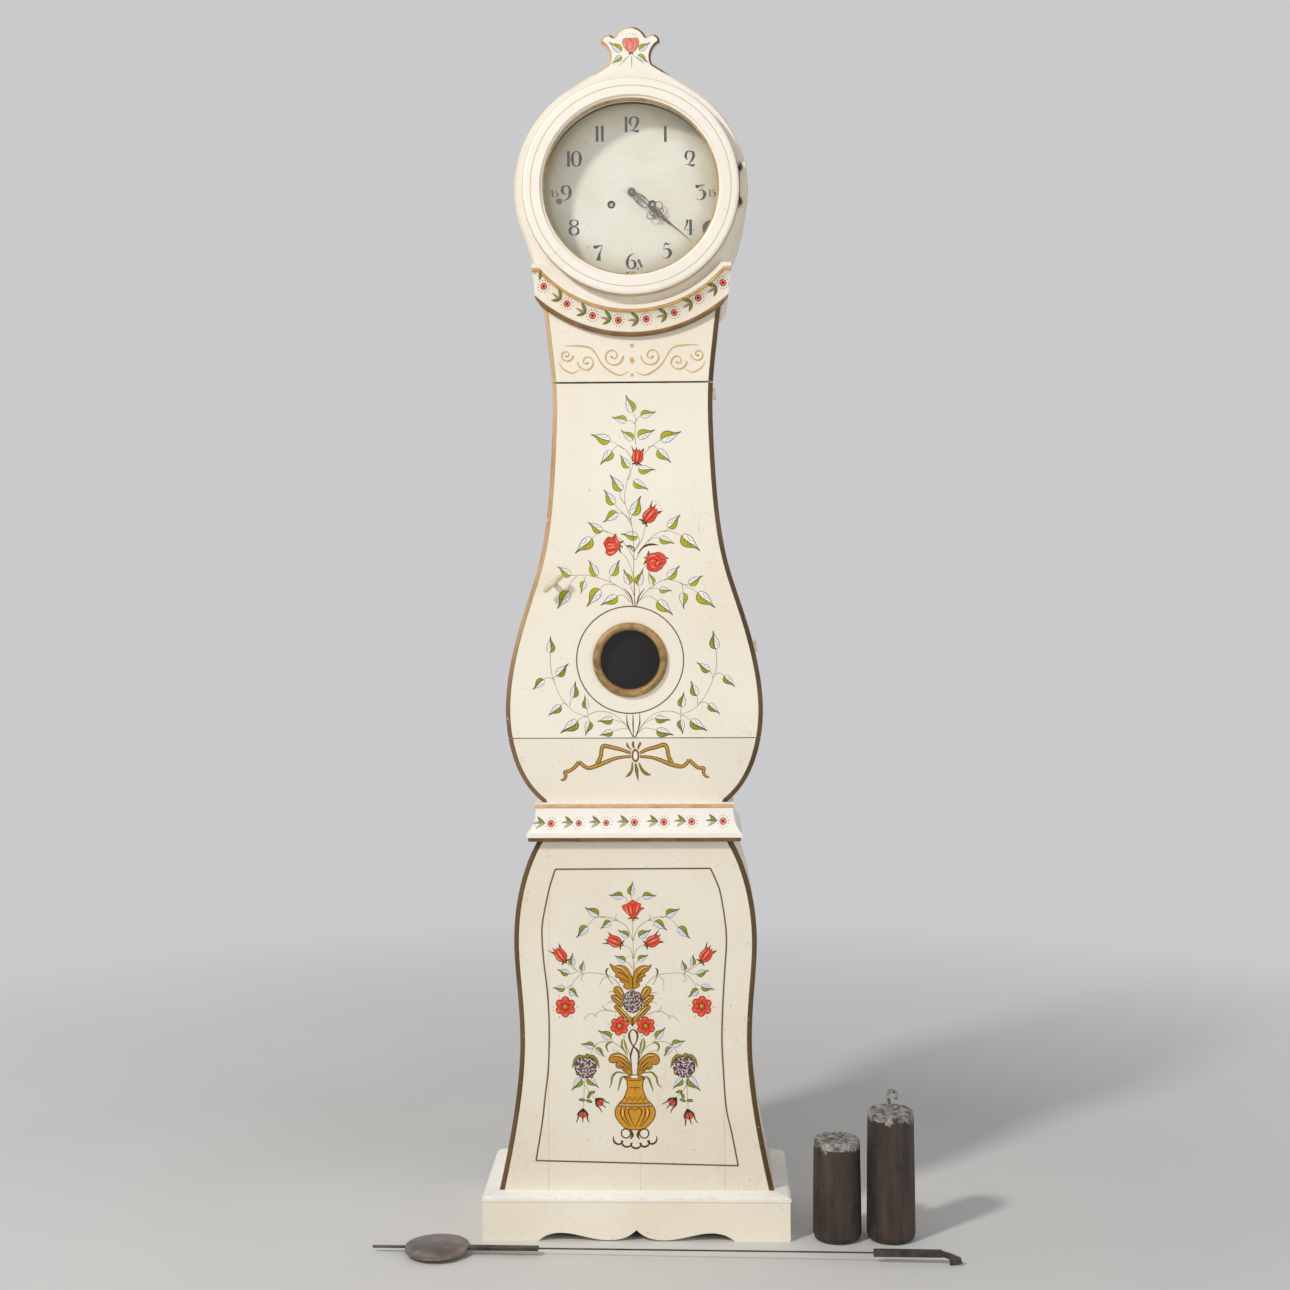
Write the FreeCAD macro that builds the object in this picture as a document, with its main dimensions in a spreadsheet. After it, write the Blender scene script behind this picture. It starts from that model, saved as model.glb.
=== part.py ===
"""A painted longcase clock of Swedish country type, with its pendulum and weights set down beside it.

Lengths are millimetres. +Z is up, +X is to the right of the person who faces the clock, and the clock
looks along -Y. The origin is on the floor, in the middle of the plinth's back edge, where the clock
stands against a wall.
"""
import FreeCAD, Part
import Sketcher
import math
import os

SIZES = (
    ("plinth_width", 537, "plinth across its boards"),
    ("plinth_depth", 276, "plinth from wall to front"),
    ("plinth_height", 69, "plinth boards"),
    ("plinth_board", 18, "plinth board thickness"),
    ("plinth_step", 27, "base set in from the plinth, front and sides"),
    ("back_step", 10, "case set in from the wall"),
    ("apron_half", 171.6, "half length of the cut-out under the plinth front"),
    ("apron_rise", 20, "height of the cusp of that cut-out"),
    ("plinth_moulding_rise", 11.5, "moulding above the plinth boards"),
    ("plinth_moulding_lip", 1.5, "its fillet proud of the boards"),
    ("base_height", 626, "base boards"),
    ("base_shoulder_half", 213.9, "base half width at its shoulder"),
    ("trunk_setback", 8, "trunk set in from the base at the belt"),
    ("trunk_height", 1014, "trunk boards"),
    ("trunk_foot_half", 163, "trunk half width behind the belt"),
    ("trunk_belly_half", 227, "trunk half width at its belly"),
    ("trunk_top_half", 171, "trunk half width at its top"),
    ("front_board", 18, "front board thickness"),
    ("side_board", 14, "side board thickness"),
    ("back_board", 12, "back board thickness"),
    ("edge_chamfer", 6.5, "painted chamfer down the front edges"),
    ("belt_height", 66.5, "belt moulding"),
    ("belt_lip", 26, "belt moulding at its lip, out from the trunk"),
    ("belt_fillet", 12, "belt moulding at its top, out from the trunk"),
    ("door_sill", 180.2, "door's lower edge above the base"),
    ("frieze_height", 209.3, "fixed panel and gap above the door"),
    ("door_gap", 1.5, "gap below the door"),
    ("door_head_gap", 3.2, "gap above the door, which rises a little as it opens"),
    ("door_relief", 0.3, "gap behind a closed door"),
    ("window_rise", 137, "window centre above the door's lower edge"),
    ("window_left", 6.5, "window centre left of the middle"),
    ("window_sight", 52, "window radius in view"),
    ("window_tube", 5, "wall of the bezel in the door"),
    ("bezel_width", 14, "width of the bezel's face"),
    ("bezel_crown", 9, "height of the bezel's face"),
    ("fit_gap", 0.2, "gap round a seated piece"),
    ("running_gap", 0.1, "gap round a turning piece"),
    ("clear_gap", 0.5, "gap between moving neighbours"),
    ("mesh_gap", 0.3, "gap between a wheel and the pinion that it drives"),
    ("glass", 3, "glass thickness"),
    ("knob_rise", 272.5, "turn knob above the door's lower edge"),
    ("knob_inset", 37, "turn knob in from the door's edge"),
    ("knob_length", 42, "bar of the turn knob"),
    ("knob_bar", 10, "bar thickness"),
    ("knob_stand", 22, "bar's middle in front of the door"),
    ("knob_stem", 5, "stem radius"),
    ("knob_angle", 41.6, "slope of the bar as it stands"),
    ("tongue_length", 31, "tongue from the stem"),
    ("tongue_width", 10, "tongue across"),
    ("tongue_plate", 4, "tongue thickness"),
    ("tongue_set", 4, "tongue behind the door"),
    ("hinge_low", 160, "lower hinge above the door's lower edge"),
    ("hinge_high", 18.5, "upper hinge below the door's upper edge"),
    ("hinge_stand", 4.2, "hinge axis out from the case's edge"),
    ("hinge_half", 10, "half length of a hinge"),
    ("hinge_knuckle", 2.2, "knuckle radius"),
    ("hinge_pin", 1, "pin radius"),
    ("hinge_leaf", 1.4, "leaf thickness"),
    ("hinge_leaf_reach", 15, "leaf width from the axis"),
    ("dial_rise", 133, "dial centre above the trunk's top"),
    ("dial_radius", 158, "dial plate"),
    ("dial_plate", 1.5, "dial plate thickness"),
    ("dial_set", 33, "dial face behind the trunk's front"),
    ("hood_radius", 206, "hood and its front board"),
    ("hood_foot_half", 171.5, "hood half width where it stands on the collar"),
    ("hood_board", 16, "hood front board thickness"),
    ("hood_front_lead", 6, "hood front ahead of the trunk's front"),
    ("hood_wall", 8, "bent wall of the hood"),
    ("hood_opening", 156, "opening in the hood's front board"),
    ("hood_travel", 330, "lift that clears the bells"),
    ("crest_height", 285.3, "crest top above the dial centre"),
    ("crest_half", 52, "crest half width at its tips"),
    ("crest_chamfer", 4, "chamfer along the crest's edges"),
    ("ring_radius", 190.4, "hood door outside"),
    ("ring_sight", 152.4, "hood door inside"),
    ("ring_depth", 24, "hood door thickness"),
    ("ring_rebate", 5, "width of the rebate that holds the glass"),
    ("block_height", 80, "hinge block of the hood"),
    ("block_width", 9, "hinge block across"),
    ("block_depth", 7, "hinge block thickness"),
    ("block_rise", 3, "its middle above the dial centre"),
    ("pintle_radius", 1.6, "pintle of the hood door"),
    ("eye_wall", 1.5, "wall of the eye round it"),
    ("eye_height", 8, "eye along the pintle"),
    ("pintle_rise", 30, "each pintle from the block's middle"),
    ("collar_inner", 206.6, "cradle radius that the hood rests in"),
    ("collar_width", 54, "collar from the cradle to its lower edge"),
    ("collar_lead", 20, "collar at its fillet, out from the trunk"),
    ("collar_end_half", 175, "collar half width at its top"),
    ("collar_low_half", 170, "collar half width at its lower corner"),
    ("collar_drop", 59, "lower corner of the collar's end below its top"),
    ("cheek_height", 100, "cheeks under the movement's seat"),
    ("cheek_board", 22, "cheek thickness"),
    ("seat_board", 22, "seat board thickness"),
    ("seat_half", 155, "seat board half length"),
    ("seat_depth", 92, "seat board front to back"),
    ("seat_set", 36, "seat board behind the trunk's front"),
    ("line_hole", 9, "holes for the weight lines"),
    ("plate_half", 75, "movement plate half width"),
    ("plate_top", 98, "movement plate top above the dial centre"),
    ("plate_brass", 3, "movement plate thickness"),
    ("plate_set", 56, "front plate behind the trunk's front"),
    ("plate_space", 62, "space between the plates"),
    ("pillar_radius", 5, "pillars between the plates"),
    ("foot_radius", 3, "dial feet"),
    ("winding_across", 36.4, "winding arbor from the middle"),
    ("winding_drop", 21, "winding arbor below the dial centre"),
    ("winding_hole", 6.2, "winding hole radius"),
    ("winding_square", 6, "winding square across"),
    ("arbor_radius", 2.5, "arbors"),
    ("barrel_radius", 22, "barrel drums"),
    ("barrel_length", 34, "barrel drums"),
    ("great_wheel", 38.5, "great wheel radius"),
    ("centre_wheel", 30, "centre wheel radius"),
    ("third_wheel", 24, "third wheel radius"),
    ("escape_wheel", 16, "escape wheel radius"),
    ("third_pinion", 4, "third wheel's pinion radius"),
    ("escape_pinion", 3, "escape wheel's pinion radius"),
    ("wheel_plate", 2.4, "wheel thickness"),
    ("tooth_depth", 2.2, "depth of the wheel teeth"),
    ("hour_wheel", 26, "hour wheel radius"),
    ("hour_pipe", 4.6, "hour pipe radius"),
    ("hand_plate", 1.2, "hands' thickness"),
    ("hand_line", 1.4, "width of the rings in the hands"),
    ("hand_space", 4, "from the dial to the hour hand, and on to the minute hand"),
    ("minute_length", 130, "minute hand"),
    ("hour_length", 94, "hour hand"),
    ("minute_angle", 129.8, "minute hand round from twelve"),
    ("hour_angle", 130.8, "hour hand round from twelve"),
    ("crutch_length", 128, "crutch below the anchor"),
    ("bell_radius", 36, "bell mouth"),
    ("bell_height", 24, "bell depth"),
    ("bell_wall", 2.5, "bell wall"),
    ("bell_across", 44, "bell centre from the middle"),
    ("bell_rise", 46, "bell mouth above the movement plates"),
    ("hammer_head", 5, "hammer head radius"),
    ("bob_radius", 55, "pendulum bob"),
    ("bob_half", 11, "half thickness of the bob"),
    ("bob_rim", 3.5, "half thickness at its rim"),
    ("rating_length", 57, "rating rod beyond the bob"),
    ("rating_radius", 2.4, "rating rod"),
    ("low_bar_length", 120, "flat rod above the bob"),
    ("low_bar_width", 14, "flat rod across"),
    ("wire_length", 569, "wire between the flat rods"),
    ("wire_radius", 1.4, "that wire"),
    ("top_bar_length", 114, "flat bar at the top, on its edge"),
    ("top_bar_width", 12.5, "that bar's height as it lies"),
    ("bar_plate", 5, "flat bar thickness"),
    ("hook_length", 34, "hook beyond the bar"),
    ("pendulum_left", 340, "bob centre left of the clock's middle"),
    ("pendulum_ahead", 61, "bob centre ahead of the plinth"),
    ("pendulum_angle", 2.8, "turn of the pendulum on the floor"),
    ("weight_radius", 42.5, "short weight"),
    ("weight_height", 175, "short weight"),
    ("weight_place", 82.5, "short weight out from the plinth's side"),
    ("tall_radius", 42.5, "tall weight"),
    ("tall_height", 224, "tall weight"),
    ("tall_place", 176.5, "tall weight out from the plinth's side"),
    ("weight_behind", 23, "weights behind the plinth's front"),
    ("weight_round", 4, "rounding of the weights' upper edges"),
    ("weight_foot", 8, "rounding of the weights' lower edges"),
    ("hook_wire", 3, "wire radius of the weight hooks"),
    ("hook_bend", 8, "bend radius of the weight hook"),
)

APRON_SHARES = ((1, 0), (0.93, 0.43), (0.77, 0.73), (0.56, 0.47), (0.27, 0.1), (0.12, 0.32), (0, 1))
BASE_SHARES = ((0.157, 1.045), (0.292, 0.983), (0.409, 0.955), (0.562, 0.971), (0.714, 1), (0.866, 0.95))
TRUNK_SHARES = (
    (0.104, 0.867), (0.166, 0.972), (0.218, 1), (0.312, 0.956), (0.396, 0.855), (0.479, 0.738),
    (0.584, 0.661), (0.69, 0.63), (0.789, 0.626), (0.855, 0.653), (0.927, 0.692),
)
CREST_NECK_SHARES = (0.74, 0.768)
CREST_FLANK_SHARES = (0.71, 0.835)
CREST_TIP_SHARES = (1, 0.901)
CREST_LOBE_SHARES = (0.83, 0.949)
CREST_NOTCH_SHARES = (0.54, 0.931)
HOUR_HAND_SHARES = (
    ((0.012, 0.41), (0.03, 0.5), (0.034, 0.58), (0.014, 0.7), (0.003, 1)),
    ((0, 0.47), (0.014, 0.53), (0, 0.62)),
    ((0.245, 0.18, 0.095),),
    ((0.22, 0.046, 0.034), (0.56, 0.06, 0.042)),
)
MINUTE_HAND_SHARES = (
    ((0.007, 0), (0.007, 0.34), (0.033, 0.4), (0.035, 0.49), (0.012, 0.63), (0.003, 1)),
    ((0, 0.39), (0.014, 0.44), (0, 0.55)),
    (),
    ((0.41, 0.087, 0.057), (0.485, 0.062, 0.03)),
)
HOOK_SHARES = (
    (0, 0.14), (0.41, 0.02), (0.86, -0.16), (0.94, -0.2), (1, -0.43), (0.98, -0.48), (0.39, -0.56),
    (0.365, -0.33), (0.635, -0.34), (0.455, -0.295), (0.137, -0.18), (0, -0.16),
)


class Length:
    """A size that carries its number and the sheet expression that gives it."""

    def __init__(self, number, text):
        self.number = number
        self.text = text

    def __float__(self):
        return float(self.number)

    def __add__(self, other):
        return Length(self.number + float(other), "(%s + %s)" % (self.text, words(other)))

    def __radd__(self, other):
        return self + other

    def __sub__(self, other):
        return Length(self.number - float(other), "(%s - %s)" % (self.text, words(other)))

    def __rsub__(self, other):
        return Length(float(other) - self.number, "(%s - %s)" % (words(other), self.text))

    def __mul__(self, other):
        return Length(self.number * float(other), "(%s * %s)" % (self.text, words(other)))

    def __rmul__(self, other):
        return self * other

    def __truediv__(self, other):
        return Length(self.number / float(other), "(%s / %s)" % (self.text, words(other)))

    def __neg__(self):
        return Length(-self.number, "(0 - %s)" % self.text)


def words(item):
    """The expression text of a length or a plain number."""
    return item.text if isinstance(item, Length) else repr(item)


class Sizes:
    """The driving sizes, read from the sheet by their names."""

    def __init__(self, sheet):
        self.sheet = sheet

    def __getattr__(self, name):
        return Length(float(self.sheet.get(name)), "Sizes." + name)


def fill_sheet(doc):
    """Write every driving size into the sheet as a named cell."""
    sheet = doc.addObject("Spreadsheet::Sheet", "Sizes")
    for row, (name, number, note) in enumerate(SIZES, start=1):
        sheet.set("A%d" % row, note)
        sheet.set("B%d" % row, str(number))
        sheet.setAlias("B%d" % row, name)
    doc.recompute()
    return sheet


doc = FreeCAD.newDocument("LongcaseClock")
s = Sizes(fill_sheet(doc))
ZERO = Length(0, "0")
UP = FreeCAD.Vector(0, 0, 1)
BACKWARD = FreeCAD.Vector(0, 1, 0)

nodes = []

base_floor = s.plinth_height
base_front = s.plinth_step - s.plinth_depth
trunk_front = base_front + s.trunk_setback
case_back = -s.back_step
back_inside = case_back - s.back_board
base_top = base_floor + s.base_height
base_foot_half = s.plinth_width / 2 - s.plinth_step
base_top_half = s.trunk_foot_half + s.trunk_setback
trunk_top = base_top + s.trunk_height
belt_top = base_top + s.belt_height
base_inside = base_front + s.front_board
trunk_inside = trunk_front + s.front_board
door_low = base_top + s.door_sill
door_high = trunk_top - s.frieze_height
dial_level = trunk_top + s.dial_rise
hood_front = trunk_front - s.hood_front_lead
hood_inside = hood_front + s.hood_board
ring_back = hood_front - s.door_relief
ring_front = ring_back - s.ring_depth
dial_face = trunk_front + s.dial_set
dial_back = dial_face + s.dial_plate
seat_top = trunk_top + s.seat_board
plate_front = trunk_front + s.plate_set
plate_inside = plate_front + s.plate_brass
plate_far = plate_inside + s.plate_space
plate_end = plate_far + s.plate_brass


def keep(obj, label):
    """Name an object as a finished sub-part."""
    obj.Label = label
    nodes.append(obj)
    return obj


def place(obj, x, y, z):
    """Bind an object's position to the sheet."""
    obj.setExpression("Placement.Base.x", words(x))
    obj.setExpression("Placement.Base.y", words(y))
    obj.setExpression("Placement.Base.z", words(z))


def box(name, x, y, z, length, width, height):
    """A board with its low corner at x, y, z."""
    obj = doc.addObject("Part::Box", name)
    obj.setExpression("Length", words(length))
    obj.setExpression("Width", words(width))
    obj.setExpression("Height", words(height))
    place(obj, x, y, z)
    return obj


def rod(name, x, y, z, radius, length):
    """A round rod that runs backward from x, y, z."""
    obj = doc.addObject("Part::Cylinder", name)
    obj.Placement.Rotation = FreeCAD.Rotation(FreeCAD.Vector(1, 0, 0), -90)
    obj.setExpression("Radius", words(radius))
    obj.setExpression("Height", words(length))
    place(obj, x, y, z)
    return obj


def post(name, x, y, z, radius, height):
    """A round post that rises from x, y, z."""
    obj = doc.addObject("Part::Cylinder", name)
    obj.setExpression("Radius", words(radius))
    obj.setExpression("Height", words(height))
    place(obj, x, y, z)
    return obj


def cut(name, base, tool):
    """The base without the tool."""
    obj = doc.addObject("Part::Cut", name)
    obj.Base = base
    obj.Tool = tool
    return obj


def fuse(name, parts):
    """Several solids joined into one."""
    obj = doc.addObject("Part::MultiFuse", name)
    obj.Shapes = parts
    return obj


def feature(label, shape):
    """A sub-part whose shape is worked out here."""
    obj = doc.addObject("Part::Feature", label)
    obj.Shape = shape
    return keep(obj, label)


def turned(name, plane, x, y, z, corners):
    """A body turned about its own upright sketch axis from (radius, height) corners."""
    body = doc.addObject("PartDesign::Body", name)
    sketch = body.newObject("Sketcher::SketchObject", name + "_profile")
    face = [item for item in body.Origin.OriginFeatures if item.Role == plane][0]
    sketch.AttachmentSupport = (face, [""])
    sketch.MapMode = "FlatFace"
    spots = [FreeCAD.Vector(float(a), float(b), 0) for a, b in corners]
    count = len(spots)
    for i in range(count):
        sketch.addGeometry(Part.LineSegment(spots[i], spots[(i + 1) % count]), False)
    for i in range(count):
        sketch.addConstraint(Sketcher.Constraint("Coincident", i, 2, (i + 1) % count, 1))
    for i, (a, b) in enumerate(corners):
        across = sketch.addConstraint(Sketcher.Constraint("DistanceX", -1, 1, i, 1, float(a)))
        along = sketch.addConstraint(Sketcher.Constraint("DistanceY", -1, 1, i, 1, float(b)))
        if isinstance(a, Length) and a.text != "0":
            sketch.setExpression("Constraints[%d]" % across, a.text)
        if isinstance(b, Length) and b.text != "0":
            sketch.setExpression("Constraints[%d]" % along, b.text)
    spin = body.newObject("PartDesign::Revolution", name + "_turned")
    spin.Profile = sketch
    spin.ReferenceAxis = (sketch, ["V_Axis"])
    spin.Angle = 360
    place(body, x, y, z)
    return body


def spot(x, y, z):
    """A point from lengths."""
    return FreeCAD.Vector(float(x), float(y), float(z))


def spline(points):
    """A smooth curve through points."""
    curve = Part.BSplineCurve()
    curve.interpolate(points)
    return curve


def prism(edges, y_low, y_high):
    """A board cut to a closed outline that lies across the Y axis, from y_low to y_high."""
    wire = Part.Wire(Part.__sortEdges__(edges))
    face = Part.Face(wire)
    face.translate(FreeCAD.Vector(0, float(y_low), 0))
    return face.extrude(BACKWARD * (float(y_high) - float(y_low)))


class Side:
    """One edge line of the case front: upright behind a moulding, then a smooth curve."""

    def __init__(self, hand, inset, foot_z, foot_half, top_z, top_half, rise, half, shares, start_z):
        self.hand = hand
        self.inset = float(inset)
        self.foot_z = float(foot_z)
        self.foot_x = hand * (float(foot_half) - self.inset)
        self.start_z = float(start_z)
        points = [FreeCAD.Vector(self.foot_x, 0, self.start_z)]
        for up, out in shares:
            x = hand * (float(half) * out - self.inset)
            points.append(FreeCAD.Vector(x, 0, self.foot_z + float(rise) * up))
        points.append(FreeCAD.Vector(hand * (float(top_half) - self.inset), 0, float(top_z)))
        self.curve = spline(points)

    def parameter(self, z):
        """The curve's parameter at a height."""
        low, high = self.curve.FirstParameter, self.curve.LastParameter
        if z <= self.start_z:
            return low
        if z >= self.curve.value(high).z:
            return high
        for _ in range(60):
            middle = (low + high) / 2
            if self.curve.value(middle).z < z:
                low = middle
            else:
                high = middle
        return low

    def at(self, z):
        """The edge's x at a height."""
        z = float(z)
        if z <= self.start_z:
            return self.foot_x
        return self.curve.value(self.parameter(z)).x

    def edges(self, z_low, z_high):
        """The edge line between two heights."""
        z_low = float(z_low)
        z_high = float(z_high)
        found = []
        if z_low < self.start_z:
            foot = FreeCAD.Vector(self.foot_x, 0, z_low)
            found.append(Part.makeLine(foot, FreeCAD.Vector(self.foot_x, 0, min(self.start_z, z_high))))
        if z_high > self.start_z:
            first = self.parameter(max(z_low, self.start_z))
            found.append(self.curve.toShape(first, self.parameter(z_high)))
        return found


def base_side(hand, inset):
    """The base's edge line, set in by a board where asked."""
    start = base_floor + s.plinth_moulding_rise
    return Side(hand, inset, base_floor, base_foot_half, base_top, base_top_half, s.base_height,
                s.base_shoulder_half, BASE_SHARES, start)


def trunk_side(hand, inset):
    """The trunk's edge line, set in by a board where asked."""
    return Side(hand, inset, base_top, s.trunk_foot_half, trunk_top, s.trunk_top_half, s.trunk_height,
                s.trunk_belly_half, TRUNK_SHARES, belt_top)


def ends(edges):
    """The lowest and highest points of a run of edges."""
    points = [vertex.Point for edge in edges for vertex in edge.Vertexes]
    return min(points, key=lambda p: p.z), max(points, key=lambda p: p.z)


def curved_board(maker, z_low, z_high, y_low, y_high):
    """A front or back board between two heights, as wide as the case."""
    right = maker(1, ZERO).edges(z_low, z_high)
    left = maker(-1, ZERO).edges(z_low, z_high)
    low_right, high_right = ends(right)
    low_left, high_left = ends(left)
    closing = [Part.makeLine(low_left, low_right), Part.makeLine(high_left, high_right)]
    return prism(right + left + closing, y_low, y_high)


def curved_wall(maker, hand, z_low, z_high, y_low, y_high, outer_inset, inner_inset):
    """A side board that follows the case's edge line."""
    outer = maker(hand, outer_inset).edges(z_low, z_high)
    inner = maker(hand, inner_inset).edges(z_low, z_high)
    low_outer, high_outer = ends(outer)
    low_inner, high_inner = ends(inner)
    closing = [Part.makeLine(low_outer, low_inner), Part.makeLine(high_outer, high_inner)]
    return prism(outer + inner + closing, y_low, y_high)


def ease_front_edges(shape, y_front, size):
    """Chamfer the upright edges at the front of a board."""
    tiny = float(s.running_gap)
    chosen = []
    for edge in shape.Edges:
        bounds = edge.BoundBox
        flat = bounds.YLength < tiny and abs(bounds.YMin - float(y_front)) < tiny
        if flat and bounds.ZLength > bounds.XLength * tiny + tiny and abs(bounds.Center.x) > 5 * float(size):
            chosen.append(edge)
    return shape.makeChamfer(float(size), chosen)


def strip(profile, start, end):
    """A moulding whose section is carried straight from one end to the other.

    The profile lists lines as two (out, up) points and curves as more, each start where the last ended.
    start and end turn (out, up) into a point, so that a mitred end is only another way to place it.
    """
    wires = []
    for mapping in (start, end):
        edges = []
        for run in profile:
            points = [mapping(float(out), float(up)) for out, up in run]
            edges.append(Part.makeLine(*points) if len(points) == 2 else spline(points).toShape())
        wires.append(Part.Wire(edges))
    return Part.makeLoft(wires, True, True)


def mitred_set(prefix, profile, half, front, back, level):
    """A moulding along the front and both sides, mitred at the two front corners."""
    half, front, back, level = float(half), float(front), float(back), float(level)

    def corner(hand):
        return lambda out, up: FreeCAD.Vector(hand * (half + out), front - out, level + up)

    def tail(hand):
        return lambda out, up: FreeCAD.Vector(hand * (half + out), back, level + up)

    feature(prefix + "_front", strip(profile, corner(-1), corner(1)))
    feature(prefix + "_left", strip(profile, tail(-1), corner(-1)))
    feature(prefix + "_right", strip(profile, corner(1), tail(1)))


def make_plinth():
    """Four boards, with a scalloped cut-out under the front one, and the moulding on top."""
    half = s.plinth_width / 2
    bottom = []
    for hand in (-1, 1):
        points = [spot(hand * s.apron_half * out, ZERO, s.apron_rise * up) for out, up in APRON_SHARES]
        bottom.append(spline(points).toShape())
    corners = [spot(s.apron_half, ZERO, ZERO), spot(half, ZERO, ZERO), spot(half, ZERO, s.plinth_height),
               spot(-half, ZERO, s.plinth_height), spot(-half, ZERO, ZERO), spot(-s.apron_half, ZERO, ZERO)]
    outline = [Part.makeLine(a, b) for a, b in zip(corners, corners[1:])]
    feature("plinth_front", prism(bottom + outline, -s.plinth_depth, s.plinth_board - s.plinth_depth))
    length = s.plinth_depth - s.plinth_board
    left = box("plinth_side_left", -half, -length, ZERO, s.plinth_board, length, s.plinth_height)
    keep(left, "plinth_side_left")
    right = box("plinth_side_right", half - s.plinth_board, -length, ZERO, s.plinth_board, length,
                s.plinth_height)
    keep(right, "plinth_side_right")
    inner = half - s.plinth_board
    rail = box("plinth_back_rail", -inner, -s.plinth_board, ZERO, 2 * inner, s.plinth_board,
               s.plinth_height)
    keep(rail, "plinth_back_rail")
    lip = s.plinth_step + s.plinth_moulding_lip
    rise = s.plinth_moulding_rise
    quirk = s.plinth_step - s.plinth_moulding_lip
    profile = (
        ((ZERO, ZERO), (lip, ZERO)),
        ((lip, ZERO), (lip, rise * 0.39)),
        ((lip, rise * 0.39), (quirk, rise * 0.45)),
        ((quirk, rise * 0.45), (quirk, rise * 0.58)),
        ((quirk, rise * 0.58), (quirk * 0.9, rise * 0.68)),
        ((quirk * 0.9, rise * 0.68), (ZERO, rise)),
        ((ZERO, rise), (ZERO, ZERO)),
    )
    mitred_set("plinth_moulding", profile, base_foot_half, base_front, case_back, base_floor)


def make_base():
    """The swelling base: a bottom board, front, sides and back."""
    inner = s.plinth_width / 2 - s.plinth_board
    depth = s.plinth_depth - 2 * s.plinth_board
    bottom = box("base_bottom", -inner, -depth - s.plinth_board, base_floor - s.front_board, 2 * inner,
                 depth, s.front_board)
    keep(bottom, "base_bottom")
    front = curved_board(base_side, base_floor, base_top, base_front, base_inside)
    feature("base_front", ease_front_edges(front, base_front, s.edge_chamfer))
    for hand, name in ((-1, "base_side_left"), (1, "base_side_right")):
        wall = curved_wall(base_side, hand, base_floor, base_top, base_inside, back_inside, ZERO,
                           s.side_board)
        feature(name, wall)
    feature("base_back", curved_board(base_side, base_floor, base_top, back_inside, case_back))


def make_belt():
    """The moulding that covers the joint of base and trunk."""
    out = s.belt_lip
    top = s.belt_height
    profile = (
        ((ZERO, ZERO), (out * 0.82, ZERO)),
        ((out * 0.82, ZERO), (out * 0.9, top * 0.03)),
        ((out * 0.9, top * 0.03), (out * 0.9, top * 0.095)),
        ((out * 0.9, top * 0.095), (out, top * 0.115)),
        ((out, top * 0.115), (out, top * 0.21)),
        ((out, top * 0.21), (out * 0.94, top * 0.225)),
        ((out * 0.94, top * 0.225), (out * 0.68, top * 0.36), (out * 0.5, top * 0.57),
         (s.belt_fillet * 0.88, top * 0.86)),
        ((s.belt_fillet * 0.88, top * 0.86), (s.belt_fillet * 0.98, top * 0.88),
         (s.belt_fillet * 1.02, top * 0.925), (s.belt_fillet * 0.9, top * 0.96)),
        ((s.belt_fillet * 0.9, top * 0.96), (s.belt_fillet, top * 0.965)),
        ((s.belt_fillet, top * 0.965), (s.belt_fillet, top)),
        ((s.belt_fillet, top), (ZERO, top)),
        ((ZERO, top), (ZERO, ZERO)),
    )
    mitred_set("belt", profile, s.trunk_foot_half, trunk_front, case_back, base_top)


def tangent_spot(x, z, radius):
    """Where a line from a point touches a circle about the dial axis, on its upper side."""
    x, z, radius = float(x), float(z), float(radius)
    reach = math.hypot(x, z)
    turn = math.acos(radius / reach)
    angle = math.atan2(z, x) + (turn if z < 0 else -turn)
    return radius * math.cos(angle), radius * math.sin(angle)


def dial_spot(x, z):
    """A point from its place about the dial axis."""
    return FreeCAD.Vector(float(x), 0, float(dial_level) + float(z))


def arc(first, middle, last):
    """A round edge through three points."""
    return Part.Arc(first, middle, last).toShape()


def head_edges(radius, foot_half, hand):
    """The straight shoulder of the hood on one side, from its foot to the round."""
    foot = dial_spot(hand * float(foot_half), -s.dial_rise)
    x, z = tangent_spot(foot_half, -s.dial_rise, radius)
    return foot, dial_spot(hand * x, z)


def make_trunk():
    """The trunk's sides, its tall back board with a round head, and the two fixed front panels."""
    axis = hinge_axis()
    for hand, name in ((-1, "trunk_side_left"), (1, "trunk_side_right")):
        wall = curved_wall(trunk_side, hand, base_top, trunk_top, trunk_inside, back_inside, ZERO,
                           s.side_board)
        if hand > 0:
            wall = wall.cut(leaf_pockets(axis))
        else:
            wall = wall.cut(tongue_mortise())
        feature(name, wall)
    lower = curved_board(trunk_side, base_top, door_low - s.door_gap, trunk_front, trunk_inside)
    feature("lower_panel", ease_front_edges(lower, trunk_front, s.edge_chamfer))
    frieze = curved_board(trunk_side, door_high + s.door_head_gap, trunk_top, trunk_front, trunk_inside)
    frieze = ease_front_edges(frieze, trunk_front, s.edge_chamfer)
    feature("frieze_panel", frieze.cut(dial_disc(s.collar_inner, trunk_front, s.front_board)))
    right = trunk_side(1, ZERO).edges(base_top, trunk_top)
    left = trunk_side(-1, ZERO).edges(base_top, trunk_top)
    foot_right, turn_right = head_edges(s.hood_radius, s.trunk_top_half, 1)
    foot_left, turn_left = head_edges(s.hood_radius, s.trunk_top_half, -1)
    crown = arc(turn_right, dial_spot(0, s.hood_radius), turn_left)
    closing = [Part.makeLine(ends(left)[0], ends(right)[0]), Part.makeLine(foot_right, turn_right),
               Part.makeLine(foot_left, turn_left), crown]
    feature("trunk_back", prism(right + left + closing, back_inside, case_back))


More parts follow.
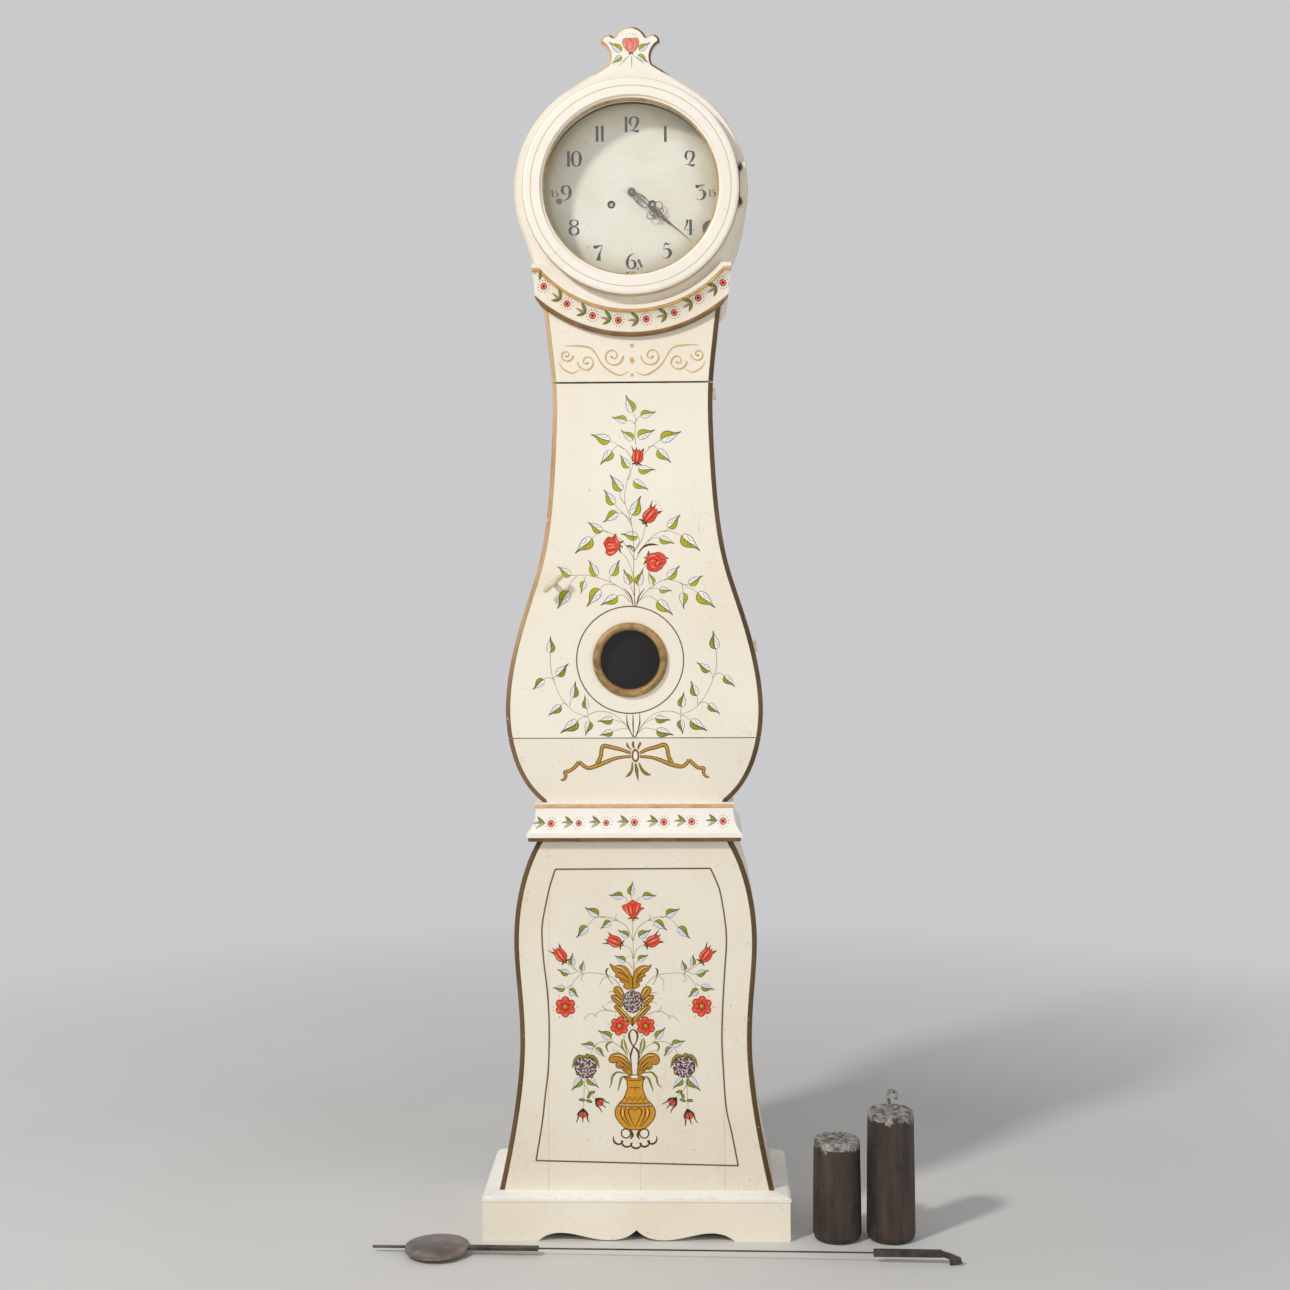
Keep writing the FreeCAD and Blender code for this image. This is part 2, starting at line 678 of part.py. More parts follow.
def dial_disc(radius, y_front, depth):
    """A round solid about the dial axis."""
    centre = FreeCAD.Vector(0, float(y_front), float(dial_level))
    return Part.makeCylinder(float(radius), float(depth), centre, BACKWARD)


def section_face(runs):
    """A moulding's section from runs of two points for a line, or three for an arc."""
    edges = [Part.makeLine(*run) if len(run) == 2 else arc(*run) for run in runs]
    return Part.Face(Part.Wire(edges))


def make_collar():
    """The crescent moulding that cradles the hood, with a return along each side of the case."""
    inner = float(s.collar_inner)
    wide = float(s.collar_width)
    lead = float(s.collar_lead)
    front = float(trunk_front)

    def at(width_share, lead_share):
        return FreeCAD.Vector(inner + wide * width_share, front - lead * lead_share, 0)

    fillet_and_bead = (
        (at(0, 0), at(0, 1)),
        (at(0, 1), at(0.14, 1)),
        (at(0.14, 1), at(0.15, 0.9)),
        (at(0.15, 0.9), at(0.2, 1), at(0.245, 0.84)),
    )
    cove_and_foot = (
        (at(0.245, 0.84), at(0.48, 0.48), at(0.86, 0.32)),
        (at(0.86, 0.32), at(0.87, 0.44)),
        (at(0.87, 0.44), at(0.93, 0.52), at(1, 0.34)),
        (at(1, 0.34), at(1, 0)),
        (at(1, 0), at(0, 0)),
    )
    ring = section_face(fillet_and_bead + cove_and_foot).revolve(FreeCAD.Vector(0, 0, 0), BACKWARD, 360)
    ring.translate(FreeCAD.Vector(0, 0, float(dial_level)))
    top = float(trunk_top)
    high, low = float(s.collar_end_half), float(s.collar_low_half)
    fillet = wide * 0.13
    corner_z = top - float(s.collar_drop)
    outer = inner + wide
    tail_z = corner_z - wide * 0.26
    tail_x = math.sqrt(outer ** 2 - (float(dial_level) - tail_z) ** 2)
    half_outline = ((high, top), (high, top - fillet), (low, corner_z), (tail_x, tail_z))
    bottom = float(dial_level) - outer - float(s.clear_gap)
    outline = [FreeCAD.Vector(x, 0, z) for x, z in half_outline]
    outline += [FreeCAD.Vector(tail_x, 0, bottom), FreeCAD.Vector(-tail_x, 0, bottom)]
    outline += [FreeCAD.Vector(-x, 0, z) for x, z in reversed(half_outline)]
    edges = [Part.makeLine(a, b) for a, b in zip(outline, outline[1:] + outline[:1])]
    collar = ring.common(prism(edges, front - lead, front))
    closing = ((at(0.245, 0.84), at(0.245, 0)), (at(0.245, 0), at(0, 0)))
    cap = section_face(fillet_and_bead + closing)
    cap.translate(FreeCAD.Vector(-inner, 0, 0))
    cap.rotate(FreeCAD.Vector(0, 0, 0), BACKWARD, 90)
    for hand in (-1, 1):
        piece = cap.copy()
        start = min(hand * high, hand * float(s.hood_opening))
        piece.translate(FreeCAD.Vector(start, 0, top))
        piece = piece.extrude(FreeCAD.Vector(high - float(s.hood_opening), 0, 0))
        collar = collar.fuse(piece.cut(dial_disc(inner, front - lead, lead)))
    feature("collar_front", collar.removeSplitter())
    for hand, name in ((-1, "collar_left"), (1, "collar_right")):
        side = trunk_side(hand, ZERO)
        inner_run = side.edges(tail_z, top)
        low_end, high_end = ends(inner_run)
        corners = [low_end] + [FreeCAD.Vector(hand * x, 0, z) for x, z in reversed(half_outline)]
        corners.append(high_end)
        edges = inner_run + [Part.makeLine(a, b) for a, b in zip(corners, corners[1:])]
        feature(name, prism(edges, trunk_front, case_back))


def hinge_axis():
    """The two points that the trunk door's hinge axis passes through, and its direction."""
    side = trunk_side(1, ZERO)
    points = []
    for level in (door_low + s.hinge_low, door_high - s.hinge_high):
        z = float(level)
        points.append(FreeCAD.Vector(side.at(z) + float(s.hinge_stand), float(trunk_inside), z))
    return points[0], points[1], (points[1] - points[0]).normalize()


def on_axis(shape, point, direction):
    """Move a piece made about the Z axis at the origin onto the hinge axis."""
    moved = shape.copy()
    moved.Placement = FreeCAD.Placement(point, FreeCAD.Rotation(UP, direction)).multiply(moved.Placement)
    return moved


def upright_box(x_low, y_low, z_low, x_high, y_high, z_high):
    """A box between two corners given as plain numbers."""
    size = FreeCAD.Vector(x_high - x_low, y_high - y_low, z_high - z_low)
    return Part.makeBox(size.x, size.y, size.z, FreeCAD.Vector(x_low, y_low, z_low))


def leaf_pockets(axis):
    """Pockets for the case leaves, let into the front edge of the right side board."""
    reach = float(s.hinge_leaf_reach)
    half = float(s.hinge_half)
    deep = float(s.hinge_leaf)
    pocket = upright_box(-reach, -deep, -half, 0, deep, half)
    return on_axis(pocket, axis[0], axis[2]).fuse(on_axis(pocket, axis[1], axis[2]))


def knuckle(z_low, z_high):
    """A length of knuckle bored for the pin."""
    height = z_high - z_low
    start = FreeCAD.Vector(0, 0, z_low)
    outside = Part.makeCylinder(float(s.hinge_knuckle), height, start)
    return outside.cut(Part.makeCylinder(float(s.hinge_pin) + float(s.running_gap), height, start))


def make_trunk_hinges():
    """Two small butt hinges on one axis that leans along the curved edge of the case."""
    low, high, direction = hinge_axis()
    reach = float(s.hinge_leaf_reach)
    half = float(s.hinge_half)
    thick = float(s.hinge_leaf)
    third = half / 3
    gap = float(s.running_gap)
    relief = float(s.door_relief)
    root = float(s.hinge_knuckle) + float(s.clear_gap)
    bore = float(s.hinge_pin) + gap
    case_leaf = upright_box(-reach, 0, -half, -root, thick, half)
    for z_low, z_high in ((-half, -third - gap), (third + gap, half)):
        case_leaf = case_leaf.fuse(upright_box(-root, 0, z_low, -bore, thick, z_high))
        case_leaf = case_leaf.fuse(knuckle(z_low, z_high))
    pin = Part.makeCylinder(float(s.hinge_pin), 2 * half, FreeCAD.Vector(0, 0, -half))
    head = Part.makeCylinder(float(s.hinge_knuckle), gap * 8, FreeCAD.Vector(0, 0, half))
    case_leaf = case_leaf.fuse(pin.fuse(head))
    door_leaf = upright_box(-reach, -relief - thick, -half, -root, -relief, half)
    door_leaf = door_leaf.fuse(upright_box(-root, -relief - thick, -third, -bore, -relief, third))
    door_leaf = door_leaf.fuse(knuckle(-third, third))
    for label, leaf in (("case_hinge_leaves", case_leaf), ("door_hinge_leaves", door_leaf)):
        pair = [on_axis(leaf.removeSplitter(), point, direction) for point in (low, high)]
        feature(label, Part.Compound(pair))


def knob_spot():
    """Where the turn knob's stem passes through the door."""
    z = float(door_low) + float(s.knob_rise)
    return trunk_side(-1, ZERO).at(z) + float(s.knob_inset), z


def make_trunk_door():
    """The full-width trunk door with its round window and turn knob."""
    axis = hinge_axis()
    low, high = door_low, door_high
    back = trunk_inside - s.door_relief
    door = curved_board(trunk_side, low, high, trunk_front, back)
    door = ease_front_edges(door, trunk_front, s.edge_chamfer)
    window = spot(-s.window_left, trunk_front, low + s.window_rise)
    hole = s.window_sight + s.window_tube + s.fit_gap
    door = door.cut(Part.makeCylinder(float(hole), float(s.front_board), window, BACKWARD))
    x, z = knob_spot()
    stem_hole = Part.makeCylinder(float(s.knob_stem + s.running_gap), float(s.front_board),
                                  FreeCAD.Vector(x, float(trunk_front), z), BACKWARD)
    door = door.cut(stem_hole)
    reach = float(s.hinge_leaf_reach)
    deep = float(s.hinge_leaf) + float(s.door_relief)
    half = float(s.hinge_half)
    pocket = upright_box(-reach, -deep, -half, 0, 0, half)
    for point in axis[:2]:
        door = door.cut(on_axis(pocket, point, axis[2]))
    feature("trunk_door", door)
    sight, wall = float(s.window_sight), float(s.window_tube)
    wide, crown = float(s.bezel_width), float(s.bezel_crown)
    deep = float(s.front_board) * 0.5

    def at(radius, out):
        return FreeCAD.Vector(radius, -out, 0)

    edges = [
        Part.makeLine(at(sight, -deep), at(sight + wall, -deep)),
        Part.makeLine(at(sight + wall, -deep), at(sight + wall, 0)),
        Part.makeLine(at(sight + wall, 0), at(sight + wide, 0)),
        arc(at(sight + wide, 0), at(sight + wide * 0.86, crown * 0.72), at(sight + wide * 0.52, crown)),
        arc(at(sight + wide * 0.52, crown), at(sight + wide * 0.16, crown * 0.78), at(sight, crown * 0.2)),
        Part.makeLine(at(sight, crown * 0.2), at(sight, -deep)),
    ]
    bezel = Part.Face(Part.Wire(edges)).revolve(FreeCAD.Vector(0, 0, 0), BACKWARD, 360)
    bezel.translate(window)
    feature("window_bezel", bezel)
    pane = rod("window_glass", -s.window_left, trunk_front + s.front_board * 0.5 + s.running_gap,
               low + s.window_rise, s.window_sight + s.window_tube, s.glass)
    keep(pane, "window_glass")


def knob_turn(shape):
    """Set a piece made along +X about the origin to the knob's slope, at the stem."""
    x, z = knob_spot()
    turned_shape = shape.copy()
    turned_shape.rotate(FreeCAD.Vector(0, 0, 0), FreeCAD.Vector(0, -1, 0), float(s.knob_angle))
    turned_shape.translate(FreeCAD.Vector(x, 0, z))
    return turned_shape


def make_latch():
    """A whittled T-shaped knob whose stem turns a tongue behind the door."""
    bar = float(s.knob_bar)
    length = float(s.knob_length)
    middle = float(trunk_front) - float(s.knob_stand)
    back = float(trunk_inside) - float(s.door_relief)
    thin = bar * 0.36
    sections = []
    for along, thick in ((-0.5, thin), (-0.42, bar * 0.46), (0, bar * 0.5), (0.42, bar * 0.44), (0.5, thin)):
        centre = FreeCAD.Vector(length * along, middle, 0)
        sections.append(Part.Wire(Part.makeCircle(thick, centre, FreeCAD.Vector(1, 0, 0))))
    handle = Part.makeLoft(sections, True)
    stem_end = back + float(s.tongue_set) + float(s.tongue_plate) + float(s.clear_gap)
    stem = Part.makeCylinder(float(s.knob_stem), stem_end - middle, FreeCAD.Vector(0, middle, 0), BACKWARD)
    feature("latch_knob", knob_turn(handle.fuse(stem).removeSplitter()))
    y_low = back + float(s.tongue_set)
    half = float(s.tongue_width) / 2
    bore = Part.makeCylinder(float(s.knob_stem), 2 * float(s.tongue_plate),
                             FreeCAD.Vector(0, y_low - float(s.clear_gap), 0), BACKWARD)
    tongue = upright_box(-float(s.tongue_length), y_low, -half, 2 * half, y_low + float(s.tongue_plate), half)
    hub = Part.makeCylinder(2 * half, float(s.tongue_plate), FreeCAD.Vector(0, y_low, 0), BACKWARD)
    feature("latch_tongue", knob_turn(tongue.fuse(hub).cut(bore).removeSplitter()))


def tongue_mortise():
    """The slot in the left side board that the tongue turns into."""
    x, z = knob_spot()
    back = float(trunk_inside) - float(s.door_relief)
    y_low = back + float(s.tongue_set) - float(s.clear_gap)
    y_high = y_low + float(s.tongue_plate) + 2 * float(s.clear_gap)
    reach = float(s.tongue_length) + float(s.clear_gap)
    swing = float(s.tongue_length) * 0.8
    return upright_box(x - reach, y_low, z - swing, x, y_high, z + float(s.tongue_width))


def make_seat():
    """Cheeks on the trunk's sides and the board that the movement stands on."""
    front = trunk_front + s.seat_set
    back = front + s.seat_depth
    pair = []
    for hand in (-1, 1):
        pair.append(curved_wall(trunk_side, hand, trunk_top - s.cheek_height, trunk_top, front, back,
                                s.side_board, s.side_board + s.cheek_board))
    feature("seat_cheeks", Part.Compound(pair))
    board = box("seat_blank", -s.seat_half, front, trunk_top, 2 * s.seat_half, s.seat_depth, s.seat_board)
    middle = plate_inside + s.plate_space / 2
    holes = [post("line_hole_left", -s.winding_across, middle, trunk_top, s.line_hole, s.seat_board),
             post("line_hole_right", s.winding_across, middle, trunk_top, s.line_hole, s.seat_board)]
    keep(cut("seat_board", board, fuse("line_holes", holes)), "seat_board")


def make_plates():
    """The two plates of the movement, drilled for every arbor, with the pillars between them."""
    height = s.plate_top + s.dial_rise - s.seat_board
    bore = s.arbor_radius + s.running_gap
    spots = [(ZERO, ZERO), (ZERO, third_rise()), (ZERO, escape_rise()), (ZERO, anchor_rise()),
             (-s.winding_across, -s.winding_drop), (s.winding_across, -s.winding_drop),
             (hammer_across(), hammer_rise())]
    for label, y in (("movement_front_plate", plate_front), ("movement_back_plate", plate_far)):
        blank = box(label + "_blank", -s.plate_half, y, seat_top, 2 * s.plate_half, s.plate_brass, height)
        holes = []
        for i, (x, z) in enumerate(spots):
            radius = bore * 2 if i == 0 and y is plate_front else bore
            holes.append(rod("%s_hole_%d" % (label, i), x, y, dial_level + z, radius, s.plate_brass))
        drilled = cut(label + "_drilled", blank, fuse(label + "_holes", holes))
        if y is plate_front:
            keep(drilled, label)
        else:
            keep(fuse(label, [drilled, suspension_cock()]), label)
    inset = s.pillar_radius * 2
    pillars = []
    for hand in (-1, 1):
        for z in (seat_top + inset, dial_level + s.plate_top - inset):
            x = hand * float(s.plate_half - inset)
            start = FreeCAD.Vector(x, float(plate_inside), float(z))
            pillars.append(Part.makeCylinder(float(s.pillar_radius), float(s.plate_space), start, BACKWARD))
    feature("movement_pillars", Part.Compound(pillars))


def suspension_cock():
    """The slotted cock on the back plate that the pendulum hangs from."""
    wide = s.pillar_radius * 2
    top = dial_level + s.plate_top
    block = box("cock_block", -wide / 2, plate_end, top - wide / 2, wide, 2 * wide, wide / 2)
    slit = box("cock_slit", -s.hand_plate / 2, plate_end + wide, top - wide / 2, s.hand_plate, wide, wide / 2)
    return cut("suspension_cock", block, slit)


def third_rise():
    """The third wheel's arbor above the dial centre, its pinion just clear of the centre wheel."""
    return s.centre_wheel + s.third_pinion + s.mesh_gap


def escape_rise():
    """The escape wheel's arbor above the dial centre."""
    return third_rise() + s.third_wheel + s.escape_pinion + s.mesh_gap


def anchor_rise():
    """The anchor's arbor above the dial centre."""
    return escape_rise() + s.escape_wheel + s.arbor_radius * 3


def hammer_across():
    """The hammer's arbor from the middle."""
    return s.plate_half * 0.6


def hammer_rise():
    """The hammer's arbor above the dial centre."""
    return s.plate_top * 0.8


def make_dial():
    """The round sheet-iron dial on four feet."""
    blank = rod("dial_blank", ZERO, dial_face, dial_level, s.dial_radius, s.dial_plate)
    holes = [rod("dial_centre_hole", ZERO, dial_face, dial_level, s.hour_pipe + s.door_relief, s.dial_plate)]
    for hand in (-1, 1):
        name = "dial_winding_hole_left" if hand < 0 else "dial_winding_hole_right"
        holes.append(rod(name, hand * s.winding_across, dial_face, dial_level - s.winding_drop,
                         s.winding_hole, s.dial_plate))
    plate = cut("dial_drilled", blank, fuse("dial_holes", holes))
    feet = []
    for i, (across, rise) in enumerate(((-1, -1), (1, -1), (-1, 1), (1, 1))):
        feet.append(rod("dial_foot_%d" % i, across * s.plate_half * 0.85, dial_face,
                        dial_level + rise * s.plate_top * 0.7, s.foot_radius, plate_front - dial_face))
    keep(fuse("dial_plate", [plate] + feet), "dial_plate")


def toothed_disc(radius, teeth, y_low, thickness, x, z, rake=0.0):
    """A wheel with plain cut teeth about an arbor that runs along Y."""
    root = float(radius) - float(s.tooth_depth)
    points = []
    for i in range(teeth):
        for share, reach in ((0, root), (0.4, root), (0.7 + rake, float(radius))):
            turn = 2 * math.pi * (i + share) / teeth
            points.append(FreeCAD.Vector(x + reach * math.cos(turn), float(y_low), z + reach * math.sin(turn)))
    points.append(points[0])
    disc = Part.Face(Part.makePolygon(points)).extrude(BACKWARD * float(thickness))
    hub = 3 * float(s.arbor_radius)
    middle = (root + hub) / 2
    hole = (root - hub) * 0.33
    for i in range(4):
        turn = math.pi / 4 + math.pi / 2 * i
        centre = FreeCAD.Vector(x + middle * math.cos(turn), float(y_low), z + middle * math.sin(turn))
        disc = disc.cut(Part.makeCylinder(hole, float(thickness), centre, BACKWARD))
    return disc


def bar(radius, y_low, y_high, x, z):
    """A round bar along Y between two depths."""
    start = FreeCAD.Vector(float(x), float(y_low), float(z))
    return Part.makeCylinder(float(radius), float(y_high) - float(y_low), start, BACKWARD)


def make_barrels(drum_front, great_y):
    """The two barrels with their winding squares, their great wheels at opposite ends of the drums."""
    level = float(dial_level)
    drum_end = drum_front + s.barrel_length
    for hand, name in ((-1, "going_barrel"), (1, "strike_barrel")):
        x = hand * float(s.winding_across)
        z = level - float(s.winding_drop)
        half = float(s.winding_square) / 2
        front = float(dial_back + s.dial_plate)
        wheel_y = great_y if hand < 0 else drum_front - s.wheel_plate
        square = upright_box(x - half, front, z - half, x + half, float(plate_front) - float(s.clear_gap),
                             z + half)
        solid = bar(s.barrel_radius, drum_front, drum_end, x, z)
        solid = solid.fuse(toothed_disc(s.great_wheel, 60, wheel_y, s.wheel_plate, x, z))
        solid = solid.fuse(bar(s.arbor_radius, plate_front - s.clear_gap, plate_end, x, z)).fuse(square)
        feature(name, solid.removeSplitter())


def make_train():
    """The barrels and the wheels up to the escapement, each wheel just clear of the pinion it drives."""
    level = float(dial_level)
    drum_front = plate_inside + (s.plate_space - s.barrel_length) / 2 - s.wheel_plate
    great_y = drum_front + s.barrel_length
    make_barrels(drum_front, great_y)
    reach = math.hypot(float(s.winding_across), float(s.winding_drop))
    leaf = reach - float(s.great_wheel) - float(s.mesh_gap)
    centre_y = plate_inside + s.wheel_plate
    hub = bar(leaf, great_y - s.wheel_plate, great_y + 2 * s.wheel_plate, 0, level)
    centre = toothed_disc(s.centre_wheel, 48, centre_y, s.wheel_plate, 0.0, level)
    nose = dial_face - 2 * s.hand_space - 3 * s.hand_plate
    centre = centre.fuse(hub).fuse(bar(s.arbor_radius, nose, plate_end, 0, level))
    feature("centre_wheel", centre.removeSplitter())
    third_z = float(dial_level + third_rise())
    third_y = plate_inside + s.plate_space * 0.4
    third = toothed_disc(s.third_wheel, 40, third_y, s.wheel_plate, 0.0, third_z)
    leaves_end = centre_y + 2 * s.wheel_plate
    third = third.fuse(bar(s.third_pinion, centre_y - s.wheel_plate / 2, leaves_end, 0, third_z))
    third = third.fuse(bar(s.arbor_radius, plate_front, plate_end, 0, third_z))
    feature("third_wheel", third.removeSplitter())
    escape_z = float(dial_level + escape_rise())
    escape_y = third_y + 4 * s.wheel_plate
    escape = toothed_disc(s.escape_wheel, 30, escape_y, s.wheel_plate, 0.0, escape_z, 0.15)
    leaves_end = third_y + 2 * s.wheel_plate
    escape = escape.fuse(bar(s.escape_pinion, third_y - s.wheel_plate / 2, leaves_end, 0, escape_z))
    escape = escape.fuse(bar(s.arbor_radius, plate_front, plate_end, 0, escape_z))
    feature("escape_wheel", escape.removeSplitter())
    make_anchor(escape_y, escape_z)
    make_motion_work()


def make_anchor(escape_y, escape_z):
    """The anchor over the escape wheel, its arbor, and the crutch that reaches down behind."""
    level = float(dial_level) + float(anchor_rise())
    drop = level - escape_z
    tip = float(s.escape_wheel) + 3 * float(s.clear_gap)
    arbor = float(s.arbor_radius)
    points = []
    for hand in (-1, 1):
        spread = tip * 0.75
        fall = -drop + math.sqrt(tip ** 2 - spread ** 2)
        run = [(hand * arbor, arbor), (hand * spread * 1.25, fall * 0.5), (hand * spread * 1.15, fall)]
        run += [(hand * spread, fall), (hand * spread * 0.95, fall * 0.45)]
        points.append(run)
    outline = points[0] + list(reversed(points[1]))
    corners = [FreeCAD.Vector(x, float(escape_y), level + z) for x, z in outline]
    anchor = Part.Face(Part.makePolygon(corners + corners[:1])).extrude(BACKWARD * float(s.wheel_plate))
    rear = plate_end + 2 * s.wheel_plate
    anchor = anchor.fuse(bar(s.arbor_radius, plate_front, rear, 0, level))
    half = arbor * 0.7
    low = level - float(s.crutch_length)
    crutch = upright_box(-half, float(plate_end) + float(s.wheel_plate), low, half, float(rear), level)
    fork = upright_box(-3 * half, float(rear) - float(s.wheel_plate), low, 3 * half,
                       float(rear) + 3 * float(s.wheel_plate), low + 2 * half)
    slot = upright_box(-half, float(rear) + float(s.clear_gap), low, half,
                       float(rear) + 4 * float(s.wheel_plate), low + 2 * half)
    feature("anchor", anchor.fuse(crutch).fuse(fork.cut(slot)).removeSplitter())


def make_motion_work():
    """The hour wheel on its pipe, and the two hands."""
    level = float(dial_level)
    bore = s.arbor_radius + s.door_relief
    pipe_front = dial_face - s.hand_space - s.hand_plate
    wheel_y = dial_back + 2 * s.wheel_plate
    wheel = toothed_disc(s.hour_wheel, 40, wheel_y, s.wheel_plate, 0.0, level)
    wheel = wheel.fuse(bar(s.hour_pipe, pipe_front, wheel_y + s.wheel_plate, 0, level))
    wheel = wheel.cut(bar(bore, pipe_front, wheel_y + s.wheel_plate, 0, level))
    feature("hour_wheel", wheel.removeSplitter())
    hour_y = dial_face - s.hand_space
    hour = pierced_hand(s.hour_length, s.hour_pipe, s.hour_pipe * 1.6, hour_y - s.hand_plate,
                        HOUR_HAND_SHARES, s.hour_angle)
    feature("hour_hand", hour)
    minute_y = dial_face - 2 * s.hand_space - s.hand_plate
    minute = pierced_hand(s.minute_length, s.arbor_radius, s.hour_pipe * 1.5, minute_y - s.hand_plate,
                          MINUTE_HAND_SHARES, s.minute_angle)
    feature("minute_hand", minute)


def pierced_hand(length, bore, boss, y_low, design, angle):
    """A cut-out hand: a boss, an open oval where there is one, pairs of rings and a pierced blade."""
    blade, slot, ovals, rings = design
    length = float(length)
    y = float(y_low)
    thick = float(s.hand_plate)
    line = float(s.hand_line)

    def plate(half_outline):
        left = [FreeCAD.Vector(-out * length, y, along * length) for out, along in half_outline]
        right = [FreeCAD.Vector(out * length, y, along * length) for out, along in reversed(half_outline) if out]
        corners = left + right
        return Part.Face(Part.makePolygon(corners + corners[:1])).extrude(BACKWARD * thick)

    def disc(radius, x, z):
        return Part.makeCylinder(radius, thick, FreeCAD.Vector(x, y, z), BACKWARD)

    def oval(centre, long_half, wide_half):
        middle = FreeCAD.Vector(0, y, centre)
        curve = Part.Ellipse(middle + UP * long_half, middle + FreeCAD.Vector(wide_half, 0, 0), middle)
        return Part.Face(Part.Wire([curve.toShape()])).extrude(BACKWARD * thick)

    shape = plate(blade).cut(plate(slot)).fuse(disc(float(boss), 0, 0))
    for centre, long_half, wide_half in ovals:
        outer = oval(centre * length, long_half * length, wide_half * length)
        shape = shape.fuse(outer.cut(oval(centre * length, long_half * length - line, wide_half * length - line)))
    for along, across, reach in rings:
        radius = length * reach
        for side in (-1, 1):
            x = side * across * length
            ring = disc(radius, x, length * along).cut(disc(radius - line, x, length * along))
            shape = shape.fuse(ring)
    shape = shape.cut(disc(float(bore), 0, 0)).removeSplitter()
    shape.rotate(FreeCAD.Vector(0, 0, 0), BACKWARD, float(angle))
    shape.translate(FreeCAD.Vector(0, 0, float(dial_level)))
    return shape


def make_bells():
    """Two bells on one forked stand above the movement, and the hammer beside them."""
    top = float(dial_level) + float(s.plate_top)
    mouth = dial_level + s.plate_top + s.bell_rise
    middle = plate_inside + s.plate_space / 2
    wall = s.bell_wall
    for hand, name in ((-1, "bell_left"), (1, "bell_right")):
        crown = s.bell_height
        corners = (
            (s.arbor_radius, crown), (s.bell_radius * 0.5, crown * 0.95), (s.bell_radius * 0.82, crown * 0.68),
            (s.bell_radius * 0.92, crown * 0.3), (s.bell_radius, ZERO), (s.bell_radius - wall, ZERO),
            (s.bell_radius * 0.92 - wall, crown * 0.3), (s.bell_radius * 0.82 - wall, crown * 0.68 - wall * 0.7),
            (s.bell_radius * 0.5 - wall * 0.3, crown * 0.95 - wall), (s.arbor_radius, crown - wall),
        )
        bell = turned(name, "XZ_Plane", hand * s.bell_across, middle, mouth, corners)
        keep(bell, name)
    y = float(middle)
    stem = float(s.arbor_radius) * 0.9
    across = float(s.bell_across)
    reach = float(mouth) + float(s.bell_height) + float(s.bell_wall)
    shoulder = top + float(s.bell_rise) * 0.35
    half = stem * 1.6
    deep = float(s.plate_space) / 2 + float(s.plate_brass)
    foot = upright_box(-half * 2, y - deep, top, half * 2, y + deep, top + half * 2)
    stand = upright_box(-half, y - half, top, half, y + half, shoulder)
    stand = stand.fuse(upright_box(-across - half, y - half, shoulder, across + half, y + half,
                                   shoulder + 2 * half))
    for hand in (-1, 1):
        base = FreeCAD.Vector(hand * across, y, shoulder + half)
        stand = stand.fuse(Part.makeCylinder(stem, reach - shoulder - half, base))
        nut = FreeCAD.Vector(hand * across, y, float(mouth) + float(s.bell_height))
        stand = stand.fuse(Part.makeCylinder(stem * 1.8, float(s.bell_wall), nut))
    feature("bell_stand", stand.fuse(foot).removeSplitter())
    make_hammer(y, float(mouth))


def make_hammer(y, mouth):
    """The strike hammer: an arbor, a leaning arm and a round head that rests just off the bell."""
    x = float(hammer_across())
    z = float(dial_level) + float(hammer_rise())
    arbor = float(s.arbor_radius)
    head = float(s.hammer_head)
    near = float(s.bell_across) + float(s.bell_radius) + float(s.clear_gap) * 2
    level = mouth + head * 0.6
    middle = near + head * 1.3
    arm = [FreeCAD.Vector(x - arbor, y - arbor, z), FreeCAD.Vector(x + arbor, y - arbor, z),
           FreeCAD.Vector(middle + arbor, y - arbor, level), FreeCAD.Vector(middle - arbor, y - arbor, level)]
    solid = Part.Face(Part.makePolygon(arm + arm[:1])).extrude(BACKWARD * 2 * arbor)
    solid = solid.fuse(bar(arbor, plate_front, plate_end, x, z))
    start = FreeCAD.Vector(near, y, level)
    solid = solid.fuse(Part.makeCylinder(head, head * 2.6, start, FreeCAD.Vector(1, 0, 0)))
    feature("strike_hammer", solid.removeSplitter())


def crest_edges(hand):
    """The cut outline of the crest on one side, from the hood's round to the middle of its top."""
    def at(shares):
        across, up = shares
        return dial_spot(hand * float(s.crest_half) * across, float(s.crest_height) * up)

    neck_x = float(s.crest_half) * CREST_NECK_SHARES[0]
    neck_z = float(s.crest_height) * CREST_NECK_SHARES[1]
    x, z = tangent_spot(neck_x, neck_z, s.hood_radius)
    shoulder = dial_spot(hand * x, z)
    edges = [
        Part.makeLine(shoulder, at(CREST_NECK_SHARES)),
        arc(at(CREST_NECK_SHARES), at(CREST_FLANK_SHARES), at(CREST_TIP_SHARES)),
        arc(at(CREST_TIP_SHARES), at(CREST_LOBE_SHARES), at(CREST_NOTCH_SHARES)),
    ]
    return edges, shoulder, at(CREST_NOTCH_SHARES)


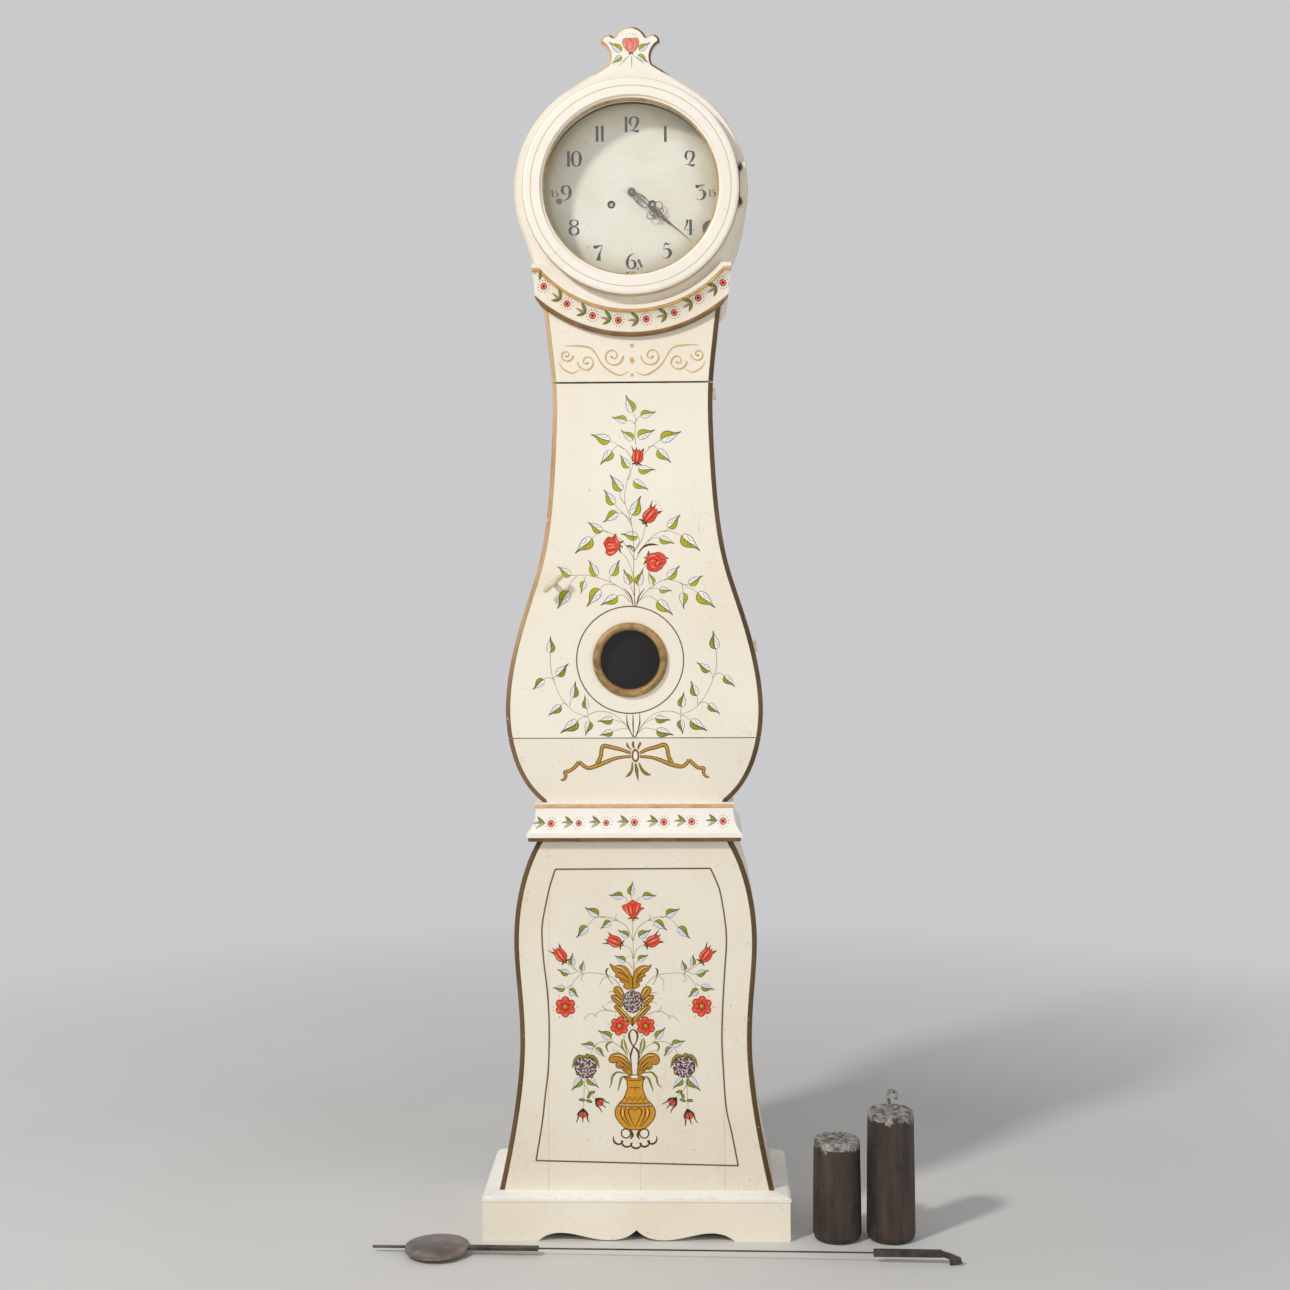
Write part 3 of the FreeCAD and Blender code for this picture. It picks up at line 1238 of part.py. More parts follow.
def make_hood():
    """The hood: a round front board with its crest, the bent wall behind, and the hinge block."""
    outline = []
    notches = {}
    for hand in (-1, 1):
        crest, shoulder, notch = crest_edges(hand)
        foot, turn = head_edges(s.hood_radius, s.hood_foot_half, hand)
        outline += crest
        mid_angle = (math.atan2(shoulder.z - float(dial_level), abs(shoulder.x))
                     + math.atan2(turn.z - float(dial_level), abs(turn.x))) / 2
        radius = float(s.hood_radius)
        middle = dial_spot(hand * radius * math.cos(mid_angle), radius * math.sin(mid_angle))
        outline += [arc(shoulder, middle, turn), Part.makeLine(turn, foot)]
        inner_x = math.sqrt(radius ** 2 - float(s.dial_rise) ** 2)
        inner = dial_spot(hand * inner_x, -s.dial_rise)
        outline.append(Part.makeLine(foot, inner))
        notches[hand] = (notch, inner)
    outline.append(arc(notches[-1][0], dial_spot(0, s.crest_height), notches[1][0]))
    outline.append(arc(notches[-1][1], dial_spot(0, -s.hood_radius), notches[1][1]))
    board = prism(outline, hood_front, hood_inside)
    board = ease_crest(board)
    board = board.cut(dial_disc(s.hood_opening, hood_front, s.hood_board))
    feature("hood_front", board)
    make_hood_barrel()
    block = box("hood_hinge_block", s.ring_radius + s.clear_gap * 2, hood_front - s.block_depth,
                dial_level + s.block_rise - s.block_height / 2, s.block_width, s.block_depth,
                s.block_height)
    keep(block, "hood_hinge_block")
    make_hood_hinges()


def corner_edges(board, shares):
    """The edges that run through a board at one place of the crest's outline, on both sides."""
    x = float(s.crest_half) * shares[0]
    z = float(dial_level) + float(s.crest_height) * shares[1]
    near = float(s.clear_gap)
    chosen = []
    for edge in board.Edges:
        bounds = edge.BoundBox
        through = bounds.YLength > near and bounds.XLength < near and bounds.ZLength < near
        if through and abs(abs(bounds.Center.x) - x) < near and abs(bounds.Center.z - z) < near:
            chosen.append(edge)
    return chosen


def ease_crest(board):
    """Round the crest's inner corners, then chamfer the front edge that is painted in a darker line."""
    chamfer = float(s.crest_chamfer)
    board = board.makeFillet(chamfer * 0.5, corner_edges(board, CREST_NOTCH_SHARES))
    board = board.makeFillet(chamfer * 1.5, corner_edges(board, CREST_NECK_SHARES))
    tiny = float(s.running_gap)
    floor = float(trunk_top) + tiny
    chosen = []
    for edge in board.Edges:
        bounds = edge.BoundBox
        at_front = bounds.YLength < tiny and abs(bounds.YMin - float(hood_front)) < tiny
        if at_front and bounds.ZMax > floor:
            chosen.append(edge)
    return board.makeChamfer(chamfer, chosen)


def make_hood_barrel():
    """The bent wall of the hood, open below, in front of the case's round-headed back board."""
    wall = float(s.hood_wall)
    outline = []
    tops = []
    for radius, half in ((float(s.hood_radius), float(s.hood_foot_half)),
                         (float(s.hood_radius) - wall, float(s.hood_foot_half) - wall)):
        foot_right, turn_right = head_edges(radius, half, 1)
        foot_left, turn_left = head_edges(radius, half, -1)
        outline += [Part.makeLine(foot_right, turn_right), Part.makeLine(foot_left, turn_left)]
        outline.append(arc(turn_right, dial_spot(0, radius), turn_left))
        tops.append((foot_right, foot_left))
    outline += [Part.makeLine(tops[0][0], tops[1][0]), Part.makeLine(tops[0][1], tops[1][1])]
    feature("hood_barrel", prism(outline, hood_inside, back_inside - s.clear_gap))


def make_hood_hinges():
    """Two pintles on the block, and the eyes of the ring door that turn on them."""
    radius = float(s.pintle_radius)
    outer = radius + float(s.running_gap) + float(s.eye_wall)
    front = float(hood_front) - float(s.block_depth)
    x = float(s.ring_radius) + float(s.clear_gap) * 2 + outer * 0.35
    y = front - outer - float(s.door_relief)
    tall = float(s.eye_height)
    middle = float(dial_level) + float(s.block_rise)
    pintles = []
    eyes = []
    for hand in (-1, 1):
        z = middle + hand * float(s.pintle_rise)
        pin = Part.makeCylinder(radius, tall * 1.6, FreeCAD.Vector(x, y, z - tall * 0.8))
        shank = bar(radius, y, front, x, z - tall * 0.8 + radius)
        pintles.append(pin.fuse(shank).removeSplitter())
        low = z - tall * 0.8 + 2 * radius + float(s.door_relief)
        eye = Part.makeCylinder(outer, tall - 2 * radius, FreeCAD.Vector(x, y, low))
        edge = math.sqrt(float(s.ring_radius) ** 2 - (low + tall / 2 - float(dial_level)) ** 2)
        arm = upright_box(edge, y - radius, low, x, y + radius, low + tall - 2 * radius)
        eye = eye.fuse(arm)
        hole = Part.makeCylinder(radius + float(s.running_gap), tall, FreeCAD.Vector(x, y, low))
        ring = dial_disc(s.ring_radius, ring_front, s.ring_depth)
        eyes.append(eye.cut(hole).cut(ring).removeSplitter())
    feature("hood_pintles", Part.Compound(pintles))
    feature("hood_hinge_eyes", Part.Compound(eyes))


def make_hood_door():
    """The turned ring door with its glass."""
    outer = s.ring_radius
    sight = s.ring_sight
    deep = s.ring_depth
    bead = s.ring_rebate
    corners = (
        (outer, ZERO), (outer, deep * 0.8), (outer - deep * 0.06, deep * 0.93), (outer - deep * 0.2, deep),
        (sight + bead * 1.5, deep), (sight + bead * 1.2, deep * 0.86), (sight + bead * 0.5, deep * 0.8),
        (sight, deep * 0.68), (sight, deep * 0.25), (sight + bead, deep * 0.25), (sight + bead, ZERO),
    )
    flipped = [(a, ring_back - b) for a, b in corners]
    ring = turned("hood_door_ring", "XY_Plane", ZERO, ZERO, dial_level, flipped)
    keep(ring, "hood_door_ring")
    pane = rod("hood_glass", ZERO, ring_back - deep * 0.25 + s.running_gap, dial_level,
               sight + bead - s.fit_gap, s.glass)
    keep(pane, "hood_glass")


def make_pendulum():
    """The pendulum on the floor: lens bob, rating rod, flat rod, wire, flat bar and hook."""
    bob_radius = float(s.bob_radius)
    half = float(s.bob_half)
    rim = float(s.bob_rim)
    swell = half - rim
    dome = (bob_radius ** 2 + swell ** 2) / (2 * swell)
    bob = Part.makeCylinder(bob_radius, 2 * half, FreeCAD.Vector(0, 0, -half))
    for hand in (-1, 1):
        bob = bob.common(Part.makeSphere(dome, FreeCAD.Vector(0, 0, hand * (half - dome)), BACKWARD))
    thick = float(s.bar_plate) / 2
    past = bob_radius + half
    slot = upright_box(-past, -float(s.low_bar_width) / 2, -thick, past, float(s.low_bar_width) / 2, thick)
    along = FreeCAD.Vector(1, 0, 0)
    start = -bob_radius
    rating = Part.makeCylinder(float(s.rating_radius), float(s.rating_length),
                               FreeCAD.Vector(start - float(s.rating_length), 0, 0), along)
    low_half = float(s.low_bar_width) / 2
    low_end = bob_radius + float(s.low_bar_length)
    flat = upright_box(start, -low_half, -thick, low_end, low_half, thick)
    wire_end = low_end + float(s.wire_length)
    wire = Part.makeCylinder(float(s.wire_radius), wire_end - low_end, FreeCAD.Vector(low_end, 0, 0), along)
    top_half = float(s.top_bar_width) / 2
    top_end = wire_end + float(s.top_bar_length)
    top = upright_box(wire_end, -thick, -top_half, top_end, thick, top_half)
    rods = rating.fuse(flat).fuse(wire).fuse(top).fuse(pendulum_hook(top_end, thick)).removeSplitter()
    hook = float(s.hook_length)
    low_along, low_down = min(HOOK_SHARES, key=lambda share: share[1])
    lean = math.degrees(math.asin((half + low_down * hook) / (top_end + low_along * hook)))
    for label, shape in (("pendulum_bob", bob.cut(slot)), ("pendulum_rod", rods)):
        shape.rotate(FreeCAD.Vector(0, 0, 0), BACKWARD, lean)
        shape.rotate(FreeCAD.Vector(0, 0, 0), UP, -float(s.pendulum_angle))
        shape.translate(spot(-s.pendulum_left, -s.plinth_depth - s.pendulum_ahead, s.bob_half))
        feature(label, shape)


def pendulum_hook(start, thick):
    """The flat hook that the pendulum hangs by, cut in one plane with its upright bar."""
    hook = float(s.hook_length)
    corners = [FreeCAD.Vector(start + along * hook, -thick, up * hook) for along, up in HOOK_SHARES]
    return Part.Face(Part.makePolygon(corners + corners[:1])).extrude(BACKWARD * 2 * thick)


def bent_wire(edges, radius):
    """A round wire bent along joined edges."""
    path = Part.Wire(edges)
    first = edges[0]
    circle = Part.makeCircle(radius, first.valueAt(first.FirstParameter), first.tangentAt(first.FirstParameter))
    pipe = Part.BRepOffsetAPI.MakePipeShell(path)
    pipe.add(Part.Wire(circle))
    pipe.build()
    pipe.makeSolid()
    return pipe.shape()


def make_weights():
    """The two cast weights that stand beside the clock, each with its iron hook."""
    y = float(s.weight_behind) - float(s.plinth_depth)
    wire = float(s.hook_wire)
    bend = float(s.hook_bend)
    for label, radius, height, away in (
            ("weight_short", s.weight_radius, s.weight_height, s.weight_place),
            ("weight_tall", s.tall_radius, s.tall_height, s.tall_place)):
        ease = s.weight_round
        foot_ease = s.weight_foot
        x = s.plinth_width / 2 + away
        body = turned(label + "_casting", "XZ_Plane", x, s.weight_behind - s.plinth_depth, ZERO, (
            (ZERO, ZERO), (radius - foot_ease, ZERO), (radius - foot_ease * 0.35, foot_ease * 0.4),
            (radius, foot_ease * 1.4), (radius * 0.985, height * 0.5), (radius * 0.95, height - ease * 2),
            (radius * 0.93, height - ease * 0.6), (radius * 0.87, height), (radius * 0.8, height - ease * 0.3),
            (ZERO, height - ease * 0.4)))
        doc.recompute()
        top = float(height) - float(ease)
        middle = float(x)
        foot = FreeCAD.Vector(middle + bend * 0.3, y, top)
        if label == "weight_tall":
            neck = FreeCAD.Vector(middle - bend * 0.6, y, top + bend * 3.2)
            crown = FreeCAD.Vector(middle + bend * 0.3, y, top + bend * 4.6)
            far = FreeCAD.Vector(middle + bend * 1.3, y, top + bend * 3.4)
            tip = FreeCAD.Vector(middle + bend * 1.1, y, top + bend * 2.8)
            path = [Part.makeLine(foot, neck), arc(neck, crown, far), Part.makeLine(far, tip)]
        else:
            path = [Part.makeLine(foot, FreeCAD.Vector(middle + bend * 0.2, y, top + bend * 1.5))]
        solid = body.Shape.fuse(bent_wire(path, wire))
        feature(label, solid.removeSplitter())


make_plinth()
make_base()
make_belt()
make_trunk()
make_collar()
make_trunk_door()
make_trunk_hinges()
make_latch()
make_seat()
make_plates()
make_dial()
make_train()
make_bells()
make_hood()
make_hood_door()
make_pendulum()
make_weights()
doc.recompute()

for obj in doc.Objects:
    if "Invalid" in obj.State or "Error" in obj.State:
        raise RuntimeError("%s did not build: %s" % (obj.Label, obj.State))

os.makedirs("parts", exist_ok=True)
for node in nodes:
    shape = node.Shape
    if shape.isNull() or not shape.isValid():
        raise RuntimeError("%s has no valid shape" % node.Label)
    if shape.Volume <= 0:
        raise RuntimeError("%s is inside out" % node.Label)
    shape.exportStep(os.path.join("parts", node.Label + ".step"))
print("nodes", len(nodes))
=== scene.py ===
"""The looks of a painted longcase clock: paint, wood, iron, brass, glass and its painted flowers.

Metres, in the CAD's frame: +Z up, +X right, the clock looks along -Y. Painted shapes are thin skins laid
on the boards. Their places are read off as pixels of the 1290 by 1290 photograph and turned into the
frame by Painter.spot(), and every skin is then laid on the node that carries it.
"""
import math
import random

import bpy
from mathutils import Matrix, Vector
from mathutils.bvhtree import BVHTree


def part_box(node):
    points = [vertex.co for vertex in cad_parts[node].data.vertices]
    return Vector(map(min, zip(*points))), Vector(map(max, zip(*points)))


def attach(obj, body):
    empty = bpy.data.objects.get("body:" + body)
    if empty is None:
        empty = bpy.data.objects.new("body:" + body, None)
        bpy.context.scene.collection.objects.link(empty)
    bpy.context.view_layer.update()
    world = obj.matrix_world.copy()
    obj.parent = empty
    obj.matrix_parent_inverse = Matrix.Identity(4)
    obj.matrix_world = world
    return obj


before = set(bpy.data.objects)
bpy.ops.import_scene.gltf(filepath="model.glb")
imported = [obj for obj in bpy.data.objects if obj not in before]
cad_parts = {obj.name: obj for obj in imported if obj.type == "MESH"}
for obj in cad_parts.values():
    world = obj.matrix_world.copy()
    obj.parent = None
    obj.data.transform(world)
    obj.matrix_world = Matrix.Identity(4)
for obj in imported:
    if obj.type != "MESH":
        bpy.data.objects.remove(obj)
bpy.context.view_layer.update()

# The camera: its place in metres, its turns in degrees, then the picture's side, its focal length and its
# horizon in pixels.
EYE_RIGHT = 0.111
EYE_AHEAD = -3.559
EYE_LEVEL = 1.188
EYE_ROLL = 0.33
EYE_TURN = 1.557
PICTURE = 1290
FOCAL_PIXELS = 1884
HORIZON = 560
# The clock's middle line in the photograph, as its column at a row near the foot and at one near the head.
FOOT_MIDDLE = 638
FOOT_ROW = 1241
HEAD_MIDDLE = 631
HEAD_ROW = 190
# Metres to a pixel on each face.
TRUNK_SCALE = 0.0017645
BASE_SCALE = 0.00176
COLLAR_SCALE = 0.001756
DIAL_SCALE = 0.00177
BELT_SCALE = 0.001751
# How a painted skin is laid: its thickness, where its rays start and how far they go, its rings in a hollow.
SKIN = 0.00012
LAY_FROM = 0.05
LAY_REACH = 0.12
HOLLOW_STEP = 0.0016
# Levels, radii and widths on the clock.
DIAL = 1.842
RING_BEVEL = 0.1551
RING_STEP = 0.189
RING_LINE = 0.1755
COLLAR_FILLET = 0.2066
COLLAR_SHOULDER = 1.709
COLLAR_FOOT = 0.0462
BELT_FOOT = 0.7016
# The limits of each gilt bead and of the way that a chamfer faces: where each starts and where it is full.
COLLAR_BEAD = ((0.0079, 0.0084), (0.0137, 0.0131))
BELT_BEAD = ((0.7521, 0.7526), (0.7592, 0.7587))
CHAMFER_FACING = ((-0.3, -0.4), (-0.95, -0.9))
# The hood's edge line is brown above this level; at these levels the trunk's goes from painted shade low
# down to painted light higher up.
CREST_LINE = (DIAL + 0.196, DIAL + 0.206)
TAN_LINE = (0.92, 1.1)
TOP_LIT_LINE = (1.36, 1.56)
BASE_LINE = (0.72, 0.69)
WINDOW = (-0.0065, 1.0122)
WINDOW_CIRCLE = 0.0943
PANEL_WIDTH = 0.0027
SHORT_WEIGHT_TOP = 0.175
TALL_WEIGHT_TOP = 0.224
GOLDEN_TURN = 2.399963
# The surround that is seen and the one that lights, and where the floor starts and ends to fade into it.
BACKDROP = "CACACD"
SURROUND = (0.95, 0.97, 1.0, 1.0)
SURROUND_STRENGTH = 0.42
FADE_START = 0.8
FADE_END = 2.7


def linear(value):
    """One channel of a screen colour as light."""
    return value / 12.92 if value <= 0.04045 else ((value + 0.055) / 1.055) ** 2.4


def shade(text):
    """A colour written as six hex digits, as light with full cover."""
    parts = [int(text[i:i + 2], 16) / 255 for i in (0, 2, 4)]
    return tuple(linear(part) for part in parts) + (1.0,)


class Graph:
    """A material's node graph, with short calls for the nodes used most."""

    def __init__(self, name):
        self.material = bpy.data.materials.new(name)
        self.material.use_nodes = True
        self.tree = self.material.node_tree
        self.tree.nodes.clear()
        self.output = self.add("ShaderNodeOutputMaterial")
        self.shader = self.add("ShaderNodeBsdfPrincipled")
        self.join(self.shader.outputs[0], self.output.inputs[0])
        self.place = self.add("ShaderNodeTexCoord").outputs["Object"]

    def add(self, kind, **settings):
        """A new node with its settings."""
        made = self.tree.nodes.new(kind)
        for name, value in settings.items():
            setattr(made, name, value)
        return made

    def join(self, source, target):
        """A link between two sockets."""
        self.tree.links.new(source, target)

    def feed(self, target, value):
        """A link where value is a socket, a colour where it is six hex digits, else the value itself."""
        if isinstance(value, bpy.types.NodeSocket):
            self.join(value, target)
        else:
            target.default_value = shade(value) if isinstance(value, str) else value

    def stretched(self, across, deep, up):
        """The place in the frame, scaled along each direction."""
        mapping = self.add("ShaderNodeMapping")
        self.join(self.place, mapping.inputs["Vector"])
        mapping.inputs["Scale"].default_value = (across, deep, up)
        return mapping.outputs[0]

    def noise(self, scale, detail=4.0, roughness=0.55, vector=None, distortion=0.0):
        """Noise from 0 to 1."""
        made = self.add("ShaderNodeTexNoise")
        self.join(vector if vector else self.place, made.inputs["Vector"])
        made.inputs["Scale"].default_value = scale
        made.inputs["Detail"].default_value = detail
        made.inputs["Roughness"].default_value = roughness
        made.inputs["Distortion"].default_value = distortion
        return made.outputs[0]

    def cloud(self, scale, detail, roughness, *limits):
        """Noise spread between limits."""
        return self.spread(self.noise(scale, detail, roughness), *limits)

    def spread(self, value, low, high, start=0.0, end=1.0):
        """The value from low to high spread over start to end, clamped."""
        made = self.add("ShaderNodeMapRange")
        self.feed(made.inputs["Value"], value)
        made.inputs["From Min"].default_value = low
        made.inputs["From Max"].default_value = high
        made.inputs["To Min"].default_value = start
        made.inputs["To Max"].default_value = end
        return made.outputs[0]

    def sum(self, kind, first, second=0.0):
        """A Math node."""
        made = self.add("ShaderNodeMath", operation=kind)
        self.feed(made.inputs[0], first)
        self.feed(made.inputs[1], second)
        return made.outputs[0]

    def times(self, first, second):
        """Two values multiplied."""
        return self.sum("MULTIPLY", first, second)

    def reach(self, first, second):
        """The distance that two parts square to each other make."""
        return self.sum("SQRT", self.sum("ADD", self.times(first, first), self.times(second, second)))

    def dial_reach(self):
        """The distance from the dial's centre, seen from the front."""
        place = self.parts(self.place)
        return self.reach(place[0], self.sum("SUBTRACT", place[2], DIAL))

    def mix(self, factor, first, second):
        """Two colours mixed."""
        made = self.add("ShaderNodeMix", data_type="RGBA")
        self.feed(made.inputs[0], factor)
        self.feed(made.inputs[6], first)
        self.feed(made.inputs[7], second)
        return made.outputs[2]

    def bump(self, height, distance, strength):
        """A bump whose height is in metres."""
        made = self.add("ShaderNodeBump")
        made.inputs["Strength"].default_value = strength
        made.inputs["Distance"].default_value = distance
        self.join(height, made.inputs["Height"])
        return made.outputs[0]

    def parts(self, vector):
        """The three numbers of a vector."""
        made = self.add("ShaderNodeSeparateXYZ")
        self.join(vector, made.inputs[0])
        return made.outputs

    def flat_normal(self):
        """The face's own normal, without smoothing."""
        return self.add("ShaderNodeNewGeometry").outputs["True Normal"]

    def between(self, value, near, far):
        """1 between two limits, each given as where it starts and where it is full."""
        return self.times(self.spread(value, *near), self.spread(value, *far))

    def chamfer(self):
        """1 on the chamfers of the front edges, by the way that they face, 0 elsewhere."""
        return self.between(self.parts(self.flat_normal())[1], *CHAMFER_FACING)

    def edge(self, radius):
        """1 at outside and inside edges, 0 on open faces."""
        made = self.add("ShaderNodeBevel", samples=4)
        made.inputs["Radius"].default_value = radius
        turn = self.add("ShaderNodeVectorMath", operation="DOT_PRODUCT")
        self.join(made.outputs[0], turn.inputs[0])
        self.join(self.flat_normal(), turn.inputs[1])
        return self.spread(turn.outputs["Value"], 0.995, 0.86)

    def finish(self, colour, roughness, normal=None, metallic=0.0):
        """Colour, roughness and bump into the shader."""
        self.feed(self.shader.inputs["Base Color"], colour)
        self.feed(self.shader.inputs["Roughness"], roughness)
        self.shader.inputs["Metallic"].default_value = metallic
        if normal:
            self.join(normal, self.shader.inputs["Normal"])
        return self.material


def edge_tones(graph):
    """The brown of the boards' edge line: tan at the upper left as painted light, darker at the right and on
    the base as painted shade.
    """
    place = graph.parts(graph.place)
    height = place[2]
    tone = graph.cloud(9.0, 5.0, 0.6, 0.35, 0.7)
    # Painted light on the left edge: darker low down, tan higher up and palest at the top.
    upper = graph.mix(tone, "B8926A", "D0AC80")
    worn_and_lit = graph.mix(tone, "C8AC84", "E6CDA4")
    lower = graph.mix(tone, "6E5438", "8A6C48")
    left = graph.mix(graph.spread(height, *TAN_LINE), lower, upper)
    left = graph.mix(graph.spread(height, *TOP_LIT_LINE), left, worn_and_lit)
    # Painted shade: the right edge and the base's edge are darker brown.
    right = graph.mix(tone, "573F22", "7E6440")
    base = graph.mix(tone, "56401F", "74562F")
    brown = graph.mix(graph.spread(place[0], -0.01, 0.01), left, right)
    brown = graph.mix(graph.spread(height, *BASE_LINE), brown, base)
    grain = graph.noise(30.0, 6.0, 0.6, graph.stretched(3, 3, 0.4))
    return graph.mix(graph.spread(grain, 0.5, 0.75, 0, 0.4), brown, "5E3F20")


def edging(graph, paint):
    """The edge line on the chamfers, with its painted light and shade, worn through in spots, over the
    board's paint.
    """
    worn = graph.cloud(70.0, 3.0, 0.7, 0.68, 0.73)
    cover = graph.times(graph.chamfer(), graph.sum("SUBTRACT", 1.0, worn))
    return graph.mix(cover, paint, edge_tones(graph))


def edge_line():
    """The paint of the part of the edge line that runs on the boards' fronts, with the same painted light
    and shade.
    """
    graph = Graph("edge_line_brown")
    brush = graph.noise(1.0, 4.0, 0.6, graph.stretched(200, 200, 40))
    tone = graph.mix(graph.spread(brush, 0.5, 0.8, 0.0, 0.3), edge_tones(graph), "8E7048")
    graph.shader.inputs["Specular IOR Level"].default_value = 0.2
    return graph.finish(tone, graph.spread(brush, 0.3, 0.7, 0.5, 0.66), graph.bump(brush, 0.0003, 0.5))


def ring_lines(graph, paint):
    """The ring door's ochre inner bevel, part paint and part painted light, and a painted shade line on the
    step at its outer edge.
    """
    out = graph.dial_reach()
    tone = graph.cloud(45.0, 4.0, 0.6, 0.3, 0.7)
    ochre = graph.mix(tone, "A88452", "D6B887")
    # Ochre on the inner bevel is part paint, part painted light; on the outer step it is painted shade.
    inner = graph.spread(out, RING_BEVEL + 0.0005, RING_BEVEL - 0.0005)
    rim = graph.spread(out, RING_STEP - 0.0004, RING_STEP + 0.0004, 0.0, 0.75)
    return graph.mix(inner, graph.mix(rim, paint, ochre), ochre)


def hood_edging(graph, paint):
    """The edge line of the hood, which is brown only round the crest: tan as painted light where it faces
    left, dark as painted shade where it faces right.
    """
    height = graph.parts(graph.place)[2]
    near_crest = graph.spread(height, *CREST_LINE)
    tone = graph.cloud(14.0, 4.0, 0.6, 0.35, 0.7)
    tan = graph.mix(tone, "C79A60", "E8C898")
    dark = graph.mix(tone, "6A4A1E", "8E6A3A")
    # Painted light and shade: tan on left-facing chamfers, dark brown on right-facing ones.
    across = graph.parts(graph.flat_normal())[0]
    tan = graph.mix(graph.spread(across, 0.05, 0.25), tan, dark)
    pale = graph.mix(tone, "E9D9BC", "F3E8D2")
    return graph.mix(graph.chamfer(), paint, graph.mix(near_crest, pale, tan))


def collar_lines(graph, paint):
    """The gilt bead under the collar's fillet and the brown bead along its lower edge."""
    out = graph.sum("SUBTRACT", graph.dial_reach(), COLLAR_FILLET)
    down = graph.sum("SUBTRACT", COLLAR_SHOULDER, graph.parts(graph.place)[2])
    near = graph.sum("MINIMUM", out, down)
    bead = graph.between(near, *COLLAR_BEAD)
    tone = graph.cloud(45.0, 4.0, 0.6, 0.3, 0.7)
    gilt = graph.mix(tone, "C08A47", "E6B878")
    foot = graph.spread(out, COLLAR_FOOT - 0.0002, COLLAR_FOOT + 0.0002)
    brown = graph.mix(tone, "6B4A26", "96703F")
    return graph.mix(foot, graph.mix(bead, paint, gilt), brown)


def belt_lines(graph, paint):
    """The gilt bead at the top of the belt and the brown band under its lip."""
    z = graph.parts(graph.place)[2]
    tone = graph.cloud(45.0, 4.0, 0.6, 0.3, 0.7)
    bead = graph.between(z, *BELT_BEAD)
    gilt = graph.mix(tone, "CC9C66", "EAC592")
    white = graph.mix(tone, "FFFDF8", "F8F3EA")
    foot = graph.spread(z, BELT_FOOT + 0.0002, BELT_FOOT - 0.0002)
    brown = graph.mix(tone, "5B3E22", "8B6436")
    return graph.mix(foot, graph.mix(bead, graph.mix(0.6, paint, white), gilt), brown)


def painted(name, light, dark, extra=None):
    """Old oil paint on boards: mottled, brushed, faintly crazed, dirty at the edges."""
    graph = Graph(name)
    cloud = graph.noise(3.1, 5.0, 0.55)
    tone = graph.mix(graph.spread(cloud, 0.36, 0.68), light, dark)
    brushed = graph.noise(1.0, 5.0, 0.6, graph.stretched(95, 95, 5))
    tone = graph.mix(graph.spread(brushed, 0.35, 0.75, 0.0, 0.22), tone, dark)
    speck = graph.cloud(150.0, 2.0, 0.5, 0.735, 0.765)
    tone = graph.mix(graph.times(speck, 0.55), tone, "8D7A5B")
    crack = graph.add("ShaderNodeTexVoronoi", feature="DISTANCE_TO_EDGE")
    graph.join(graph.stretched(1, 1, 0.45), crack.inputs["Vector"])
    crack.inputs["Scale"].default_value = 48.0
    crazed = graph.spread(crack.outputs["Distance"], 0.022, 0.0)
    faint = graph.times(crazed, graph.cloud(6.0, 4.0, 0.55, 0.5, 0.68, 0.0, 0.25))
    tone = graph.mix(faint, tone, "A2906E")
    if extra:
        tone = extra(graph, tone)
    edge = graph.edge(0.0022)
    broken = graph.cloud(55.0, 4.0, 0.65, 0.42, 0.62)
    tone = graph.mix(graph.times(graph.times(edge, broken), 0.35), tone, "8A6E48")
    height = graph.sum("ADD", graph.times(brushed, 0.6), graph.times(cloud, 0.8))
    height = graph.sum("SUBTRACT", height, graph.times(faint, 0.9))
    shine = graph.cloud(20.0, 4.0, 0.55, 0.3, 0.7, 0.42, 0.58)
    return graph.finish(tone, shine, graph.bump(height, 0.0006, 0.35))


def bare_wood(name, light, dark):
    """Unpainted pine, planed and long since darkened."""
    graph = Graph(name)
    bend = graph.noise(2.3, 2.0, 0.5, graph.stretched(1, 1, 0.35))
    lines = graph.noise(1.0, 7.0, 0.62, graph.stretched(58, 58, 1.6), 0.8)
    tone = graph.mix(graph.spread(lines, 0.3, 0.72), light, dark)
    tone = graph.mix(graph.spread(bend, 0.35, 0.7, 0.0, 0.5), tone, dark)
    dust = graph.cloud(7.0, 5.0, 0.6, 0.45, 0.75, 0.0, 0.3)
    tone = graph.mix(dust, tone, "8F8474")
    knot = graph.add("ShaderNodeTexVoronoi", feature="F1")
    graph.join(graph.stretched(1, 1, 0.45), knot.inputs["Vector"])
    knot.inputs["Scale"].default_value = 5.5
    tone = graph.mix(graph.spread(knot.outputs["Distance"], 0.075, 0.045, 0.0, 0.8), tone, "4A311C")
    edge = graph.edge(0.002)
    tone = graph.mix(graph.times(edge, 0.35), tone, "5C432B")
    return graph.finish(tone, graph.spread(lines, 0.3, 0.7, 0.62, 0.8), graph.bump(lines, 0.0009, 0.5))


def gilt_bezel(name):
    """Turned wood in worn bronze paint."""
    graph = Graph(name)
    turned = graph.noise(1.0, 6.0, 0.6, graph.stretched(30, 30, 30), 1.2)
    tone = graph.mix(graph.spread(turned, 0.35, 0.68), "7C5C30", "B8935A")
    # Lighter patches: worn gilt paint and painted highlight on the turned bezel.
    worn_and_lit = graph.cloud(16.0, 4.0, 0.6, 0.5, 0.72, 0.0, 0.6)
    tone = graph.mix(worn_and_lit, tone, "DCC08C")
    pits = graph.cloud(120.0, 3.0, 0.6, 0.62, 0.7)
    tone = graph.mix(graph.times(pits, 0.6), tone, "4A2F16")
    return graph.finish(tone, graph.spread(turned, 0.3, 0.7, 0.3, 0.46), graph.bump(turned, 0.0007, 0.5))


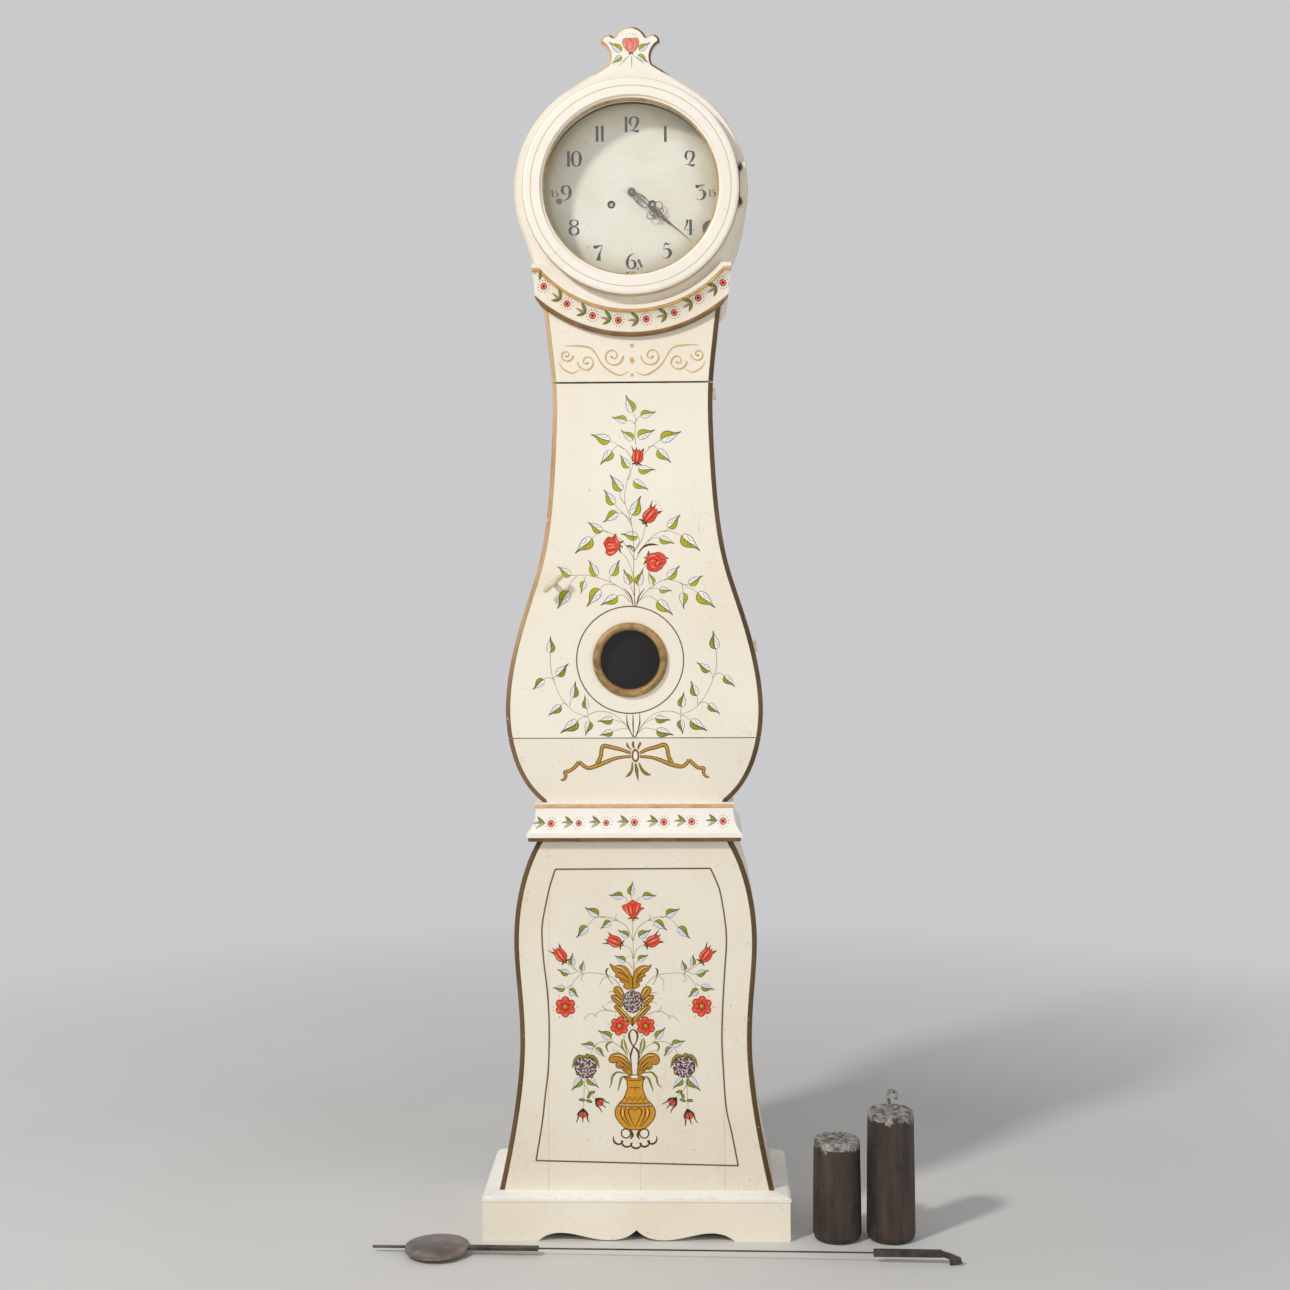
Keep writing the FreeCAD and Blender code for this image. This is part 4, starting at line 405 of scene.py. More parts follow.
def knob_paint(name):
    """A whittled knob with thin paint, worn to the wood by hands."""
    graph = Graph(name)
    cut = graph.noise(60.0, 4.0, 0.6)
    tone = graph.mix(graph.spread(cut, 0.35, 0.7), "E8DCC3", "CDBB99")
    worn_and_lit = graph.times(graph.edge(0.0035), graph.cloud(90.0, 4.0, 0.55, 0.35, 0.6))
    tone = graph.mix(worn_and_lit, tone, "8C6B45")
    return graph.finish(tone, graph.spread(cut, 0.3, 0.7, 0.5, 0.66), graph.bump(cut, 0.001, 0.5))


def dial_paint(name):
    """Cream enamel paint on sheet iron, darkened round its rim by soil and by painted shade, with rust and a
    chip.
    """
    graph = Graph(name)
    out = graph.dial_reach()
    drift = graph.times(graph.noise(22.0, 5.0, 0.6), 0.035)
    # Soil and painted shade: the cream darkens towards the rim, where the dial lies recessed behind the ring
    # door.
    rim_soil_and_shade = graph.spread(graph.sum("ADD", out, drift), 0.13, 0.18)
    cream = graph.mix(graph.cloud(11.0, 4.0, 0.5, 0.35, 0.7), "F6F4E7", "ECE7D3")
    cream = graph.mix(rim_soil_and_shade, cream, "C2B491")
    spots = graph.cloud(95.0, 2.0, 0.6, 0.7, 0.76)
    cream = graph.mix(graph.times(spots, graph.spread(out, 0.06, 0.15, 0.1, 0.7)), cream, "7A6547")
    smear = graph.noise(1.0, 5.0, 0.6, graph.stretched(18, 18, 70))
    cream = graph.mix(graph.spread(smear, 0.5, 0.8, 0.0, 0.25), cream, "CFC6AC")
    height = graph.sum("ADD", graph.times(smear, 0.4), graph.noise(30.0))
    return graph.finish(cream, graph.spread(smear, 0.3, 0.7, 0.3, 0.5), graph.bump(height, 0.0003, 0.3))


def metal(name, light, dark, rough, rough_more, stain=None, stained=0.3, scale=26.0, metallic=1.0,
          depth=0.0003, front=None):
    """A worked metal with smudges, stain or rust where asked, and its own colour ahead of the dial."""
    graph = Graph(name)
    smudge = graph.noise(scale, 6.0, 0.62)
    tone = graph.mix(graph.spread(smudge, 0.32, 0.7), light, dark)
    if stain:
        patch = graph.cloud(scale * 0.7, 7.0, 0.7, 0.5, 0.64, 0.0, stained)
        tone = graph.mix(patch, tone, stain)
    if front:
        ahead = graph.spread(graph.parts(graph.place)[1], -0.2, -0.204)
        tone = graph.mix(ahead, tone, front)
    edge = graph.times(graph.edge(0.0014), graph.cloud(40.0, 4.0, 0.55, 0.3, 0.6))
    tone = graph.mix(graph.times(edge, 0.4), tone, light)
    grain = graph.noise(scale * 6, 5.0, 0.65)
    shine = graph.spread(smudge, 0.3, 0.72, rough, rough_more)
    return graph.finish(tone, shine, graph.bump(grain, depth, 0.6), metallic)


def cast_iron(name, top):
    """A cast weight: dark brown streaked skin, and a bright hacked top that runs down in ragged tongues."""
    graph = Graph(name)
    skin = graph.noise(60.0, 7.0, 0.7)
    streak = graph.noise(1.0, 6.0, 0.65, graph.stretched(55, 55, 6))
    tone = graph.mix(graph.spread(skin, 0.35, 0.7), "2E2724", "453931")
    tone = graph.mix(graph.spread(streak, 0.42, 0.72, 0.0, 0.75), tone, "5E4D40")
    scratch = graph.noise(1.0, 4.0, 0.6, graph.stretched(160, 160, 14))
    tone = graph.mix(graph.spread(scratch, 0.68, 0.74, 0.0, 0.35), tone, "8A7A6C")
    height = graph.parts(graph.place)[2]
    ragged = graph.times(graph.cloud(38.0, 4.0, 0.7, 0.3, 0.7), 0.02)
    line = graph.sum("ADD", height, ragged)
    hacked = graph.spread(line, top - 0.0045, top - 0.0015)
    pocks = graph.noise(85.0, 5.0, 0.75)
    bright = graph.mix(graph.spread(pocks, 0.4, 0.62), "45403C", "B4AEA6")
    # Painted glints: light specks over the bright hacked top.
    glare = graph.cloud(140.0, 3.0, 0.7, 0.56, 0.66)
    bright = graph.mix(graph.times(glare, 0.55), bright, "DAD6D0")
    tone = graph.mix(hacked, tone, bright)
    edge = graph.times(graph.edge(0.003), graph.cloud(50.0, 4.0, 0.55, 0.4, 0.6))
    tone = graph.mix(graph.times(edge, 0.35), tone, "9A8E82")
    rough = graph.sum("ADD", skin, graph.times(graph.times(pocks, hacked), 3.0))
    return graph.finish(tone, graph.spread(skin, 0.3, 0.7, 0.5, 0.75), graph.bump(rough, 0.0016, 0.8), 0.25)


def bob_brass(name):
    """The lens bob's skin, scoured and dulled to a steely brown."""
    graph = Graph(name)
    scour = graph.noise(1.0, 6.0, 0.65, graph.stretched(30, 30, 180))
    tone = graph.mix(graph.spread(scour, 0.35, 0.68), "7C7068", "A79C92")
    dull = graph.cloud(22.0, 6.0, 0.65, 0.42, 0.66, 0.0, 0.8)
    tone = graph.mix(dull, tone, "6A605A")
    edge = graph.edge(0.002)
    tone = graph.mix(graph.times(edge, 0.4), tone, "A89C8A")
    shine = graph.spread(scour, 0.3, 0.7, 0.34, 0.55)
    return graph.finish(tone, shine, graph.bump(scour, 0.0003, 0.5), 0.75)


def pane(name, tint, see_through, cover):
    """Old glass: faint ripple, a little haze and dust, and a constant cover over what lies behind."""
    graph = Graph(name)
    ripple = graph.noise(7.0, 2.0, 0.5)
    haze = graph.cloud(16.0, 5.0, 0.6, 0.4, 0.8, 0.04, 0.16)
    colour = graph.mix(graph.spread(ripple, 0.3, 0.7), tint, see_through)
    graph.shader.inputs["Alpha"].default_value = cover
    graph.shader.inputs["IOR"].default_value = 1.45
    return graph.finish(colour, haze, graph.bump(ripple, 0.0006, 0.12))


def coat(name, main, second, ground, worn):
    """Brushed decoration paint, thin in places so that the ground shows."""
    graph = Graph(name)
    brush = graph.noise(1.0, 4.0, 0.6, graph.stretched(300, 300, 300))
    tone = graph.mix(graph.spread(brush, 0.32, 0.7), main, second)
    thin = graph.cloud(230.0, 4.0, 0.7, 0.6, 0.78, 0.0, worn)
    tone = graph.mix(thin, tone, ground)
    graph.shader.inputs["Specular IOR Level"].default_value = 0.12
    return graph.finish(tone, graph.spread(brush, 0.3, 0.7, 0.5, 0.66), graph.bump(brush, 0.0002, 0.5))


CASE_LIGHT = "FBF4E5"
CASE_DARK = "F1E7D2"
BASE_LIGHT = "F3EBD9"
BASE_DARK = "E9DEC8"

CLOCK_BRASS = ("C9A35B", "9C7838")
CLOCK_BRASS_STAIN = "6E5630"

finishes = {
    "painted_case": painted("case_paint", CASE_LIGHT, CASE_DARK),
    "painted_base": painted("base_paint", BASE_LIGHT, BASE_DARK),
    "bare_pine": bare_wood("bare_pine_wood", "8A6A48", "5F4429"),
    "gilt_wood": gilt_bezel("gilt_bezel_paint"),
    "knob_wood": knob_paint("knob_rubbed_paint"),
    "glass": pane("old_glass", "EEF0EC", "DDE2DC", 0.07),
    "dial_paint": dial_paint("dial_enamel"),
    "dark_brass": metal("darkened_brass", "8C7A5C", "4A4034", 0.34, 0.55, "2E2822", 0.6, 60.0),
    "brass": metal("clock_brass", *CLOCK_BRASS, 0.26, 0.46, CLOCK_BRASS_STAIN, 0.4),
    "bell_metal": metal("bell_bronze", "B99A66", "8C6E42", 0.24, 0.42, "5F4B30", 0.35),
    "bob_brass": bob_brass("scoured_bob"),
    "iron": metal("forged_iron", "6A655F", "3E3A36", 0.42, 0.62, "5A3F2C", 0.5, 40.0, 0.8, 0.0006),
    "rod_iron": metal("rod_steel", "665C53", "3A332E", 0.36, 0.58, "4E3C2E", 0.6, 40.0, 0.7, 0.0005),
    "cast_weight": cast_iron("cast_weight_iron", SHORT_WEIGHT_TOP),
}
# Nodes whose look differs from that of their slot.
special = {}
for names, look in (
        ("lower_panel", painted("panel_paint_edged", "F4ECDB", "EBE1CD", edging)),
        ("frieze_panel trunk_door", painted("case_paint_edged", CASE_LIGHT, CASE_DARK, edging)),
        ("base_front", painted("base_paint_edged", BASE_LIGHT, BASE_DARK, edging)),
        ("hood_front", painted("hood_paint_edged", "FDF9F0", "F7F1E3", hood_edging)),
        ("collar_front", painted("collar_paint_lined", CASE_LIGHT, CASE_DARK, collar_lines)),
        ("belt_front belt_left belt_right", painted("belt_paint_lined", CASE_LIGHT, CASE_DARK, belt_lines)),
        # A nearly opaque dark pane as painted shade for the dark inside of the trunk behind the window.
        ("window_glass", pane("shade_dark_glass", "2B2826", "1E1C1B", 0.9)),
        ("hood_door_ring", painted("ring_paint_lined", "FDF8EE", "F5EDDD", ring_lines)),
        ("weight_tall", cast_iron("tall_weight_iron", TALL_WEIGHT_TOP)),
        ("door_hinge_leaves case_hinge_leaves", finishes["painted_case"]),
        ("going_barrel strike_barrel",
         metal("winding_square_steel", *CLOCK_BRASS, 0.26, 0.46, CLOCK_BRASS_STAIN, 0.4, front="D2D0CC")),
        ("centre_wheel",
         metal("hand_boss_brass", *CLOCK_BRASS, 0.3, 0.5, CLOCK_BRASS_STAIN, 0.4, front="A08A7E")),
        ("plinth_moulding_front plinth_moulding_left plinth_moulding_right",
         painted("moulding_paint", "FEFBF4", "F7F2E8")),
        ("plinth_front plinth_side_left plinth_side_right", painted("plinth_paint", "FBF3E0", "F2E7D0"))):
    for name in names.split():
        special[name] = look

for node_name, node_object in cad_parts.items():
    for holder in node_object.material_slots:
        slot_name = holder.material.name.split(".")[0]
        holder.material = special.get(node_name, finishes[slot_name])


def away(angle, reach=1.0):
    """A step of some reach in a direction across the face."""
    return Vector((math.cos(angle), math.sin(angle))) * reach


def smooth(points, steps=6):
    """A smooth run through points, with more points between."""
    spots = [Vector(point) for point in points]
    found = []
    for i in range(len(spots) - 1):
        before = spots[max(i - 1, 0)]
        after = spots[min(i + 2, len(spots) - 1)]
        for step in range(steps):
            t = step / steps
            first = spots[i] * 2
            second = (spots[i + 1] - before) * t
            third = (before * 2 - spots[i] * 5 + spots[i + 1] * 4 - after) * t * t
            fourth = (spots[i] * 3 - before - spots[i + 1] * 3 + after) * t ** 3
            found.append((first + second + third + fourth) / 2)
    found.append(spots[-1])
    return found


class Painter:
    """Flat painted shapes for one node, laid on its front and kept in layers."""

    def __init__(self, name, body, node, coats, scale=TRUNK_SCALE, hollow=False):
        self.name = name
        self.body = body
        self.coats = coats
        self.scale = scale
        self.hollow = hollow
        self.names = list(coats)
        self.corners = []
        self.faces = []
        self.inks = []
        self.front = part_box(node)[0][1]
        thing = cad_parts[node]
        corners = [thing.matrix_world @ vertex.co for vertex in thing.data.vertices]
        self.tree = BVHTree.FromPolygons(corners, [tuple(face.vertices) for face in thing.data.polygons])

    def spot(self, u, v):
        """A pixel of the photograph as x and z on this face, whose scale is metres to a pixel."""
        share = (v - HEAD_ROW) / (FOOT_ROW - HEAD_ROW)
        middle = HEAD_MIDDLE + (FOOT_MIDDLE - HEAD_MIDDLE) * share
        return Vector(((u - middle) * self.scale, EYE_LEVEL + (HORIZON - v) * self.scale))

    def run(self, pixels):
        """Several pixels as places on the face."""
        return [self.spot(u, v) for u, v in pixels]

    def lay(self, point, layer):
        """A point on the node's front, a hair proud of it for each layer."""
        start = Vector((point[0], self.front - LAY_FROM, point[1]))
        found = self.tree.ray_cast(start, Vector((0, 1, 0)), LAY_REACH)
        y = found[0].y if found[0] else self.front
        return Vector((point[0], y - SKIN * layer, point[1]))

    def fill(self, ink, points, layer=1):
        """A closed shape; on a hollow face it is laid in rings so that it follows the hollow."""
        points = [Vector((point[0], point[1])) for point in points]
        centre = sum(points, Vector((0, 0))) / len(points)
        reach = max((point - centre).length for point in points)
        rings = max(1, math.ceil(reach / HOLLOW_STEP)) if self.hollow else 1
        start = len(self.corners)
        count = len(points)
        for ring in range(rings):
            share = 1 - ring / rings
            for point in points:
                self.corners.append(self.lay(centre + (point - centre) * share, layer))
        for ring in range(rings - 1):
            here = start + ring * count
            for i in range(count):
                j = (i + 1) % count
                self.faces.append((here + i, here + j, here + count + j, here + count + i))
        here = start + (rings - 1) * count
        self.faces.append(tuple(range(here, here + count)))
        self.inks += [self.names.index(ink)] * (len(self.faces) - len(self.inks))

    def stroke(self, ink, points, widths, layer=2, steps=5):
        """A brush stroke along a smooth run, its width swelling from one number to the next."""
        run = smooth(points, steps)
        count = len(run)
        sides = ([], [])
        for i, here in enumerate(run):
            ahead = run[min(i + 1, count - 1)] - run[max(i - 1, 0)]
            if ahead.length == 0:
                ahead = Vector((1, 0))
            across = Vector((-ahead.y, ahead.x)).normalized()
            place = i / (count - 1) * (len(widths) - 1)
            low = min(int(place), len(widths) - 2)
            half = (widths[low] + (widths[low + 1] - widths[low]) * (place - low)) / 2
            sides[0].append(here + across * half)
            sides[1].append(here - across * half)
        for i in range(count - 1):
            self.fill(ink, (sides[0][i], sides[0][i + 1], sides[1][i + 1], sides[1][i]), layer)

    def strokes(self, ink, runs, widths, layer=2, steps=4):
        """Strokes of one kind along several runs of pixels."""
        for pixels in runs:
            self.stroke(ink, self.run(pixels), widths, layer, steps)

    def layered(self, runs, layer, steps, *coats):
        """Strokes along runs of pixels, each in several paints one over the other."""
        for pixels in runs:
            points = self.run(pixels)
            for i, (ink, *widths) in enumerate(coats):
                self.stroke(ink, points, widths, layer + i, steps)

    def outline(self, ink, points, width, layer=3, closed=True):
        """A thin even line round a shape."""
        run = list(points) + [points[0]] if closed else list(points)
        self.stroke(ink, run, (width, width), layer, 1)

    def disc(self, ink, centre, radius, layer=2, count=14, squash=1.0, turn=0.0):
        """A round or oval dot."""
        points = []
        for i in range(count):
            angle = 2 * math.pi * i / count
            along = away(turn, radius * math.cos(angle))
            across = away(turn + math.pi / 2, radius * squash * math.sin(angle))
            points.append(Vector(centre) + along + across)
        self.fill(ink, points, layer)

    def stack(self, centre, layer, *discs):
        """Discs one over the other, each with its ink, its radius and more, as disc() takes them."""
        for i, (ink, radius, *more) in enumerate(discs):
            self.disc(ink, centre, radius, layer + i, *more)

    def ring(self, ink, centre, radius, width, layer=2, count=72):
        """A thin round line."""
        centre = Vector(centre)
        near = radius - width / 2
        far = radius + width / 2
        for i in range(count):
            first = away(2 * math.pi * i / count)
            last = away(2 * math.pi * (i + 1) / count)
            sides = ((first, near), (first, far), (last, far), (last, near))
            self.fill(ink, [centre + way * reach for way, reach in sides], layer)

    def done(self):
        """The finished skin, riding on its body."""
        mesh = bpy.data.meshes.new(self.name)
        mesh.from_pydata(self.corners, [], self.faces)
        for ink in self.names:
            mesh.materials.append(self.coats[ink])
        for face, ink in zip(mesh.polygons, self.inks):
            face.material_index = ink
        mesh.update()
        flip = [face.index for face in mesh.polygons if face.normal.y > 0]
        thing = bpy.data.objects.new(self.name, mesh)
        bpy.context.scene.collection.objects.link(thing)
        for index in flip:
            mesh.polygons[index].flip()
        mesh.update()
        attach(thing, self.body)


# How far along a leaf each place of its edge is, and how wide the leaf is there.
LEAF_SHARES = (
    (0, 0), (0.04, 0.52), (0.13, 0.86), (0.27, 1.0), (0.43, 0.9), (0.58, 0.6), (0.71, 0.3), (0.84, 0.11),
    (1, 0.03),
)
HATCH_SHARES = ((0.16, 0.62), (0.36, 0.25), (0.5, 0.5))
LEAF_LINE_SHARE = 0.029
LEAF_LINE_LEAST = 0.0007
LEAF_HOOK_SHARE = 0.075


def leaf(brush, tip, base, side, green="leaf", pale="pale", full=0.255, dark="vein"):
    """A two-toned leaf with a long thin tip: one half green, the other pale, each in its own thin line."""
    axis = tip - base
    across = Vector((-axis.y, axis.x))
    rib = []
    halves = ([], [])
    for t, width in LEAF_SHARES:
        bend = side * LEAF_HOOK_SHARE * math.sin(math.pi * t) * (1 - 1.6 * t)
        here = base + axis * t + across * bend
        rib.append(here)
        halves[0].append(here + across * full * width)
        halves[1].append(here - across * full * width)
    ribs = smooth(rib, 3)
    edges = [smooth(half, 3) for half in halves]
    inks = ((green, dark), (pale, "hatch"))[::side]
    for edge, (ink, line) in zip(edges, inks):
        brush.fill(ink, edge + ribs[-2:0:-1], 1)
    fine = max(axis.length * LEAF_LINE_SHARE, LEAF_LINE_LEAST)
    for edge, (ink, line) in zip(edges, inks):
        brush.stroke(line, edge, (fine * 0.7, fine * 1.3, fine), 3, 1)
    brush.stroke(dark, ribs, (fine * 1.0, fine * 0.7, fine * 1.5, fine * 0.8), 3, 1)
    half = across * side * full
    for t in (0.2, 0.36, 0.52):
        root = base + axis * (t - 0.03) + half * 0.15
        brush.stroke(dark, (root, base + axis * (t + 0.09) + half * 0.6), (fine * 1.1, fine * 0.5), 2, 1)
    hatch = [base + axis * t - half * out for t, out in HATCH_SHARES]
    brush.stroke("hatch", hatch, (fine * 0.9, fine * 0.6), 2, 3)


def stalk(foot, head, width):
    """Places by their share of the way from foot to head and, across it, of the width."""
    foot = Vector(foot)
    axis = Vector(head) - foot
    across = Vector((-axis.y, axis.x)).normalized()
    return lambda t, out: foot + axis * t + across * width * out


# The edge of a half-open flower, by stalk(), and its folds, its lights, its pointed tips and its sepals.
CUP_SHARES = (
    (0, 0), (0.05, 0.22), (0.2, 0.43), (0.42, 0.5), (0.64, 0.45), (0.82, 0.43), (1.08, 0.6), (0.9, 0.3),
    (1.12, 0.2), (0.92, 0.06), (1.06, -0.1), (0.9, -0.18), (1.1, -0.42), (0.86, -0.38), (0.64, -0.45),
    (0.42, -0.5), (0.2, -0.43), (0.05, -0.22),
)
FOLD_SHARES = (
    ("crimson", ((0.08, 0.1), (0.45, 0.22), (0.86, 0.2)), 1.8),
    ("crimson", ((0.08, -0.1), (0.45, -0.2), (0.86, -0.18)), 1.6),
    ("blush", ((0.2, 0.34), (0.5, 0.36), (0.78, 0.3)), 2.0),
    ("blush", ((0.2, 0.0), (0.5, 0.02), (0.86, 0.04)), 2.4),
)
TIP_SHARES = (((0.86, 0.44), (1.24, 0.66)), ((0.94, 0.2), (1.22, 0.22)), ((0.9, -0.4), (1.2, -0.5)))
SEPAL_SHARES = (
    ((-0.02, 0.044), (-0.036, 0.22), (-0.12, 0.44)), ((-0.02, -0.044), (-0.036, -0.22), (-0.12, -0.44)),
)
DOT_SHARES = ((1.32, 0.42), (1.34, 0.2), (1.3, -0.04), (1.24, -0.3))


def bud(brush, foot, head, width, dots=False):
    """A half-open flower on its stem: petals with dark pointed tips, two short sepals and a round hip."""
    at = stalk(foot, head, width)
    cup = [at(t, out) for t, out in CUP_SHARES]
    fine = max(width * 0.05, 0.0005)
    brush.fill("red", cup, 2)
    brush.outline("crimson", cup, fine * 1.2, 4)
    for ink, run, swell in FOLD_SHARES:
        brush.stroke(ink, [at(t, out) for t, out in run], (fine, fine * swell, fine), 3)
    for run in TIP_SHARES:
        brush.stroke("line", [at(t, out) for t, out in run], (fine * 2.0, fine * 0.6), 5, 2)
    for run in SEPAL_SHARES:
        brush.stroke("sepal", [at(t, out) for t, out in run], (fine * 2.4, fine * 2.6, fine * 1.4), 4)
    brush.disc("sepal", at(-0.07, 0), width * 0.15, 5, 9)
    brush.disc("hip", at(-0.09, 0.02), width * 0.09, 6, 8)
    if dots:
        for t, out in DOT_SHARES:
            brush.disc("dot", at(t, out), width * 0.035, 3, 6)


# The dark hood and the red bud in it: ink, corners, middle, reach along and across, and layer.
HOOD_SHARES = (("sepal", 18, 0.55, 0.44, 0.42, 2), ("red", 14, 0.62, 0.34, 0.33, 3))


def hanging_bud(brush, foot, head, width):
    """A red bud that hangs under a dark green hood with three long sepals."""
    at = stalk(foot, head, width)
    for ink, count, middle, tall, wide, layer in HOOD_SHARES:
        round_steps = [away(2 * math.pi * i / count) for i in range(count)]
        brush.fill(ink, [at(middle + tall * step.y, wide * step.x) for step in round_steps], layer)
    fine = width * 0.07
    brush.stroke("crimson", (at(0.4, 0), at(0.95, 0)), (fine, fine), 4, 2)
    for out in (-0.46, 0.0, 0.46):
        brush.stroke("sepal", (at(0.06, out * 0.2), at(0.5, out), at(1.0, out * 0.95), at(1.5, out * 1.35)),
                     (fine * 2.4, fine * 1.6 if out else fine * 0.4, fine * 1.6, fine * 0.7), 5, 3)
    brush.disc("sepal", at(0.02, 0), width * 0.13, 5, 8)


def drawn_flower(brush, flower, inks=("red", "crimson", "blush"), fine=0.0009):
    """A rose or tulip whose petals' edge, folds, lights and sepals are given in pixels."""
    edge, folds, lights, tips = flower
    shape = smooth(brush.run(edge + edge[:1]), 3)[:-1]
    brush.fill(inks[0], shape, 2)
    brush.outline(inks[1], shape, fine, 4)
    brush.strokes(inks[1], folds, (fine * 0.8, fine * 1.7, fine * 0.9), 3)
    brush.strokes(inks[2], lights, (0.0007, 0.0026, 0.0008), 3)
    brush.strokes("sepal", tips, (0.0022, 0.0024, 0.0009), 5, 3)


def small_flower(brush, centre, radius, dots, dot_reach, ink="red", dot_ink="dot"):
    """A round flower with a dark eye, in a ring of dots."""
    brush.stack(centre, 2, ("crimson", radius * 1.05, 18), (ink, radius * 0.9, 18))
    brush.ring("blush", centre, radius * 0.62, radius * 0.2, 4, 20)
    brush.stack(centre, 5, ("crimson", radius * 0.4, 10), ("dot", radius * 0.24, 8))
    for i in range(dots):
        here = centre + away(2 * math.pi * (i + 0.3) / dots, dot_reach)
        brush.disc(dot_ink, here, radius * 0.16, 2, 7)


def small_leaf(brush, root, tip, width, ink, rim, bend):
    """A small pointed leaf with a dark rim and a middle line."""
    axis = tip - root
    across = Vector((-axis.y, axis.x))

    def rib(t):
        return root + axis * t + across * bend * math.sin(math.pi * t)

    for tone, thick, first, last, layer in ((rim, 0.5, 0.0, 1.0, 2), (ink, 0.34, 0.06, 0.92, 3)):
        sides = ([], [])
        for step in range(8):
            swell = math.sin(math.pi * (step / 7) ** 0.85) * width * thick / axis.length
            here = rib(first + (last - first) * step / 7)
            sides[0].append(here + across * swell)
            sides[1].append(here - across * swell)
        brush.fill(tone, sides[0] + sides[1][-2:0:-1], layer)
    brush.stroke(rim, [rib(t) for t in (0.0, 0.3, 0.6, 0.85)], (0.0007, 0.0005, 0.0002), 4, 2)


def blossom(brush, centre, radius, start):
    """A six-petalled open flower with a golden heart and short rays between its petals."""
    fine = radius * 0.05
    for i in range(6):
        angle = start + 2 * math.pi * i / 6
        out = away(angle, radius)
        here = centre + out * 0.62
        brush.stack(here, 2, ("crimson", radius * 0.385, 16), ("red", radius * 0.315, 16))
        brush.stroke("blush", (here + out * 0.04, here + out * 0.26), (fine, fine * 2.2), 4, 1)
        brush.stroke("crimson", (centre + out * 0.24, here), (fine * 2.6, fine * 0.6), 5, 1)
        ray = away(angle + math.pi / 6, radius)
        brush.stroke("stem", (centre + ray * 1.02, centre + ray * 1.3), (fine, fine * 0.5), 2, 1)
    brush.stack(centre, 3, ("red", radius * 0.36, 14), ("crimson", radius * 0.27, 12),
                ("gold", radius * 0.21, 12))
    brush.disc("gold_light", centre + Vector((-0.05, 0.06)) * radius, radius * 0.1, 6, 8)
    brush.disc("gold_dark", centre, radius * 0.05, 7, 6)


def berries(brush, centre, radius, count, seed, squash=1.0):
    """A cluster of red-brown berries in dark gaps, with white squiggles of light over them."""
    dice = random.Random(seed)

    def place(i, full, turn):
        step = away(i * GOLDEN_TURN + turn, radius * math.sqrt((i + 0.5) / count) * full)
        return centre + Vector((step.x, step.y * squash))

    brush.disc("berry_dark", centre, radius * 0.98, 2, 26, squash)
    for i in range(count):
        here = place(i, 0.94, 0)
        size = radius * 0.19 * dice.uniform(0.8, 1.15)
        turn = dice.uniform(0, 3)
        brush.disc("line", here, size, 3, 9, 0.8, turn)
        ink = dice.choice(("berry", "berry_red", "berry_red", "berry"))
        brush.disc(ink, here, size * 0.72, 4, 9, 0.8, turn)
    for i in range(count):
        here = place(i, 0.92, 0.35)
        turn = dice.uniform(0, 6.28)
        arc = [here + away(turn + k * 0.85, radius * 0.13) for k in range(4)]
        brush.stroke("berry_pale", arc, (radius * 0.04, radius * 0.085, radius * 0.04), 5, 2)


def plume(brush, edge, veins, lights, fine=0.0011):
    """A golden acanthus leaf whose edge, veins and lights are given in pixels."""
    shape = smooth(brush.run(edge + edge[:1]), 3)[:-1]
    brush.fill("gold", shape, 3)
    brush.outline("gold_dark", shape, fine, 6)
    brush.strokes("gold_dark", veins, (fine * 0.7, fine * 1.5, fine * 0.5), 5)
    brush.strokes("gold_light", lights, (fine * 0.6, fine * 2.2, fine * 0.5), 4)


def moved(run, across, down):
    """A run of pixels set off by some pixels."""
    return tuple((u + across, v + down) for u, v in run)


def mirrored(run, axis):
    """A run of pixels turned over about an upright line."""
    return tuple((2 * axis - u, v) for u, v in run)


def scroll(brush, ink, centre, radius, turns, start, hand, width, layer):
    """A spiral that winds in toward its eye."""
    count = int(14 * turns)
    points = []
    for i in range(count + 1):
        t = i / count
        points.append(Vector(centre) + away(start + hand * 2 * math.pi * turns * t, radius * (1 - 0.86 * t)))
    brush.stroke(ink, points, (width, width * 0.8, width * 0.5), layer, 2)
    brush.disc(ink, points[-1], width * 0.9, layer, 8)


